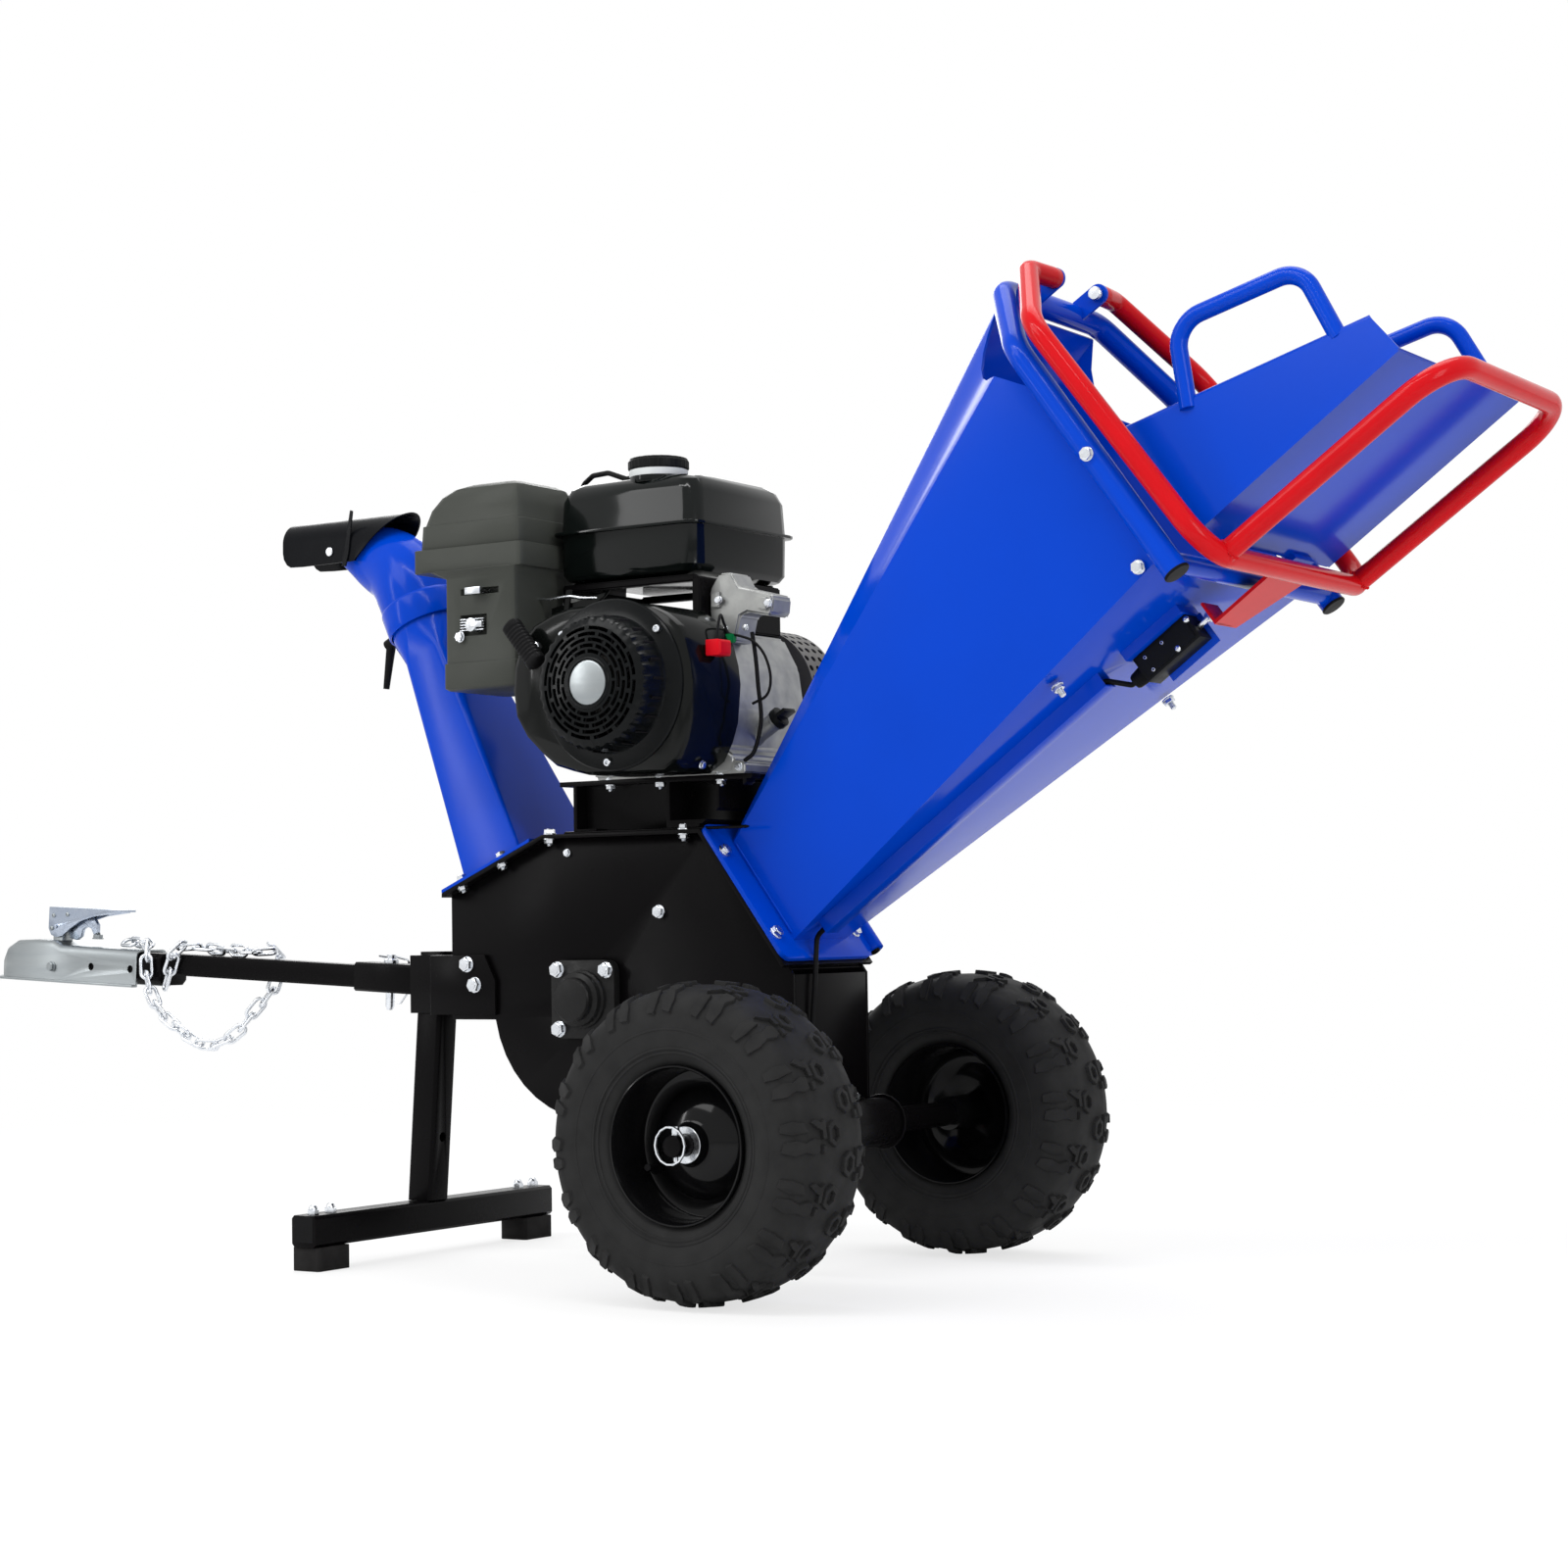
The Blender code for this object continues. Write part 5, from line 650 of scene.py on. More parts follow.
def paint_and_end(tree, made, start, end):
    """Ends a tree with the chosen material on what it made."""
    painted = add(tree, "GeometryNodeSetMaterial", links={"Geometry": made.outputs[0],
                                                          "Material": start.outputs["Look"]})
    tree.links.new(painted.outputs[0], end.inputs[0])
    return tree


# %% [markdown]
# The ring tree puts points at one spot, turns a copy at each by its number, and moves the result to
# the centre. It serves the tread and the fan blades, which sit evenly round an axle.

# %% Ring tree
def ring_tree():
    """Copies one part round a line along Y through a centre."""
    tree = bpy.data.node_groups.new("copies round an axis", "GeometryNodeTree")
    start, end = sockets(tree, [("Count", "NodeSocketInt"), ("Centre", "NodeSocketVector"),
                                ("Phase", "NodeSocketFloat"), ("Look", "NodeSocketMaterial")])
    line = add(tree, "GeometryNodeMeshLine", links={"Count": start.outputs["Count"]})
    line.inputs["Offset"].default_value = (0, 0, 0)
    number = add(tree, "GeometryNodeInputIndex")
    share = add(tree, "ShaderNodeMath", links={0: number.outputs[0], 1: start.outputs["Count"]}, operation="DIVIDE")
    full = add(tree, "ShaderNodeMath", {1: 2 * math.pi}, {0: share.outputs[0]}, operation="MULTIPLY")
    turn = add(tree, "ShaderNodeMath", links={0: full.outputs[0], 1: start.outputs["Phase"]}, operation="ADD")
    about = add(tree, "ShaderNodeCombineXYZ", links={"Y": turn.outputs[0]})
    copies = add(tree, "GeometryNodeInstanceOnPoints",
                 links={"Points": line.outputs[0], "Instance": start.outputs["Geometry"], "Rotation": about.outputs[0]})
    real = add(tree, "GeometryNodeRealizeInstances", links={"Geometry": copies.outputs[0]})
    moved = add(tree, "GeometryNodeTransform", links={"Geometry": real.outputs[0],
                                                      "Translation": start.outputs["Centre"]})
    return paint_and_end(tree, moved, start, end)


# %% [markdown]
# The point tree reads two values stored on each point, its aim and its size, so screws of one kind
# can face any way. A random spin with a fixed seed keeps their heads from lining up.

# %% Point tree
def point_tree():
    """Sets one part at every point, along the point's aim and at the point's size."""
    tree = bpy.data.node_groups.new("copies at points", "GeometryNodeTree")
    start, end = sockets(tree, [("Part", "NodeSocketObject"), ("Look", "NodeSocketMaterial")])
    info = add(tree, "GeometryNodeObjectInfo", links={"Object": start.outputs["Part"]})
    aim = add(tree, "GeometryNodeInputNamedAttribute", {"Name": "aim"}, data_type="FLOAT_VECTOR")
    size = add(tree, "GeometryNodeInputNamedAttribute", {"Name": "size"}, data_type="FLOAT")
    spin = add(tree, "FunctionNodeRandomValue", {2: 0.0, 3: 6.28, "Seed": 7}, data_type="FLOAT")
    first = add(tree, "ShaderNodeCombineXYZ", links={"Z": spin.outputs[1]})
    facing = add(tree, "FunctionNodeAlignRotationToVector", links={"Rotation": first.outputs[0],
                                                                   "Vector": aim.outputs[0]}, axis="Z")
    copies = add(tree, "GeometryNodeInstanceOnPoints",
                 links={"Points": start.outputs["Geometry"], "Instance": info.outputs["Geometry"],
                        "Rotation": facing.outputs[0], "Scale": size.outputs[0]})
    real = add(tree, "GeometryNodeRealizeInstances", links={"Geometry": copies.outputs[0]})
    return paint_and_end(tree, real, start, end)


# %% [markdown]
# The chain tree cuts a line into even steps and gives each link a quarter turn from the one before.

# %% Chain tree
def chain_tree():
    """Sets links along a line at an even pitch, each a quarter turn from the last."""
    tree = bpy.data.node_groups.new("links along a line", "GeometryNodeTree")
    start, end = sockets(tree, [("Part", "NodeSocketObject"), ("Pitch", "NodeSocketFloat"),
                                ("Look", "NodeSocketMaterial")])
    curve = add(tree, "GeometryNodeMeshToCurve", links={"Mesh": start.outputs["Geometry"]})
    even = add(tree, "GeometryNodeResampleCurve", links={"Curve": curve.outputs[0], "Length": start.outputs["Pitch"]},
               mode="LENGTH")
    along = add(tree, "GeometryNodeInputTangent")
    number = add(tree, "GeometryNodeInputIndex")
    quarter = add(tree, "ShaderNodeMath", {1: math.pi / 2}, {0: number.outputs[0]}, operation="MULTIPLY")
    slant = add(tree, "ShaderNodeMath", {1: 0.6}, {0: quarter.outputs[0]}, operation="ADD")
    first = add(tree, "ShaderNodeCombineXYZ", links={"X": slant.outputs[0]})
    facing = add(tree, "FunctionNodeAlignRotationToVector", links={"Rotation": first.outputs[0],
                                                                   "Vector": along.outputs[0]}, axis="X")
    info = add(tree, "GeometryNodeObjectInfo", links={"Object": start.outputs["Part"]})
    copies = add(tree, "GeometryNodeInstanceOnPoints",
                 links={"Points": even.outputs[0], "Instance": info.outputs["Geometry"],
                        "Rotation": facing.outputs[0]})
    real = add(tree, "GeometryNodeRealizeInstances", links={"Geometry": copies.outputs[0]})
    return paint_and_end(tree, real, start, end)


# %% [markdown]
# The trees are built once. Two helpers hold a part while a tree copies it, and make the result a piece.

# %% Trees built, and their helpers
RING = ring_tree()
POINTS = point_tree()
CHAIN = chain_tree()
print("trees:", [tree.name for tree in (RING, POINTS, CHAIN)])


def loose(bm):
    """A helper object that holds one part for the trees and is removed after use."""
    mesh = bpy.data.meshes.new("part")
    bmesh.ops.recalc_face_normals(bm, faces=bm.faces)
    bm.to_mesh(mesh)
    bm.free()
    return new_object("part", mesh)


def round_about(name, bm, count, centre, look, body, phase=0.0, smooth=35):
    """A piece made of copies of one part round an axle."""
    part = loose(bm)
    mesh = set_out(part, RING, {"Count": count, "Centre": tuple(centre), "Phase": phase, "Look": look})
    bpy.data.objects.remove(part)
    return finish_piece(name, mesh, look, body, smooth)


# %% [markdown]
# ## Tyres and rims
# Each tyre is a smooth lathe-turned carcass with 16 pitches of lugs on it. One pitch has a pierced
# hexagon block each side of the middle, a slanted arm, a bone-shaped shoulder lug and a short one,
# and the two halves are staggered. The lugs are bent to the crown, so their feet sink into it.

# %% Lugs that follow the crown
WHEEL_Y = 0.2985
WHEEL_R = 0.182
PITCHES = 16
LUG_STRETCH = 0.93
PITCH_ARC = 2 * math.pi * WHEEL_R / PITCHES
SHOULDER = 0.0725                 # half the tyre's width
LUG_HIGH, SIDE_LUG_HIGH = 0.0047, 0.0034
CROWN = [(0.0, 0.1772), (0.0135, 0.177), (0.039, 0.175), (0.056, 0.1696), (0.066, 0.1605), (0.0712, 0.148),
         (0.0725, 0.14)]


def crown_at(u):
    """Radius of the bare carcass at a distance from the tyre's middle."""
    u = min(abs(u), SHOULDER)
    for (a, ra), (b, rb) in zip(CROWN, CROWN[1:]):
        if u <= b:
            return ra + (rb - ra) * (u - a) / (b - a)
    return CROWN[-1][1]


def raised(u, height):
    """Distance across and radius of a point at a height square to the carcass."""
    side = 1 if u >= 0 else -1
    u = abs(u)
    fall = (crown_at(u - 0.001) - crown_at(min(u + 0.001, SHOULDER))) / 0.002
    tilt = math.atan(fall)
    height = min(height, LUG_HIGH if u < 0.06 else SIDE_LUG_HIGH)
    return side * (u + math.sin(tilt) * height), crown_at(u) + math.cos(tilt) * height


def lug(bm, outline, shift, side, pierced=False):
    """A lug from an outline in millimetres across and round the tyre."""
    pts = [(side * u / 1000, w * LUG_STRETCH / 1000 + shift) for u, w in outline]
    cu = sum(p[0] for p in pts) / len(pts)
    cw = sum(p[1] for p in pts) / len(pts)

    def ring(shrink, level):
        out = []
        for u, w in pts:
            d = math.hypot(u - cu, w - cw)
            f = max(0.0, (d - shrink) / d)
            u2, w2 = cu + (u - cu) * f, cw + (w - cw) * f
            u3, r = raised(u2, -0.003 if level == 0 else LUG_HIGH - level)
            out.append(Vector((math.sin(w2 / WHEEL_R) * r, u3, math.cos(w2 / WHEEL_R) * r)))
        return out
    rings = [ring(0.0, 0), ring(0.0009, 0.0008), ring(0.0016, 0.00001)]
    if pierced:
        rings += [ring(0.0065, 0.00001), ring(0.0072, 0.0012), ring(0.0076, 0.005)]
    rings_to_faces(bm, rings)


# %% [markdown]
# The outlines are in millimetres, across and round the tyre, drawn after the near wheel of the
# photograph. A lathe makes the carcass, and one pitch of lugs is handed to the ring tree.

# %% Tyres
HEXAGON = [(2, -9), (14, -17), (26, -9), (26, 9), (14, 17), (2, 9)]
ARM = [(29, -19), (36, -15), (45, -20), (51, -16), (44, -9), (36, -4), (36, 6), (29, 6)]
BONE = [(40, 6), (47, 3), (57, 8), (65, 4), (71, 7), (72, 21), (66, 25), (57, 21), (47, 24), (40, 20)]
SHORT = [(56, -17), (66, -21), (71.5, -19), (72, -7), (66, -2), (54, -4)]
BRIDGE = [(30, 12), (37, 12), (37, 23), (30, 23)]


def tyre(name, side, body):
    """Carcass and tread of one wheel."""
    centre = at(0, side * WHEEL_Y, WHEEL_R)
    half = [(0.0876, 0.05), (0.0884, 0.054), (0.093, 0.058), (0.103, 0.065), (0.12, 0.0705),
            (0.133, 0.0722), (0.143, 0.072), (0.153, 0.0698), (0.162, 0.065), (0.17, 0.056),
            (0.175, 0.039), (0.1768, 0.02), (0.1772, 0.0)]
    outer = [(v.x, v.z) for v in curve_path([Vector((r, 0, y)) for r, y in half], 3)]
    full = outer + [(r, -y) for r, y in outer[-2::-1]]
    inside = [(0.108, -0.06), (0.14, -0.064), (0.16, -0.048), (0.164, 0), (0.16, 0.048),
              (0.14, 0.064), (0.108, 0.06)]
    bm = lathe(full + inside, centre, (0, 1, 0), 120, closed=True)
    for radius, y, wide in ((0.104, 0.0655, 0.0012), (0.1085, 0.0676, 0.0009), (0.13, 0.0716, 0.001)):
        for s in (-1, 1):
            bead = [(radius + math.cos(t) * wide * 1.6, s * (y + math.sin(t) * wide))
                    for t in turns(8)]
            lathe(bead, centre, (0, 1, 0), 120, bm, closed=True)
    piece("carcass_" + name, bm, tyre_rubber, body, 40, ["tyre_" + name])
    bm = bmesh.new()
    for s, shift in ((1, 0.0), (-1, PITCH_ARC / 2)):
        lug(bm, HEXAGON, shift, s, True)
        for outline in (ARM, BONE, SHORT, BRIDGE):
            lug(bm, outline, shift, s)
    round_about("tread_" + name, bm, PITCHES, centre, tyre_rubber, body, 0.11, 30)


SIDES = (("near", -1), ("far", 1))
for name, side in SIDES:
    tyre(name, side, "wheel_" + name)

# %% [markdown]
# The rims are pressed steel dishes in gloss black. A rolled flange holds the bead, a flat ring and a
# raised bowl lead in to the hub tube, and a rubber valve stands on the flat ring. One lathe profile
# gives all of it, since a pressed dish is round.

# %% Rims
BORE = 0.0128
RIM = [(BORE, .04), (.015, .0405), (.0205, .04), (.021, .0385), (.0216, .03), (.0235, .0272), (.028, .0262),
       (.036, .024), (.045, .0205), (.053, .016), (.059, .0112), (.063, .007), (.0655, .0046), (.069, .004),
       (.08, .004), (.0822, .005), (.0836, .011), (.0846, .048), (.0858, .06),
       (.0872, .0625), (.0889, .0622), (.0895, .06), (.089, .056), (.0868, .051), (.0868, -.051),
       (.089, -.056), (.0895, -.06), (.0888, -.0622), (.0872, -.0625), (.0858, -.06), (.081, -.03),
       (.0808, .0005), (.069, .0012), (.062, .0035), (.052, .012), (.036, .0205), (.026, .0225), (.022, .002),
       (.021, -.055), (BORE, -.055)]
for name, side in SIDES:
    centre = at(0, side * WHEEL_Y, WHEEL_R)
    bm = lathe(RIM, centre, (0, side, 0), 128, closed=True)
    piece("rim_dish_" + name, bm, rim_paint, "wheel_" + name, 50, ["rim_" + name])
    lean = math.radians(205)
    stem = centre + Vector((math.cos(lean) * 0.074, side * 0.005, math.sin(lean) * 0.074))
    out_and_in = Vector((-math.cos(lean) * 0.35, side, -math.sin(lean) * 0.35))
    valve = [(.0001, 0), (.0062, 0), (.006, .002), (.004, .008), (.0038, .016), (.0032, .018), (.0032, .02),
             (.0042, .0205), (.0043, .029), (.0036, .0305), (.0001, .0306)]
    piece("valve_" + name, lathe(valve, stem, out_and_in, 20), cable_pvc, "wheel_" + name, 40)

# %% [markdown]
# ## Recoil starter
# The cover is a thin black moulding. Its face has five rings of slots with staggered bridges, and its
# side wall has fine ribs. It is made as one polar sheet with the slots left out and then given
# thickness, because cutting the slots one by one would leave far more faces.

# %% Recoil cover with real slots
CRANK_X, CRANK_Z = -0.1946, 0.7145
SLICES = 144
FACE = [(.0305, -.25, 0), (.0352, -.2497, 0), (.0396, -.2495, 1), (.0422, -.2492, 0), (.0466, -.249, 1),
        (.0492, -.2487, 0), (.0536, -.2484, 1), (.0562, -.248, 0), (.0606, -.2477, 1), (.0632, -.2472, 0),
        (.0676, -.2466, 1), (.072, -.2455, 0), (.0752, -.2432, 0), (.0768, -.2395, 0), (.0786, -.23, 0),
        (.081, -.211, 0), (.083, -.207, 0), (.09, -.205, 0), (.1015, -.204, 0), (.1033, -.2025, 0),
        (.1035, -.2004, 0)]
SLOT_RINGS = [k for k, row in enumerate(FACE) if row[2]]
bm = bmesh.new()
rows = []
for k, (radius, y, slot) in enumerate(FACE):
    row = []
    for j in range(SLICES):
        t = 2 * math.pi * j / SLICES
        r = radius + (0.002 if k in (12, 13, 14) and j % 4 < 2 else 0)
        row.append(bm.verts.new(at(CRANK_X + math.cos(t) * r, y, CRANK_Z + math.sin(t) * r)))
    rows.append(row)
for k in range(len(FACE) - 1):
    for j in range(SLICES):
        ring_no = SLOT_RINGS.index(k + 1) if k + 1 in SLOT_RINGS else None
        if ring_no is not None and (j + 6 * (ring_no % 2)) % 12 > 1:
            continue
        bm.faces.new((rows[k][j], rows[k][(j + 1) % SLICES], rows[k + 1][(j + 1) % SLICES], rows[k + 1][j]))
bmesh.ops.recalc_face_normals(bm, faces=bm.faces)
if sum(f.normal.y for f in bm.faces) > 0:
    bmesh.ops.reverse_faces(bm, faces=bm.faces)
bmesh.ops.solidify(bm, geom=bm.faces[:] + bm.edges[:] + bm.verts[:], thickness=0.0022)
piece("recoil_shell", bm, grille_plastic, "machine", 30, ["recoil_cover"])

# %% [markdown]
# A plated disc in a black ring closes the middle of the cover. Behind the slots 22 blades on a disc
# make the flywheel fan, set out by the ring tree, and it turns with the crank. The blades and the disc
# get the muffler's matt black as painted shade, for the dark behind the slots.

# %% Disc, ring and fan
hub = [(.0001, -.0515), (.024, -.0515), (.0262, -.0508), (.0268, -.05), (.0268, -.049), (.0001, -.049)]
hub_at = at(CRANK_X, -0.2, CRANK_Z)
piece("recoil_disc", lathe([(r, -y) for r, y in hub], hub_at, (0, -1, 0), 64), dull_zinc, "machine")
collar = [(.0271, .048), (.0271, .0512), (.0276, .0518), (.029, .0519), (.03, .0516), (.0312, .0506),
          (.0316, .0495), (.0316, .048)]
piece("recoil_hub", lathe(collar, hub_at, (0, -1, 0), 72, closed=True), grille_plastic, "machine")

bm = bmesh.new()
FAN_FRONT, FAN_BACK, HALF_BLADE = -0.229, -0.208, 0.0011
rings = []
for t in [k / 6 for k in range(7)]:
    r, swing = 0.04 + 0.042 * t, 0.32 * t * t
    c, s = math.cos(swing), math.sin(swing)
    rings.append([Vector((r * c + q * HALF_BLADE * s, y, r * s - q * HALF_BLADE * c))
                  for q, y in ((-1, FAN_FRONT), (1, FAN_FRONT), (1, FAN_BACK), (-1, FAN_BACK))])
rings_to_faces(bm, rings)
# The fan's matt black is painted shade: it stands for the dark inside the cover.
round_about("fan_blades", bm, 22, at(CRANK_X, 0, CRANK_Z), muffler_black_and_fan_shade, "crank")
fan = [(.013, .0075), (.0842, .003), (.0846, .0018), (.084, .001), (.013, .001)]
piece("fan_disc", lathe([(r, y + 0.003) for r, y in fan], hub_at, (0, -1, 0), 72, closed=True), muffler_black_and_fan_shade, "crank")
bm = lathe([(.0001, .036), (.033, .036), (.034, .035), (.034, .011), (.0001, .011)], hub_at, (0, -1, 0), 48)
piece("starter_cup", bm, drum_steel, "crank")

# %% [markdown]
# The starter's grip is a ribbed handle that lies across its rope. A box with rounded edges would be
# simpler, but rows of rounded rings give the ribs and the eased ends in one skin.

# %% Starter grip and rope
ROPE = Vector((-0.3106, -0.2, 0.7665))
pull = Vector((0.62, 0, -0.78)).normalized()
wide = Vector((0, 1, 0))
deep = pull.cross(wide)
rings = []
steps = 57
for k in range(steps):
    s = -0.04 + 0.07 * k / (steps - 1)
    end = min(1.0, math.sqrt(max(0.0, 1 - (max(0.0, abs(s + 0.005) - 0.026) / 0.0095) ** 2)) + 0.12)
    rib = 0.0007 * (1 if (k // 2) % 2 else 0) if 8 < k < 48 else 0
    half_a, half_b = (0.0105 - rib) * end, (0.0125 - rib) * end
    c = at(*(ROPE + Vector((0, -0.0185, 0)) + pull * s))
    ring = []
    for t in turns(24):
        ring.append(c + wide * half_a * math.copysign(abs(math.cos(t)) ** 0.75, math.cos(t))
                    + deep * half_b * math.copysign(abs(math.sin(t)) ** 0.75, math.sin(t)))
    rings.append(ring)
piece("starter_grip", rings_to_faces(bmesh.new(), rings), grip_plastic, "starter_handle", 50,
      ["recoil_handle"])
rope_line = [at(*(ROPE + Vector((0, y, 0)))) for y in (-0.01, -0.002, 0.01, 0.03, 0.058)]
piece("starter_rope", tube(bmesh.new(), rope_line, 0.0025, 12), cable_pvc, "starter_handle", 60)
eyelet = [(.0034, 0), (.0034, -.004), (.006, -.0048), (.0078, -.0036), (.0084, 0), (.008, .003)]
piece("rope_eyelet", lathe([(r, -y) for r, y in eyelet], at(*ROPE), (0, -1, 0), 28, closed=True), zinc, "machine")

# %% [markdown]
# ## Safety chain
# The chain is bent round steel wire. One link is modelled and set along a slack line that passes under
# the drawbar and over the top of it. Each link is a quarter turn from the last, as in a real chain.

# %% Chain
WIRE = 0.0025
LINK_PITCH = 0.0222
half_run = 0.0088
half_turn = 0.0076
stadium = [Vector((half_run + math.sin(t) * half_turn, math.cos(t) * half_turn, 0))
           for t in [math.pi * k / 8 for k in range(9)]]
stadium += [Vector((-half_run - math.sin(t) * half_turn, -math.cos(t) * half_turn, 0))
            for t in [math.pi * k / 8 for k in range(9)]]
link = loose(tube(bmesh.new(), stadium, WIRE, 10, closed=True))
hang = [(-.478, -.01, .0278), (-.436, -.02, .0276), (-.418, -.036, .016), (-.416, -.0368, -.02),
        (-.392, -.036, -.062), (-.352, -.03, -.09), (-.316, -.02, -.108), (-.276, -.005, -.092),
        (-.25, .012, -.052), (-.233, .0253, -.024), (-.23, .0253, .0245), (-.24, 0, .0245), (-.352, 0, .0245),
        (-.368, -.0253, .0245), (-.388, -.0253, -.02)]
line = curve_path([TOW @ Vector(p) for p in hang], 10)
wire = bpy.data.meshes.new("chain line")
wire.from_pydata(line, [(k, k + 1) for k in range(len(line) - 1)], [])
run = new_object("chain line", wire)
mesh = set_out(run, CHAIN, {"Part": link, "Pitch": LINK_PITCH, "Look": zinc})
bpy.data.objects.remove(run)
bpy.data.objects.remove(link)
finish_piece("chain_links", mesh, zinc, "machine", 60, ["safety_chain"])
print("chain", round(length_of(line), 3), "m")

# %% [markdown]
# ## Chute, elbow and hood
# The chute is folded sheet that changes from a rectangle at the deck to a round neck. The elbow over it
# is drawn sheet with a full belly on its throat side, and the hood is a half-round trough that widens
# to the rear and is cut on a slant. All three are skins of real sheet thickness.

# %% Chute duct
CHUTE_TILT = math.radians(24.0)
CHUTE_DIR = Vector((-math.sin(CHUTE_TILT), 0, math.cos(CHUTE_TILT)))
CHUTE_SIDE = Vector((math.cos(CHUTE_TILT), 0, math.sin(CHUTE_TILT)))
ACROSS = Vector((0, 1, 0))
COLLAR = at(-0.6425, 0, 0.829)
LEFT_TILT = math.radians(23.38)
LEFT_D = 0.65
CHUTE_X0, CHUTE_X1, CHUTE_Y = -0.5185, -0.428, 0.085


def slope_z(dist, x):
    """Height of the sloped deck plate's line at one x."""
    return (dist + math.sin(LEFT_TILT) * x) / math.cos(LEFT_TILT)


def round_box(centre, side, half_x, half_y, corner, n=8):
    """A rounded rectangle square to a direction."""
    corner = min(corner, half_x, half_y)
    out = []
    for k, (sx, sy) in enumerate(((1, 1), (-1, 1), (-1, -1), (1, -1))):
        for j in range(n + 1):
            t = math.pi / 2 * (k + j / n)
            a = sx * (half_x - corner) + math.cos(t) * corner
            b = sy * (half_y - corner) + math.sin(t) * corner
            out.append(centre + side * a + ACROSS * b)
    return out


def duct_skin(wall):
    """Rings of one skin of the duct, from the deck to the neck."""
    x = (CHUTE_X0 + CHUTE_X1) / 2
    base = at(x, 0, slope_z(LEFT_D + 0.0008, x))
    slope = Vector((math.cos(LEFT_TILT), 0, math.sin(LEFT_TILT)))
    half = (CHUTE_X1 - CHUTE_X0) / 2 / math.cos(LEFT_TILT)
    top = at(-0.6165, 0, 0.79)
    rings = [round_box(base, slope, half - wall, CHUTE_Y - wall, 0.004)]
    rings.append(round_box(top, CHUTE_SIDE, 0.0345 - wall, 0.05 - wall, 0.012))
    for step in (-0.01, 0.0, 0.03):
        rings.append(round_box(COLLAR + CHUTE_DIR * step, CHUTE_SIDE, 0.052 - wall, 0.052 - wall, 0.0519 - wall))
    return rings


bm = rings_to_faces(bmesh.new(), duct_skin(0) + duct_skin(0.0028)[::-1], closed_path=True)
foot = []
for d in (LEFT_D + 0.0004, LEFT_D + 0.0042):
    outer = [(-0.5445, -0.1005), (-0.402, -0.1005), (-0.402, 0.1005), (-0.5445, 0.1005)]
    inner = [(CHUTE_X0 + 0.002, -CHUTE_Y + 0.002), (CHUTE_X1 - 0.002, -CHUTE_Y + 0.002),
             (CHUTE_X1 - 0.002, CHUTE_Y - 0.002), (CHUTE_X0 + 0.002, CHUTE_Y - 0.002)]
    foot.append(([at(x, y, slope_z(d, x)) for x, y in outer], [at(x, y, slope_z(d, x)) for x, y in inner]))
rings_to_faces(bm, [foot[0][0], foot[1][0], foot[1][1], foot[0][1]], closed_path=True)
piece("chute_sheet", bm, blue_paint, "machine", 22, ["chute_duct"])

# %% [markdown]
# The elbow narrows from 109 to 60 mm along a cubic curve and swells on one side, which a plain spin
# can't follow, so each ring is placed for itself. Its two ears carry the pivot of the hood.

# %% Elbow with its ears
HOOD_X, HOOD_Z, HOOD_TOP = -0.787, 0.94, 0.987
ELBOW_END = at(-0.778, 0, 0.9445)
BELLY = (0.0, 0.0005, 0.001, 0.0025, 0.004, 0.006, 0.008, 0.0095, 0.0105, 0.0106, 0.0095, 0.006, 0.0)


def elbow_skin(wall, n=48):
    """Rings of one skin of the elbow."""
    rings = []
    for c, r in ((COLLAR, 0.056), (COLLAR + CHUTE_DIR * 0.002, 0.0564), (COLLAR + CHUTE_DIR * 0.033, 0.0564),
                 (COLLAR + CHUTE_DIR * 0.035, 0.0558), (COLLAR + CHUTE_DIR * 0.037, 0.0545)):
        rings.append([c + CHUTE_SIDE * (r - wall) * math.cos(t) + ACROSS * (r - wall) * math.sin(t)
                      for t in turns(n)])
    start = COLLAR + CHUTE_DIR * 0.047
    p = [start, start + CHUTE_DIR * 0.048, ELBOW_END + Vector((0.066, 0, 0.003)), ELBOW_END]
    for k, belly in enumerate(BELLY):
        t = k / (len(BELLY) - 1)
        c = p[0] * (1 - t) ** 3 + p[1] * 3 * t * (1 - t) ** 2 + p[2] * 3 * t * t * (1 - t) + p[3] * t ** 3
        d = (p[1] - p[0]) * (1 - t) ** 2 + (p[2] - p[1]) * 2 * t * (1 - t) + (p[3] - p[2]) * t * t
        side = Vector((d.z, 0, -d.x)).normalized()
        r = 0.0545 + (0.03 - 0.0545) * (t * t * (3 - 2 * t)) ** 0.9
        c = c - side * belly
        rings.append([c + side * (r + belly - wall) * math.cos(a) + ACROSS * (r - wall) * math.sin(a)
                      for a in turns(n)])
    return rings


bm = rings_to_faces(bmesh.new(), elbow_skin(0) + elbow_skin(0.0024)[::-1], closed_path=True)
for side in (-1, 1):
    y0, y1 = sorted((side * 0.027, side * 0.0302))
    block(bm, at(HOOD_X - 0.008, y0, HOOD_Z - 0.005), at(HOOD_X + 0.025, y1, HOOD_Z + 0.006))
piece("elbow_sheet", bm, blue_paint, "elbow", 30, ["chute_elbow"])
bm = bmesh.new()
for side in (-1, 1):
    lathe([(.00001, .0285), (.003, .0285), (.003, .0358), (.0058, .036), (.006, .0376), (.0046, .0386),
           (.00001, .0388)], at(HOOD_X, 0, HOOD_Z), (0, side, 0), 24, bm)
piece("hood_pivot", bm, zinc, "elbow", 30)


# %% [markdown]
# The hood's rows are open below, so its inner and outer skins are joined along all four edges. A bent
# strap stands on its near side.

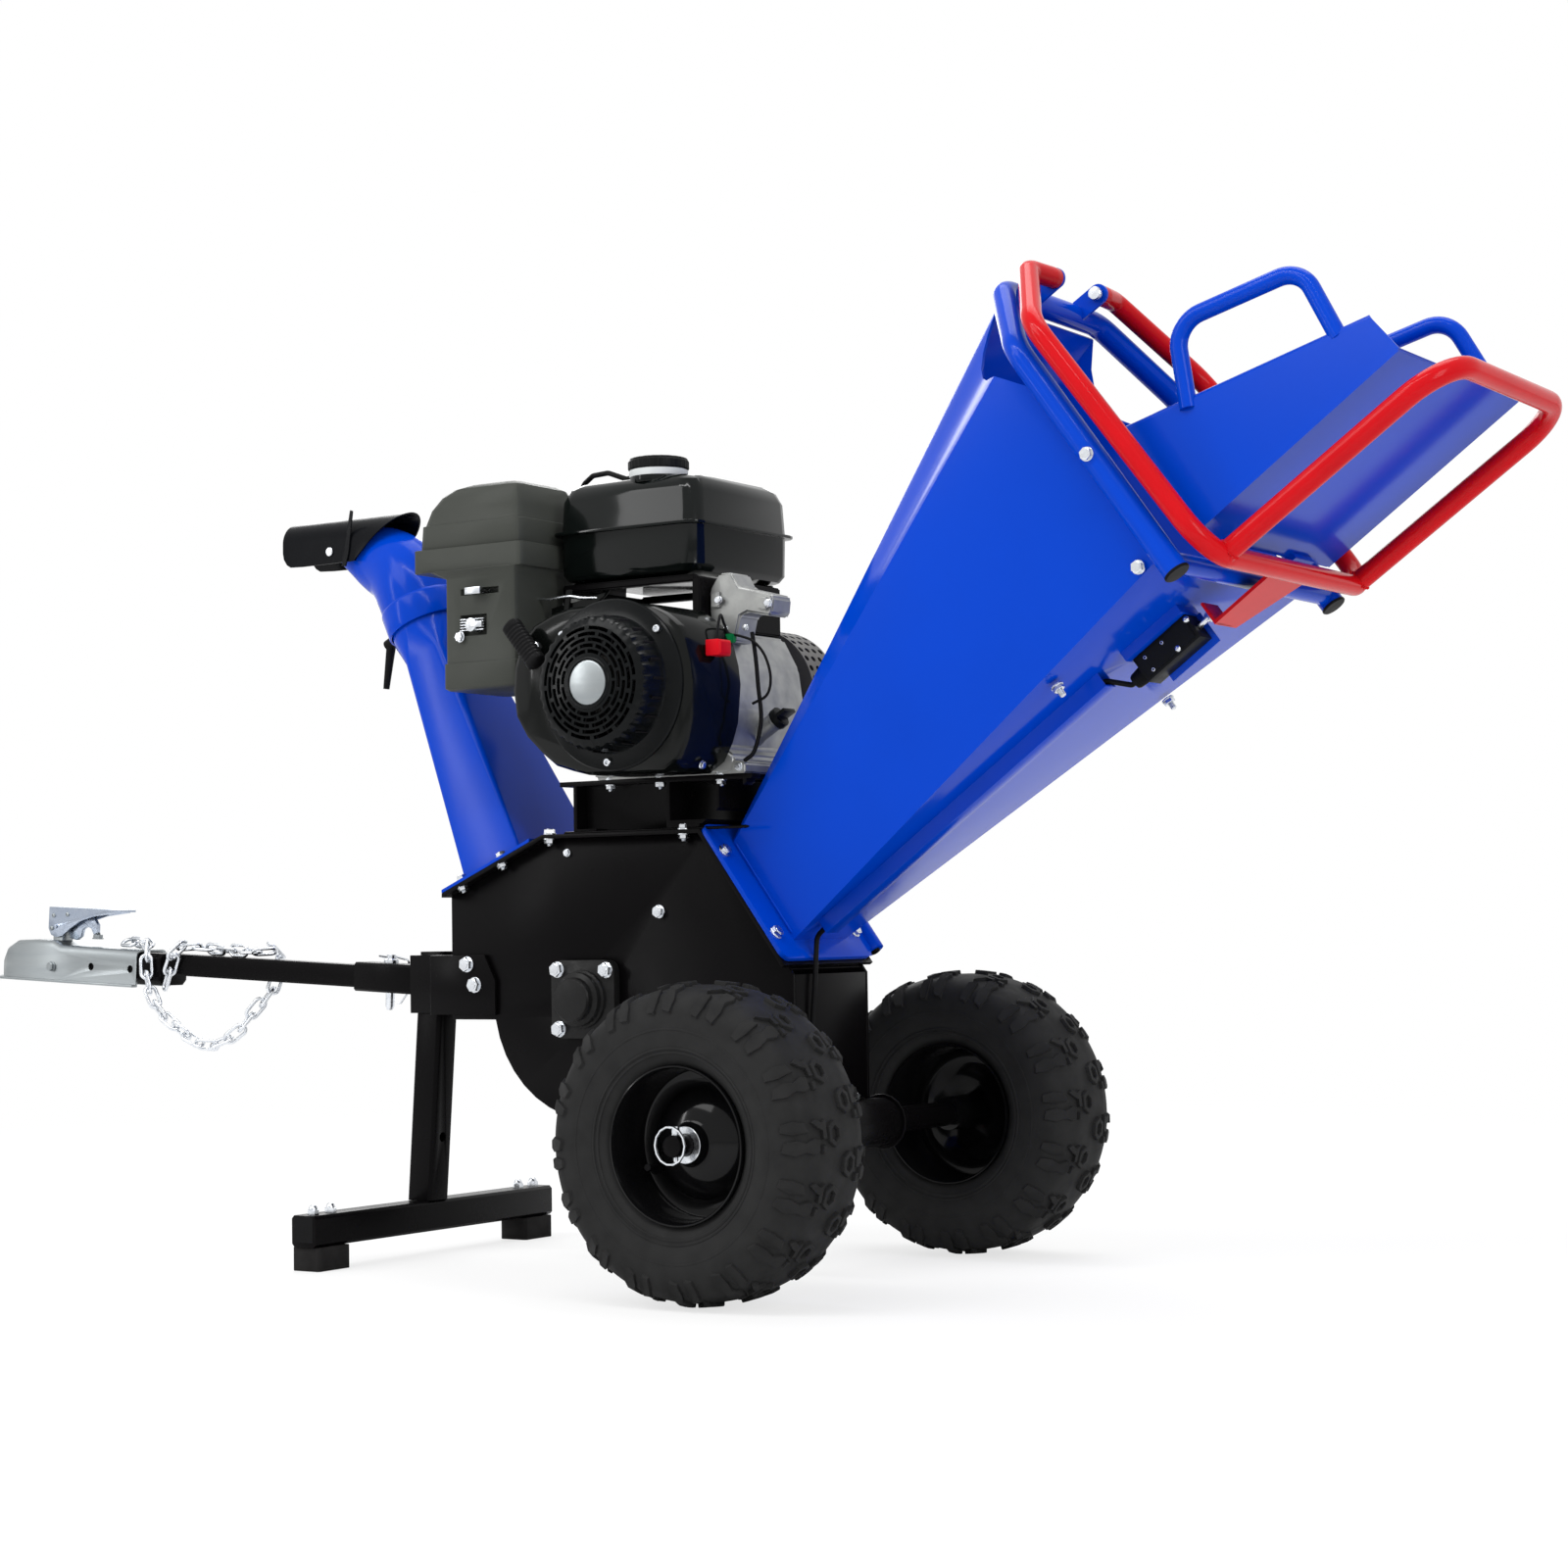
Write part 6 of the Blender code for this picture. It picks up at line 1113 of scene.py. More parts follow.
# %% Hood
def hood_skin(wall, n=28):
    """Rings of one skin of the hood, open below."""
    rings = []
    for x, r, low, slant in ((-.878, .0296, .9455, 0), (-.876, .03, .937, 0), (-.87, .0306, .929, 0),
                             (-.863, .0311, .925, 0), (-.84, .0322, .924, 0), (-.81, .0338, .924, 0),
                             (HOOD_X, .0352, .924, 0), (-.757, .0366, .924, 0), (-.73, .038, .924, .2),
                             (-.7, .04, .924, .62), (-.669, .042, .924, 1.12)):
        q = r - wall
        cz = HOOD_TOP - r
        ring = [(q, low)] + [(math.cos(t) * q, cz + math.sin(t) * q)
                             for t in [math.pi * k / n for k in range(n + 1)]] + [(-q, low)]
        rings.append([at(x - slant * (HOOD_TOP - z), y, z) for y, z in ring])
    return rings


bm = bmesh.new()
skins = [[[bm.verts.new(p) for p in ring] for ring in hood_skin(wall)] for wall in (0, 0.002)]
for skin in skins:
    for a, b in zip(skin, skin[1:]):
        for k in range(len(a) - 1):
            bm.faces.new((a[k], a[k + 1], b[k + 1], b[k]))
for edge in (0, -1):
    for k in range(len(skins[0][0]) - 1):
        bm.faces.new((skins[0][edge][k], skins[0][edge][k + 1], skins[1][edge][k + 1], skins[1][edge][k]))
    for a, b in zip(range(len(skins[0]) - 1), range(1, len(skins[0]))):
        bm.faces.new((skins[0][a][edge], skins[0][b][edge], skins[1][b][edge], skins[1][a][edge]))
piece("hood_trough", bm, hood_paint, "hood", 32, ["deflector_hood"])
bm = bmesh.new()
strap = [(-.764, .9185), (-.756, .9175), (-.75, .94), (-.746, .97), (-.743, .9915), (-.748, .993),
         (-.753, .97), (-.758, .942)]
rings_to_faces(bm, [[at(x, y, z) for x, z in strap] for y in (-.0392, -.0372)])
bmesh.ops.recalc_face_normals(bm, faces=bm.faces)
round_edges(bm, 0.0005)
piece("hood_strap", bm, hood_paint, "hood", 32)

# %% [markdown]
# ## Engine block
# The block is sand-cast aluminium. It is extruded from its side outline with softened edges, and it
# carries the crank boss, the cylinder seat, the oil filler neck and the bracket that holds the tank.
# Bosses are what catch the light on a casting, so they are modelled, not painted.

# %% Block, bosses and tank bracket
def prism(bm, outline, y0, y1, soften=0.0):
    """An XZ outline pulled along Y, with its corners softened."""
    extra = bmesh.new()
    rings_to_faces(extra, [[at(x, y, z) for x, z in outline] for y in (y0, y1)])
    if soften:
        bmesh.ops.recalc_face_normals(extra, faces=extra.faces)
        bmesh.ops.bevel(extra, geom=extra.edges[:], offset=soften, segments=3, affect="EDGES", clamp_overlap=True)
    pour(bm, extra)
    return bm


def bar(bm, x0, x1, z0, z1, y0, y1, soften):
    """A straight bar with softened edges, from its limits."""
    return prism(bm, [(x0, z0), (x1, z0), (x1, z1), (x0, z1)], y0, y1, soften)


CASE = [(-0.3, 0.6083), (-0.09, 0.6083), (-0.09, 0.63), (-0.105, 0.64), (-0.1, 0.69), (-0.108, 0.745),
        (-0.13, 0.785), (-0.222, 0.806), (-0.262, 0.796), (-0.3, 0.76)]
bm = prism(bmesh.new(), CASE, -0.0995, 0.08, 0.004)
prism(bm, [(-0.1, 0.6083), (-0.0745, 0.6083), (-0.0745, 0.62), (-0.084, 0.624), (-0.1, 0.624)], -0.0985, 0.078,
      0.002)
lathe([(.001, .07), (.052, .07), (.052, .086), (.049, .0885), (.026, .09), (.024, .092), (.024, .0965), (.001, .097)],
      at(CRANK_X, 0, CRANK_Z), (0, 1, 0), 48, bm)
neck_at = at(-0.116, -0.02, 0.654)
NECK_DIR = Vector((0.86, 0, 0.51)).normalized()
lathe([(.001, 0), (.014, 0), (.0125, .01), (.0115, .014), (.0115, .0385), (.0128, .04), (.0128, .0418), (.001, .0419)],
      neck_at, NECK_DIR, 32, bm)
turned = Matrix.Translation(at(CRANK_X, 0, CRANK_Z)) @ Matrix.Rotation(math.radians(192), 4, "Y")
block(bm, (0.088, -0.0365, -0.041), (0.1217, 0.06, 0.041), turned)
bracket = [(-0.1405, 0.835), (-0.136, 0.842), (-0.126, 0.855), (-0.108, 0.855), (-0.098, 0.837),
           (-0.05, 0.8245), (-0.0475, 0.82), (-0.05, 0.801), (-0.054, 0.798), (-0.086, 0.805),
           (-0.096, 0.801), (-0.104, 0.77), (-0.14, 0.77)]
prism(bm, bracket, -0.072, -0.03, 0.003)
prism(bm, [(-0.136, 0.83), (-0.124, 0.833), (-0.124, 0.813), (-0.136, 0.813)], -0.076, -0.07, 0.0012)
prism(bm, [(-0.068, 0.8235), (-0.0545, 0.82), (-0.0555, 0.8045), (-0.068, 0.807)], -0.076, -0.07, 0.0012)
piece("engine_block", bm, cast_alloy, "machine", 35, ["crankcase"])

# %% [markdown]
# The clutter between the air cleaner and the fan shroud is the carburettor with its rods: a cast
# body, a bent throttle rod, a control plate, the tank's rails and the fuel line. Each is a prism or a
# tube, which is enough here, because little of it shows between the covers.

# %% Carburettor, rods and rails
bm = bar(bmesh.new(), -0.352, -0.15, 0.846, 0.8555, -0.09, -0.078, 0.002)
bar(bm, -0.352, -0.15, 0.846, 0.8555, 0.078, 0.09, 0.002)
bar(bm, -0.1545, -0.142, 0.79, 0.852, -0.09, 0.09, 0.002)
bar(bm, -0.352, -0.344, 0.81, 0.852, -0.09, 0.09, 0.002)
piece("tank_rails", bm, frame_paint, "machine", 35)
bm = prism(bmesh.new(), [(-0.356, 0.798), (-0.318, 0.8), (-0.314, 0.83), (-0.34, 0.84), (-0.356, 0.836)],
           -0.088, -0.044, 0.003)
lathe([(.001, 0), (.015, 0), (.016, .002), (.016, .018), (.014, .022), (.001, .022)],
      at(-0.336, -0.066, 0.776), (0, 0, 1), 32, bm)
piece("carburettor", bm, cast_alloy, "machine", 35)
rod_line = curve_path([at(-0.3738, -0.118, 0.8387), at(-0.35, -0.12, 0.836), at(-0.32, -0.12, 0.8375),
                       at(-0.3, -0.118, 0.834), at(-0.2819, -0.112, 0.8331)], 6)
piece("throttle_rod", tube(bmesh.new(), rod_line, 0.0016, 10), zinc, "machine", 60)
bm = prism(bmesh.new(), [(-0.352, 0.812), (-0.3, 0.819), (-0.27, 0.834), (-0.268, 0.839), (-0.3, 0.833),
                         (-0.352, 0.825)], -0.113, -0.1105, 0.0006)
prism(bm, [(-0.33, 0.82), (-0.322, 0.82), (-0.318, 0.846), (-0.326, 0.846)], -0.117, -0.1135, 0.0006)
piece("control_plate", bm, shroud_paint, "machine", 35)
fuel_line = curve_path([at(-0.3, -0.06, 0.856), at(-0.302, -0.066, 0.846), at(-0.31, -0.076, 0.833),
                        at(-0.326, -0.086, 0.82), at(-0.336, -0.088, 0.806)], 6)
piece("fuel_line", tube(bmesh.new(), fuel_line, 0.0036, 12), hose_rubber, "machine", 60)
piece("neck_ring", lathe([(.03, .9835), (.0362, .9835), (.0368, .985), (.0368, .9912), (.036, .9922),
                          (.03, .9922)], at(-0.224, -0.058, 0), (0, 0, 1), 64, closed=True), pale_plastic,
      "machine")

# %% [markdown]
# ### Stop-switch wires
# A thin wire leaves the stop switch, passes a green plug under the tank bracket, bows out and ends
# lower on the block. A thicker black cable runs down beside it. They are fixed engine wiring, so they
# are plain tubes along smooth lines and not cords.

# %% Wires
wire_at = [(-.079, -.15, .76), (-.087, -.128, .796), (-.096, -.106, .788), (-.0919, -.103, .777),
           (-.0749, -.103, .7725), (-.0566, -.103, .765), (-.042, -.101, .7477), (-.0345, -.1, .7215),
           (-.04, -.1, .7), (-.0608, -.1, .6904)]
line = curve_path([at(*p) for p in wire_at], 8)
piece("switch_wire", tube(bmesh.new(), line, 0.0017, 10), cable_pvc, "machine", 60)
down = curve_path([at(-.06, -.1, .7765), at(-.056, -.099, .745), at(-.0534, -.0985, .7112),
                   at(-.05, -.0985, .67), at(-.06, -.0985, .6344), at(-.076, -.096, .623)], 8)
piece("block_cable", tube(bmesh.new(), down, 0.0026, 12), cable_pvc, "machine", 60)
bm = bmesh.new()
block(bm, at(-0.099, -0.108, 0.765), at(-0.083, -0.099, 0.776))
round_edges(bm, 0.0012)
green = surface("green moulded connector", "0B6B3A", 0.35, grain_mm=1.0, bump_mm=0.02, shade=0.1, patch_mm=10)
piece("wire_plug", bm, green, "machine", 35)

# %% [markdown]
# ## Belt guard
# The guard is a folded band round both pulleys, punched all over with round holes so the clutch gets
# air, with a plain cover outside and a back plate. Each cell of the band is a square with a real hole.

# %% Outline of the guard
DRUM_X, DRUM_Z, GUARD_R, GUARD_Y0, GUARD_Y1 = -0.323, 0.337, 0.09, 0.106, 0.168
lean_to = math.atan2(CRANK_Z - DRUM_Z, CRANK_X - DRUM_X)


def guard_outline(r, n=40):
    """A closed line round both pulleys."""
    pts = []
    for cx, cz, t0 in ((CRANK_X, CRANK_Z, lean_to - math.pi / 2), (DRUM_X, DRUM_Z, lean_to + math.pi / 2)):
        pts += [(cx + math.cos(t0 + math.pi * k / n) * r, cz + math.sin(t0 + math.pi * k / n) * r)
                for k in range(n + 1)]
    return pts


outline = guard_outline(GUARD_R)
loop_pts = [Vector((x, z)) for x, z in outline] + [Vector(outline[0])]
reach = [0.0]
for a, b in zip(loop_pts, loop_pts[1:]):
    reach.append(reach[-1] + (b - a).length)


def on_band(s, inward):
    """Point of the band's line at a distance along it, and moved inward."""
    s = s % reach[-1]
    k = max(i for i in range(len(reach)) if reach[i] <= s + 1e-9)
    k = min(k, len(loop_pts) - 2)
    f = (s - reach[k]) / (reach[k + 1] - reach[k])
    p = loop_pts[k].lerp(loop_pts[k + 1], f)
    d = (loop_pts[k + 1] - loop_pts[k]).normalized()
    return p.x - d.y * inward, p.y + d.x * inward


# %% [markdown]
# Each cell joins 16 points on a square to 16 points on a circle, wrapped round the band. A boolean
# would cut the same holes, but it leaves uneven faces.

# %% Perforated band
CELLS = round(reach[-1] / 0.0148)
CELL = reach[-1] / CELLS
ROWS = 4
HIGH = (GUARD_Y1 - GUARD_Y0) / ROWS
HOLE_R = 0.0043
bm = bmesh.new()
square = [(-1, -1), (0, -1), (1, -1), (1, 0), (1, 1), (0, 1), (-1, 1), (-1, 0)]
for i in range(CELLS):
    for j in range(ROWS):
        cs, cy = (i + 0.5) * CELL, GUARD_Y0 + (j + 0.5) * HIGH
        rings = []
        for kind in range(2):
            ring = []
            for q in range(16):
                t = math.radians(-135 + 22.5 * q)
                if kind == 0:
                    a, b = square[q // 2]
                    if q % 2:
                        c, d = square[(q // 2 + 1) % 8]
                        a, b = (a + c) / 2, (b + d) / 2
                    s, y = cs + a * CELL / 2, cy + b * HIGH / 2
                else:
                    s, y = cs + math.cos(t) * HOLE_R, cy + math.sin(t) * HOLE_R
                x, z = on_band(s, 0.0)
                ring.append(bm.verts.new(at(x, y, z)))
            rings.append(ring)
        for q in range(16):
            bm.faces.new((rings[0][q], rings[0][(q + 1) % 16], rings[1][(q + 1) % 16], rings[1][q]))
bmesh.ops.remove_doubles(bm, verts=bm.verts, dist=0.0002)
bmesh.ops.recalc_face_normals(bm, faces=bm.faces)
bmesh.ops.solidify(bm, geom=bm.faces[:] + bm.edges[:] + bm.verts[:], thickness=0.0016)
# %% [markdown]
# The two plates are filled outlines, the inner one with openings for the shafts. Four short posts
# hold it off the housing and the engine.

# %% Plates and posts
for y0, y1, holes in ((GUARD_Y1 - 0.0016, GUARD_Y1 + 0.0004, ()),
                      (GUARD_Y0 - 0.0004, GUARD_Y0 + 0.0016, ((CRANK_X, CRANK_Z, 0.03), (DRUM_X, DRUM_Z, 0.074)))):
    flat = bmesh.new()
    cut = [[(cx + math.cos(t) * r, cz + math.sin(t) * r) for t in turns(40)] for cx, cz, r in holes]
    for ring in [guard_outline(GUARD_R - 0.0003)] + cut:
        vs = [flat.verts.new(at(x, y0, z)) for x, z in ring]
        for k in range(len(vs)):
            flat.edges.new((vs[k], vs[(k + 1) % len(vs)]))
    bmesh.ops.triangle_fill(flat, use_beauty=True, use_dissolve=False, edges=flat.edges[:])
    bmesh.ops.dissolve_limit(flat, angle_limit=0.01, verts=flat.verts[:], edges=flat.edges[:])
    up = bmesh.ops.extrude_face_region(flat, geom=flat.faces[:])["geom"]
    bmesh.ops.translate(flat, vec=(0, y1 - y0, 0), verts=[v for v in up if isinstance(v, bmesh.types.BMVert)])
    pour(bm, flat, "flat")
STAND_OFFS = ((DRUM_X, DRUM_Z, 0.082, (-40, -140), 0.0858), (CRANK_X, CRANK_Z, 0.042, (20, 160), 0.0892))
for cx, cz, r, angles, y0 in STAND_OFFS:
    for deg in angles:
        t = math.radians(deg)
        lathe([(.0001, 0), (.005, 0), (.005, GUARD_Y0 - y0 + 0.0007), (.0001, GUARD_Y0 - y0 + 0.0007)],
              at(cx + math.cos(t) * r, y0, cz + math.sin(t) * r), (0, 1, 0), 16, bm)
piece("guard_band", bm, guard_paint, "machine", 35, ["belt_guard"])

# %% [markdown]
# ## Screws, nuts and studs
# The machine is bolted together with plated hex screws on washers, nuts with the thread showing, and
# a few socket and dome heads. Each kind is modelled once at an M8 size and set at its places by the
# point tree, which turns it to its surface. All screws of one kind on one body make one mesh.

# %% One part of each kind
def hexagon_head(bm, low, high, across, chamfer=0.0006, n=6):
    """A six-sided head with its corners eased."""
    r = across / 2 / math.cos(math.pi / n)
    rings = []
    for radius, z in ((r, low), (r, high - chamfer), (r - chamfer * 1.6, high)):
        rings.append([Vector((math.cos(t) * radius, math.sin(t) * radius, z)) for t in turns(n)])
    return rings_to_faces(bm, rings)


def make_kind(kind):
    """The mesh of one fastener, standing on its surface along +Z."""
    bm = bmesh.new()
    up = (0, 0, 1)
    origin = (0, 0, 0)
    if kind in ("hex", "nut", "stud"):
        lathe([(.0001, -.0005), (.0082, -.0005), (.0084, -.0003), (.0084, .0012), (.008, .0015), (.0001, .0015)],
              origin, up, 28, bm)
        hexagon_head(bm, .0014, .0066, .013)
        if kind == "hex":
            lathe([(.0001, .006), (.0052, .0064), (.005, .007), (.0001, .0071)], origin, up, 24, bm)
        else:
            reach = .0095 if kind == "nut" else .015
            rows = []
            for k in range(int((reach - .006) / .0006)):
                rows += [(.0039, .006 + .0006 * k), (.0035, .0063 + .0006 * k)]
            lathe([(.0001, .006)] + rows + [(.003, reach), (.0001, reach)], origin, up, 16, bm)
    elif kind == "dome":
        lathe([(.0001, -.0005), (.0068, -.0005), (.0068, .0004), (.006, .0024), (.004, .004), (.0022, .0045),
               (.0021, .003), (.0001, .003)], origin, up, 28, bm)
    elif kind == "acorn":
        hexagon_head(bm, -.0004, .006, .013)
        lathe([(.006, .005), (.0058, .007), (.0048, .0098), (.0028, .0116), (.0001, .0122)], origin, up, 24, bm)
    elif kind == "cap":
        lathe([(.0001, -.0005), (.0062, -.0005), (.0062, .0056), (.0056, .0064), (.0034, .0064), (.0032, .0034),
               (.0001, .0034)], origin, up, 24, bm)
    return bm


sample = make_kind("hex")
print("a hex head with its washer has", len(sample.faces), "faces")
sample.free()

# %% [markdown]
# A group of fasteners is a list of points, the way they face and a size. Places on the near side were
# read from the photograph; those on the far side mirror them or are guesses.

# %% Where they sit
NEAR = Vector((0, -1, 0))
FARWARD = Vector((0, 1, 0))
UP = Vector((0, 0, 1))
DOWN = Vector((0, 0, -1))
LEFT_UP = Vector((-math.sin(LEFT_TILT), 0, math.cos(LEFT_TILT)))
HOP_OUT = Vector((math.cos(TILT), 0, math.sin(TILT)))
HOP_UP = Vector((-math.sin(TILT), 0, math.cos(TILT)))
TOW_DIR = TOW.to_3x3()
SET = []


def place_at(kind, body, spots, aim, size=1.0, look=None):
    """Remembers a group of fasteners."""
    SET.append((kind, body, [Vector(s) for s in spots], Vector(aim).normalized(), size, look or zinc))


place_at("hex", "machine", [at(-.2126, -.0855, .4441)], NEAR)
place_at("hex", "machine", [at(-.361, -.0973, .374), at(-.286, -.0973, .373), at(-.359, -.0973, .3),
                            at(-.286, -.0973, .3)], NEAR, 1.2)
place_at("hex", "machine", [at(-.361, .0973, .374), at(-.286, .0973, .373), at(-.359, .0973, .3),
                            at(-.286, .0973, .3)], FARWARD, 1.05)
for side in (-1, 1):
    place_at("nut", "machine", [at(x, side * .093, .538) for x in (-.3746, -.1688)], DOWN, 0.95)
    place_at("hex", "machine", [at(x, side * .093, .5436) for x in (-.3746, -.1688)], UP, 0.95)
    place_at("nut", "machine", [at(x, side * .093, slope_z(LEFT_D - .004, x)) for x in (-.4512, -.5156)],
             -LEFT_UP, 0.9)
    place_at("hex", "machine", [at(x, side * .093, slope_z(LEFT_D + .0042, x)) for x in (-.4512, -.5156)],
             LEFT_UP, 0.9)
    place_at("nut", "machine", [at(x, side * .0905, .6083) for x in (-.2802, -.2043, -.1143)], UP, 0.85)
    place_at("nut", "machine", [at(x, side * .0905, .6018) for x in (-.2802, -.2043, -.1143)], DOWN, 0.85)
    place_at("hex", "hopper", [hop(.2116, side * .089, v) for v in (.483, .36)], HOP_OUT, 1.05)
place_at("hex", "machine", [at(-.3529, -.0855, .52)], NEAR, 0.6)
place_at("hex", "machine", [at(-.1446, -.087, .54)], NEAR, 0.6)
place_at("hex", "machine", [at(-.5113, -.0903, .3816), at(-.4989, -.0903, .3553)], NEAR, 1.2)
place_at("nut", "machine", [at(-.5113, .0903, .3816), at(-.4989, .0903, .3553)], FARWARD, 1.05)
place_at("cap", "machine", [at(-.1243, -.2047, .7769), at(-.264, -.2045, .779), at(-.1988, -.2045, .622)], NEAR, 0.75)
place_at("hex", "machine", [at(-.1018, -.15, .617)], (0.9, 0, -0.2), 0.6)
place_at("hex", "machine", [at(-.083, -.0985, .616)], NEAR, 0.6)
place_at("hex", "machine", [at(-.4506, -.1715, .7915)], NEAR, 0.8)
place_at("hex", "machine", [at(-.124, -.076, .8215), at(-.052, -.076, .813)], NEAR, 0.62)
place_at("nut", "machine", [at(-.088, -.072, .786), at(-.118, -.072, .786)], NEAR, 0.5)
REAR = (1, 0, 0)
place_at("hex", "machine", [at(-.0165, y, z) for y, z in ((-.032, .285), (.003, .251), (.046, .214))], REAR, 0.7)
place_at("acorn", "machine", [at(-.656, y, .0702) for y in (-.2245, -.192, .192, .2245)], UP, 1.0)
place_at("nut", "machine", [TOW @ Vector((-.5538, 0, .0297))], TOW_DIR @ UP, 0.95, dull_zinc)
place_at("hex", "machine", [TOW @ Vector((-.6138, -.0309, -.0122))], TOW_DIR @ NEAR, 0.85, dull_zinc)
place_at("nut", "machine", [TOW @ Vector((-.6138, .0309, -.0122))], TOW_DIR @ FARWARD, 0.85, dull_zinc)
place_at("dome", "hopper", [hop(.838, SWITCH_Y - .0155, .327), hop(.811, SWITCH_Y - .0155, .3075)], NEAR, 0.62)
place_at("cap", "hopper", [hop(.8, SWITCH_Y - .0155, .325), hop(.774, SWITCH_Y - .0155, .3075),
                           hop(.774, SWITCH_Y - .0155, .325)], NEAR, 0.36)

for spot in (hop(.698, -.129, .3398), hop(.6995, .15, .3398)):
    place_at("stud", "hopper", [spot], -HOP_UP, 0.95)
place_at("hex", "hopper", [hop(.912, -.2225, .479), hop(.877, -.1985, .352)], NEAR, 0.95)
place_at("dome", "machine", [TOW @ Vector((-.6303, -.0145, .0608)), TOW @ Vector((-.6022, -.0145, .0632)),
                             TOW @ Vector((-.6335, -.0145, .0421))], TOW_DIR @ NEAR, 0.5, dull_zinc)

# %% [markdown]
# Fasteners of one kind, body and finish are gathered. Each point is given its aim and its size, and
# the point tree turns the group into one mesh.

# %% Setting them out
GROUPS = {}
for kind, body, spots, aim, size, look in SET:
    GROUPS.setdefault((kind, body, look), []).append((spots, aim, size))
for number, ((kind, body, look), rows) in enumerate(GROUPS.items()):
    spots = [s for row in rows for s in row[0]]
    mesh = bpy.data.meshes.new("spots")
    mesh.from_pydata(spots, [], [])
    mesh.attributes.new("aim", "FLOAT_VECTOR", "POINT")
    mesh.attributes.new("size", "FLOAT", "POINT")
    k = 0
    for group, aim, size in rows:
        for _ in group:
            mesh.attributes["aim"].data[k].vector = aim
            mesh.attributes["size"].data[k].value = size
            k += 1
    holder = new_object("spots", mesh)
    part = loose(make_kind(kind))
    result = set_out(holder, POINTS, {"Part": part, "Look": look})
    bpy.data.objects.remove(holder)
    bpy.data.objects.remove(part)
    finish_piece("%s_heads_%s_%d" % (kind, body, number), result, look, body, 35)
print(sum(len(row[0]) for rows in GROUPS.values() for row in rows), "fasteners")

# %% [markdown]
# ## Small fittings
# These are the parts a stand-in would leave out: the axle ends with their washers, the ribbed gland
# and lid of the safety switch, plugs in the foot bar's ends, the grip ribs of the fuel cap, the strips
# behind the fuel valve and the weld beads where tubes meet sheet.

# %% Axle ends and bar plugs
for name, side in SIDES:
    hub_side = at(0, side * 0.3395, WHEEL_R)
    piece("axle_washer_" + name, lathe([(.0129, 0), (.0205, 0), (.0208, .0004), (.0208, .0016), (.0204, .002),
                                        (.0129, .002)], hub_side, (0, side, 0), 48, closed=True), zinc, "machine")
for k, side in enumerate((-1, 1)):
    bm = bmesh.new()
    y0, y1 = sorted((side * .2427, side * .2412))
    block(bm, at(-.6715, y0, .0355), at(-.6405, y1, .068))
    round_edges(bm, 0.0006)
    piece("bar_end_plug_%d" % k, bm, grip_plastic, "machine")

# %% [markdown]
# The safety switch has a lid and, where its lead comes out, a gland of seven rings. The fuel cap has
# 36 ribs round its rim, made by drawing in every second pair of points on the ring.

# %% Safety switch lid, gland and fuel cap ribs
CAP_X, CAP_Y = -0.224, -0.058
bm = bmesh.new()
for k in range(7):
    s = 0.761 - 0.0026 * k
    r = 0.0112 - 0.0003 * k
    lathe([(.004, 0), (r, 0), (r, .0013), (r - .0016, .0016), (r - .0016, .0026), (.004, .0026)],
          hop(s, SWITCH_Y, SWITCH_V), -HOP_OUT, 28, bm, closed=True)
piece("switch_gland", bm, switch_black, "hopper")
bm = bmesh.new()
turned = Matrix.Translation(AXLE) @ Matrix.Rotation(-TILT, 4, "Y")
block(bm, (0.763, SWITCH_Y - 0.0172, 0.3035), (0.837, SWITCH_Y - 0.015, 0.3305), turned)
round_edges(bm, 0.001)
piece("switch_lid", bm, switch_black, "hopper")
bm = bmesh.new()
rings = []
for radius, z in ((.0372, .9929), (.0381, .994), (.0381, 1.0025), (.0366, 1.0048)):
    rings.append([at(CAP_X + math.cos(t) * r, CAP_Y + math.sin(t) * r, z)
                  for t, r in [(2 * math.pi * k / 144, radius - (.0011 if k % 4 < 2 else 0)) for k in range(144)]])
rings_to_faces(bm, rings)
lathe([(.0001, 1.004), (.0366, 1.0048), (.0362, 1.0062), (.033, 1.0072), (.03, 1.0066), (.025, 1.0068),
       (.024, 1.0078), (.0001, 1.0079)], at(CAP_X, CAP_Y, 0), UP, 72, bm)
piece("cap_grip", bm, cap_plastic, "tank_cap", 25)

# %% [markdown]
# Five plated strips show behind the fuel valve, in the window of the air cleaner. A weld bead is a
# thin tube whose radius goes up and down, which reads as its ripples.

# %% Valve guide and weld beads
bm = bmesh.new()
for k in range(5):
    z = 0.7985 + 0.0034 * k
    block(bm, at(-0.45, -0.173, z), at(-0.413, -0.169, z + 0.0013))
round_edges(bm, 0.0003, 1)
piece("valve_guide", bm, zinc, "machine")


def bead(bm, a, b, radius=0.0022, steps=None):
    """A weld bead with its ripples between two points."""
    a, b = Vector(a), Vector(b)
    n = steps or max(6, int((b - a).length / 0.0028))
    path = [a.lerp(b, k / n) for k in range(n + 1)]
    tube(bm, path, [radius * (1.0 if k % 2 else 0.82) * (0.4 if k in (0, n) else 1) for k in range(n + 1)], 8)


bm = bmesh.new()
bead(bm, at(-.544, -.0905, .3905), at(-.544, .0905, .3905))
for y in (-.095, .095):
    bead(bm, at(-.35, y, .544), at(-.072, y, .544))
piece("weld_beads_frame", bm, frame_paint, "machine", 60)
bm = bmesh.new()
for y in (-CHUTE_Y - .001, CHUTE_Y + .001):
    bead(bm, *[at(x, y, slope_z(LEFT_D + .0048, x)) for x in (CHUTE_X0 + .004, CHUTE_X1 - .004)])
piece("weld_beads_chute", bm, blue_paint, "machine", 60)
bm = bmesh.new()
for s in (-1, 1):
    bead(bm, hop(.2152, s * .059, .356), hop(.2152, s * .059, .495), 0.002)
piece("weld_beads_hopper", bm, blue_paint, "hopper", 60)

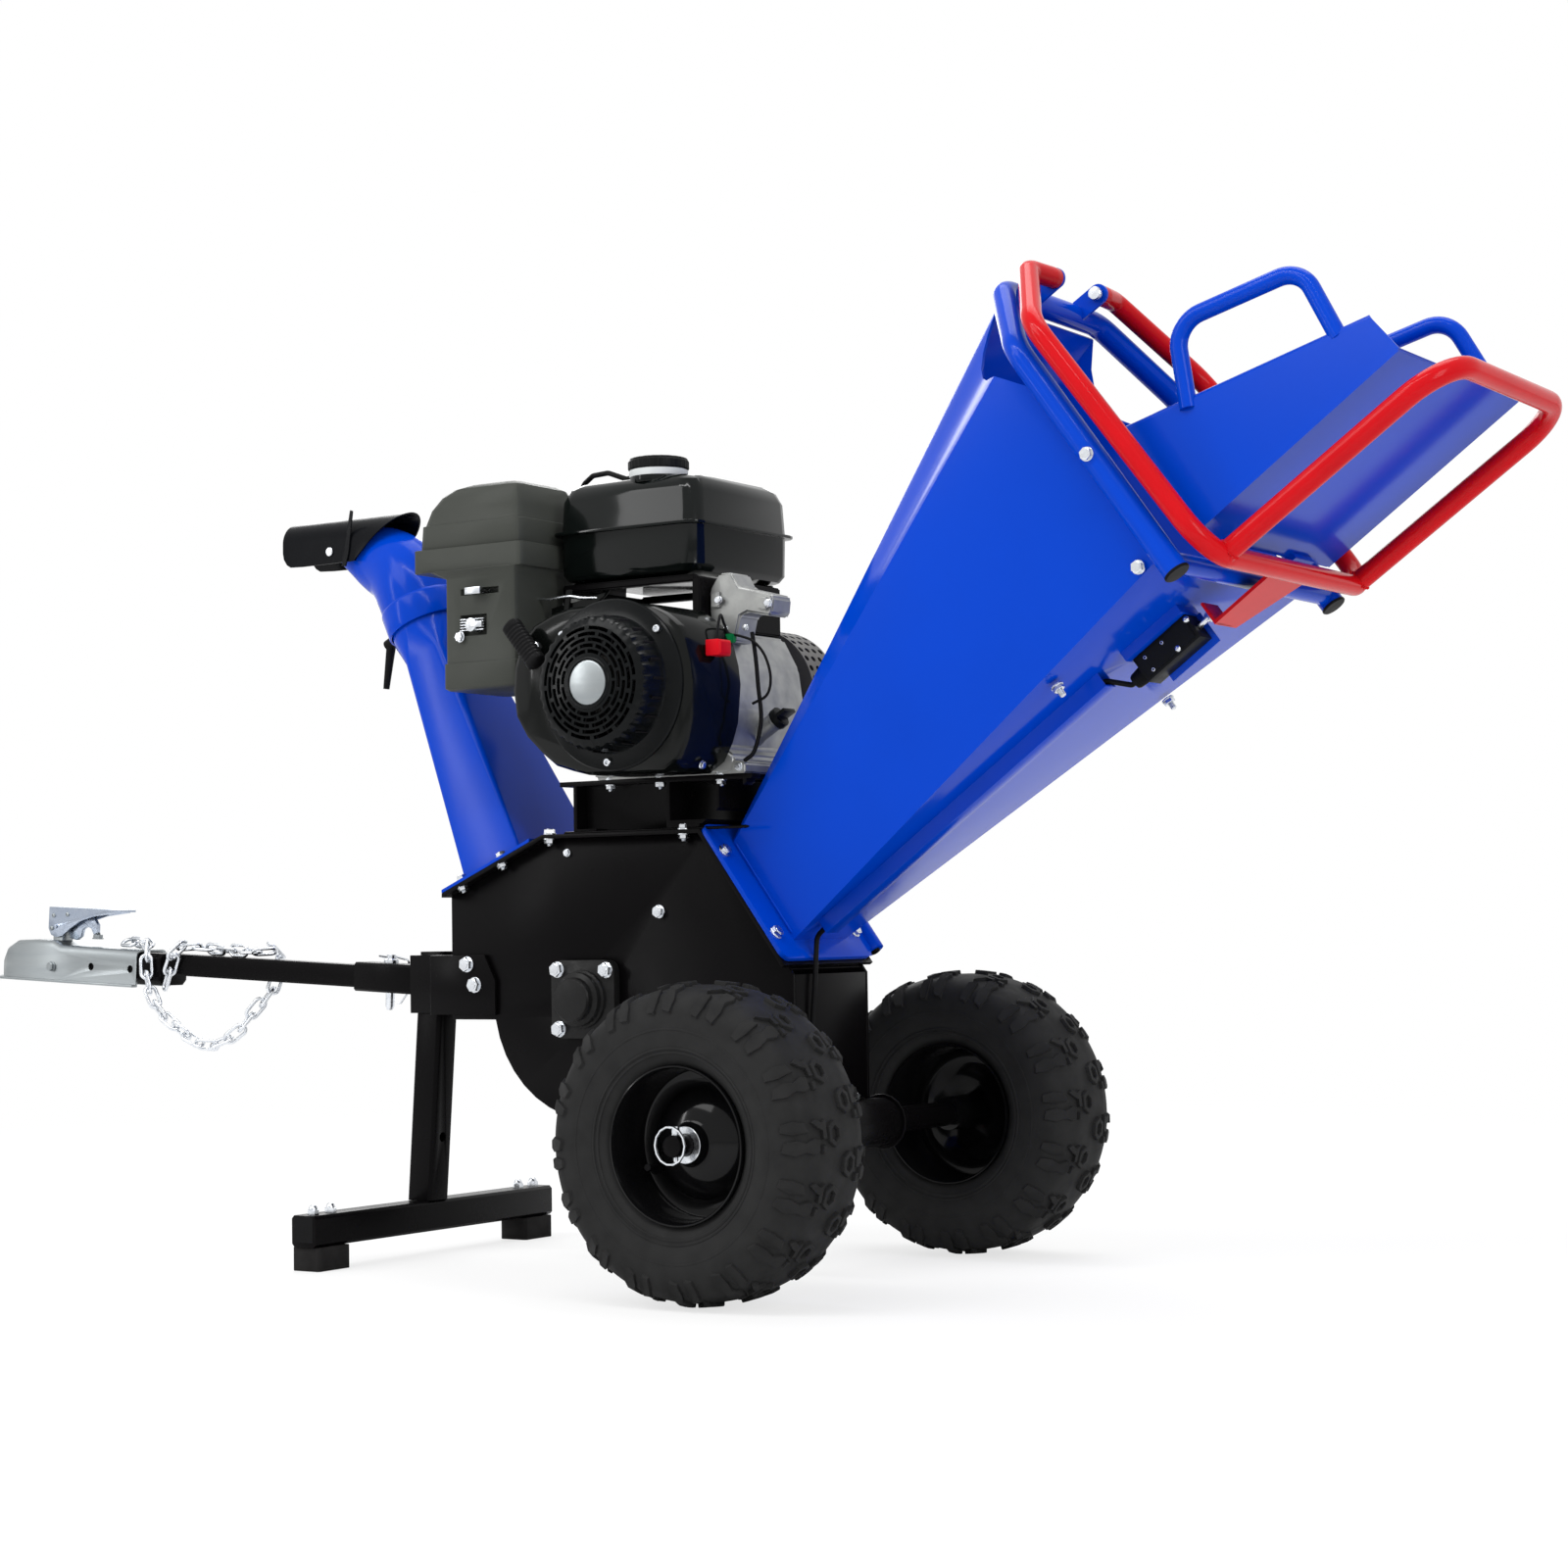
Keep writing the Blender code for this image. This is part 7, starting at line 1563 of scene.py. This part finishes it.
# %% [markdown]
# ## Bent tube work
# The red safety bar, the mouth frame and the two carrying loops are bent from round tube, and their
# smooth gloss is the first thing the eye meets. They follow the lines of the solids, with enough
# sides and bend steps to read as drawn tube, and they end in weld beads, ears and black end caps.

# %% Red safety bar
MOUTH_A, TOP_V, LEG_Y, TUBE_R = 0.912, 0.7445, 0.2115, 0.0145
BAR_A, BAR_V, EAR_Y, RED_R = 0.952, 0.742, 0.054, 0.0122
LOOP_A, LOOP_Y = 1.265, 0.18
HOPPER_TURN = Matrix.Translation(AXLE) @ Matrix.Rotation(-TILT, 4, "Y")


def eased_block(bm, low, high, offset=0.0006):
    """A small plate in the hopper's frame with eased edges."""
    extra = bmesh.new()
    block(extra, low, high, HOPPER_TURN)
    round_edges(extra, offset)
    pour(bm, extra)


half = [(BAR_A, EAR_Y + 0.0025, BAR_V), (BAR_A, EAR_Y + 0.012, BAR_V), (0.948, 0.108, BAR_V + 0.0045),
        (0.947, 0.218, BAR_V - 0.102), (0.955, 0.2195, 0.303)]
hoop = [hop(a, -y, v) for a, y, v in half] + [hop(a, y, v) for a, y, v in half[::-1]]
bm = tube(bmesh.new(), rounded(hoop, [0, 0.02, 0.022, 0.06, 0.05, 0.05, 0.06, 0.022, 0.02, 0], 10), RED_R, 28)
loop = [(0.956, -LOOP_Y, 0.3045), (LOOP_A, -LOOP_Y, 0.2995), (LOOP_A, LOOP_Y, 0.2995), (0.956, LOOP_Y, 0.3045)]
tube(bm, rounded([hop(*p) for p in loop], [0, 0.06, 0.06, 0], 12), RED_R, 28)
strip = [(0.96, 0.045), (0.96, -0.056), (0.864, -0.0555), (0.864, 0.0)]
rings_to_faces(bm, [[hop(a, y, v) for a, y in strip] for v in (0.2975, 0.3015)])
eased_block(bm, (0.864, -0.0555, 0.2975), (0.8675, -0.015, 0.327))
for side in (-1, 1):
    for k in range(24):
        t = 2 * math.pi * k / 24
        t2 = 2 * math.pi * (k + 1) / 24
        seam = RED_R * 1.02
        bead(bm, hop(0.964, side * LOOP_Y + math.cos(t) * seam, 0.3043 + math.sin(t) * seam),
             hop(0.964, side * LOOP_Y + math.cos(t2) * seam, 0.3043 + math.sin(t2) * seam), 0.0016, 2)
piece("red_bar", bm, red_paint, "bar", 40, ["safety_bar"])
bm = bmesh.new()
for side in (-1, 1):
    lathe([(.0001, -.008), (.0048, -.008), (.0048, .0046), (.0001, .0046)], hop(BAR_A, side * EAR_Y, BAR_V),
          (0, side, 0), 24, bm)
    lathe([(.0001, -.011), (.007, -.0108), (.0082, -.0098), (.0084, -.0052), (.0001, -.005)],
          hop(BAR_A, side * EAR_Y, BAR_V), (0, side, 0), 28, bm)
piece("bar_studs", bm, zinc, "bar", 35)

# %% [markdown]
# The mouth frame is one bent tube with a cross tube near its feet. It carries two ears for the safety
# bar, the tray's pin and black caps on its open legs, all from the same few helpers.

# %% Mouth frame
bm = bmesh.new()
u_path = [(-LEG_Y, 0.314), (-0.206, TOP_V - 0.1085), (-0.1165, TOP_V), (0.1165, TOP_V), (0.206, TOP_V - 0.1085),
          (LEG_Y, 0.314)]
tube(bm, rounded([hop(MOUTH_A, y, v) for y, v in u_path], [0, 0.055, 0.04, 0.04, 0.055, 0], 10), TUBE_R, 28)
tube(bm, [hop(MOUTH_A, -LEG_Y, 0.3285), hop(MOUTH_A, LEG_Y, 0.3285)], 0.012, 24)
for side in (-1, 1):
    tip = [(BAR_A + math.cos(math.radians(t)) * 0.0125, BAR_V + math.sin(math.radians(t)) * 0.0125)
           for t in range(-80, 81, 16)]
    shape = tip + [(MOUTH_A + 0.004, TOP_V + 0.0125), (MOUTH_A + 0.004, TOP_V - 0.0125)]
    rings_to_faces(bm, [[hop(a, side * EAR_Y + y, v) for a, v in shape] for y in (-0.002, 0.002)])
TRAY_A, TRAY_V = 0.9345, 0.335
eased_block(bm, (0.915, -0.05, 0.3315), (TRAY_A, 0.05, 0.337))
tube(bm, [hop(TRAY_A, -0.056, TRAY_V), hop(TRAY_A, 0.056, TRAY_V)], 0.0055, 24)
piece("mouth_tubes", bm, blue_paint, "hopper", 40, ["mouth_frame"])
piece("tray_pin", tube(bmesh.new(), [hop(TRAY_A, -0.121, TRAY_V), hop(TRAY_A, 0.121, TRAY_V)], 0.0028, 20), zinc,
      "hopper", 40)
bm = bmesh.new()
for side in (-1, 1):
    lathe([(.0001, 0.0), (.014, 0.0), (.015, -.0004), (.0152, -.002), (.014, -.0034), (.0001, -.004)],
          hop(MOUTH_A, side * LEG_Y, 0.3145), HOP_UP, 36, bm)
piece("leg_caps", bm, grip_plastic, "hopper", 40)

# %% [markdown]
# The tray is a folded sheet: two closed rows of points make its skin, and only its long folds are
# bevelled, as a press would leave them. Its hinge barrels turn on the pin. The far loop was placed by
# measurement and isn't quite the mirror of the near one.

# %% Tray with its carrying loops
SKIN = 0.0025
inner_edge = [(0.9445, 0.152, 0.503), (0.9445, 0.163, 0.4985), (0.9405, 0.183, 0.3425)]
outer_edge = [(1.227, 0.164, 0.4015), (1.228, 0.175, 0.397), (1.2335, 0.183, 0.3425)]


def tray_row(points, inner):
    """Points across the tray, lip to lip, on one skin."""
    row = []
    for k, (a, y, v) in enumerate(points):
        if inner:
            y -= (0.0, SKIN * 1.05, SKIN * 1.1)[k]
            v += (-SKIN, -SKIN, SKIN)[k]
        row.append((a, y, v))
    return [hop(a, y, v) for a, y, v in row] + [hop(a, -y, v) for a, y, v in row[::-1]]


bm = bmesh.new()
rings_to_faces(bm, [tray_row(inner_edge, False) + tray_row(inner_edge, True)[::-1],
                    tray_row(outer_edge, False) + tray_row(outer_edge, True)[::-1]])
bmesh.ops.recalc_face_normals(bm, faces=bm.faces)
folds = [e for e in bm.edges if len(e.link_faces) == 2 and 0.35 < e.calc_face_angle(0) < 1.62
         and e.calc_length() > 0.2]
bmesh.ops.bevel(bm, geom=folds, offset=0.003, segments=3, affect="EDGES", clamp_overlap=True)
for side in (-1, 1):
    on = 0.032 if side > 0 else 0.0
    corners = [(1.015, 0.164, 0.462), (1.057, 0.157, 0.5494), (1.1998, 0.157, 0.4963), (1.188, 0.166, 0.404)]
    line = [hop(a + on, side * y, v - on) for a, y, v in corners]
    tube(bm, rounded(line, [0, 0.034, 0.034, 0], 10), 0.0098, 24)
    y0 = 0.06 if side > 0 else -0.118
    lathe([(.0031, 0), (.0055, 0), (.0055, .058), (.0031, .058)], hop(TRAY_A, y0, TRAY_V), FARWARD, 24, bm, closed=True)
    eased_block(bm, (TRAY_A + 0.0034, y0 + 0.002, TRAY_V + 0.0005), (TRAY_A + 0.016, y0 + 0.056, 0.3435))
piece("tray_sheet", bm, blue_paint, "tray", 30, ["feed_tray"])
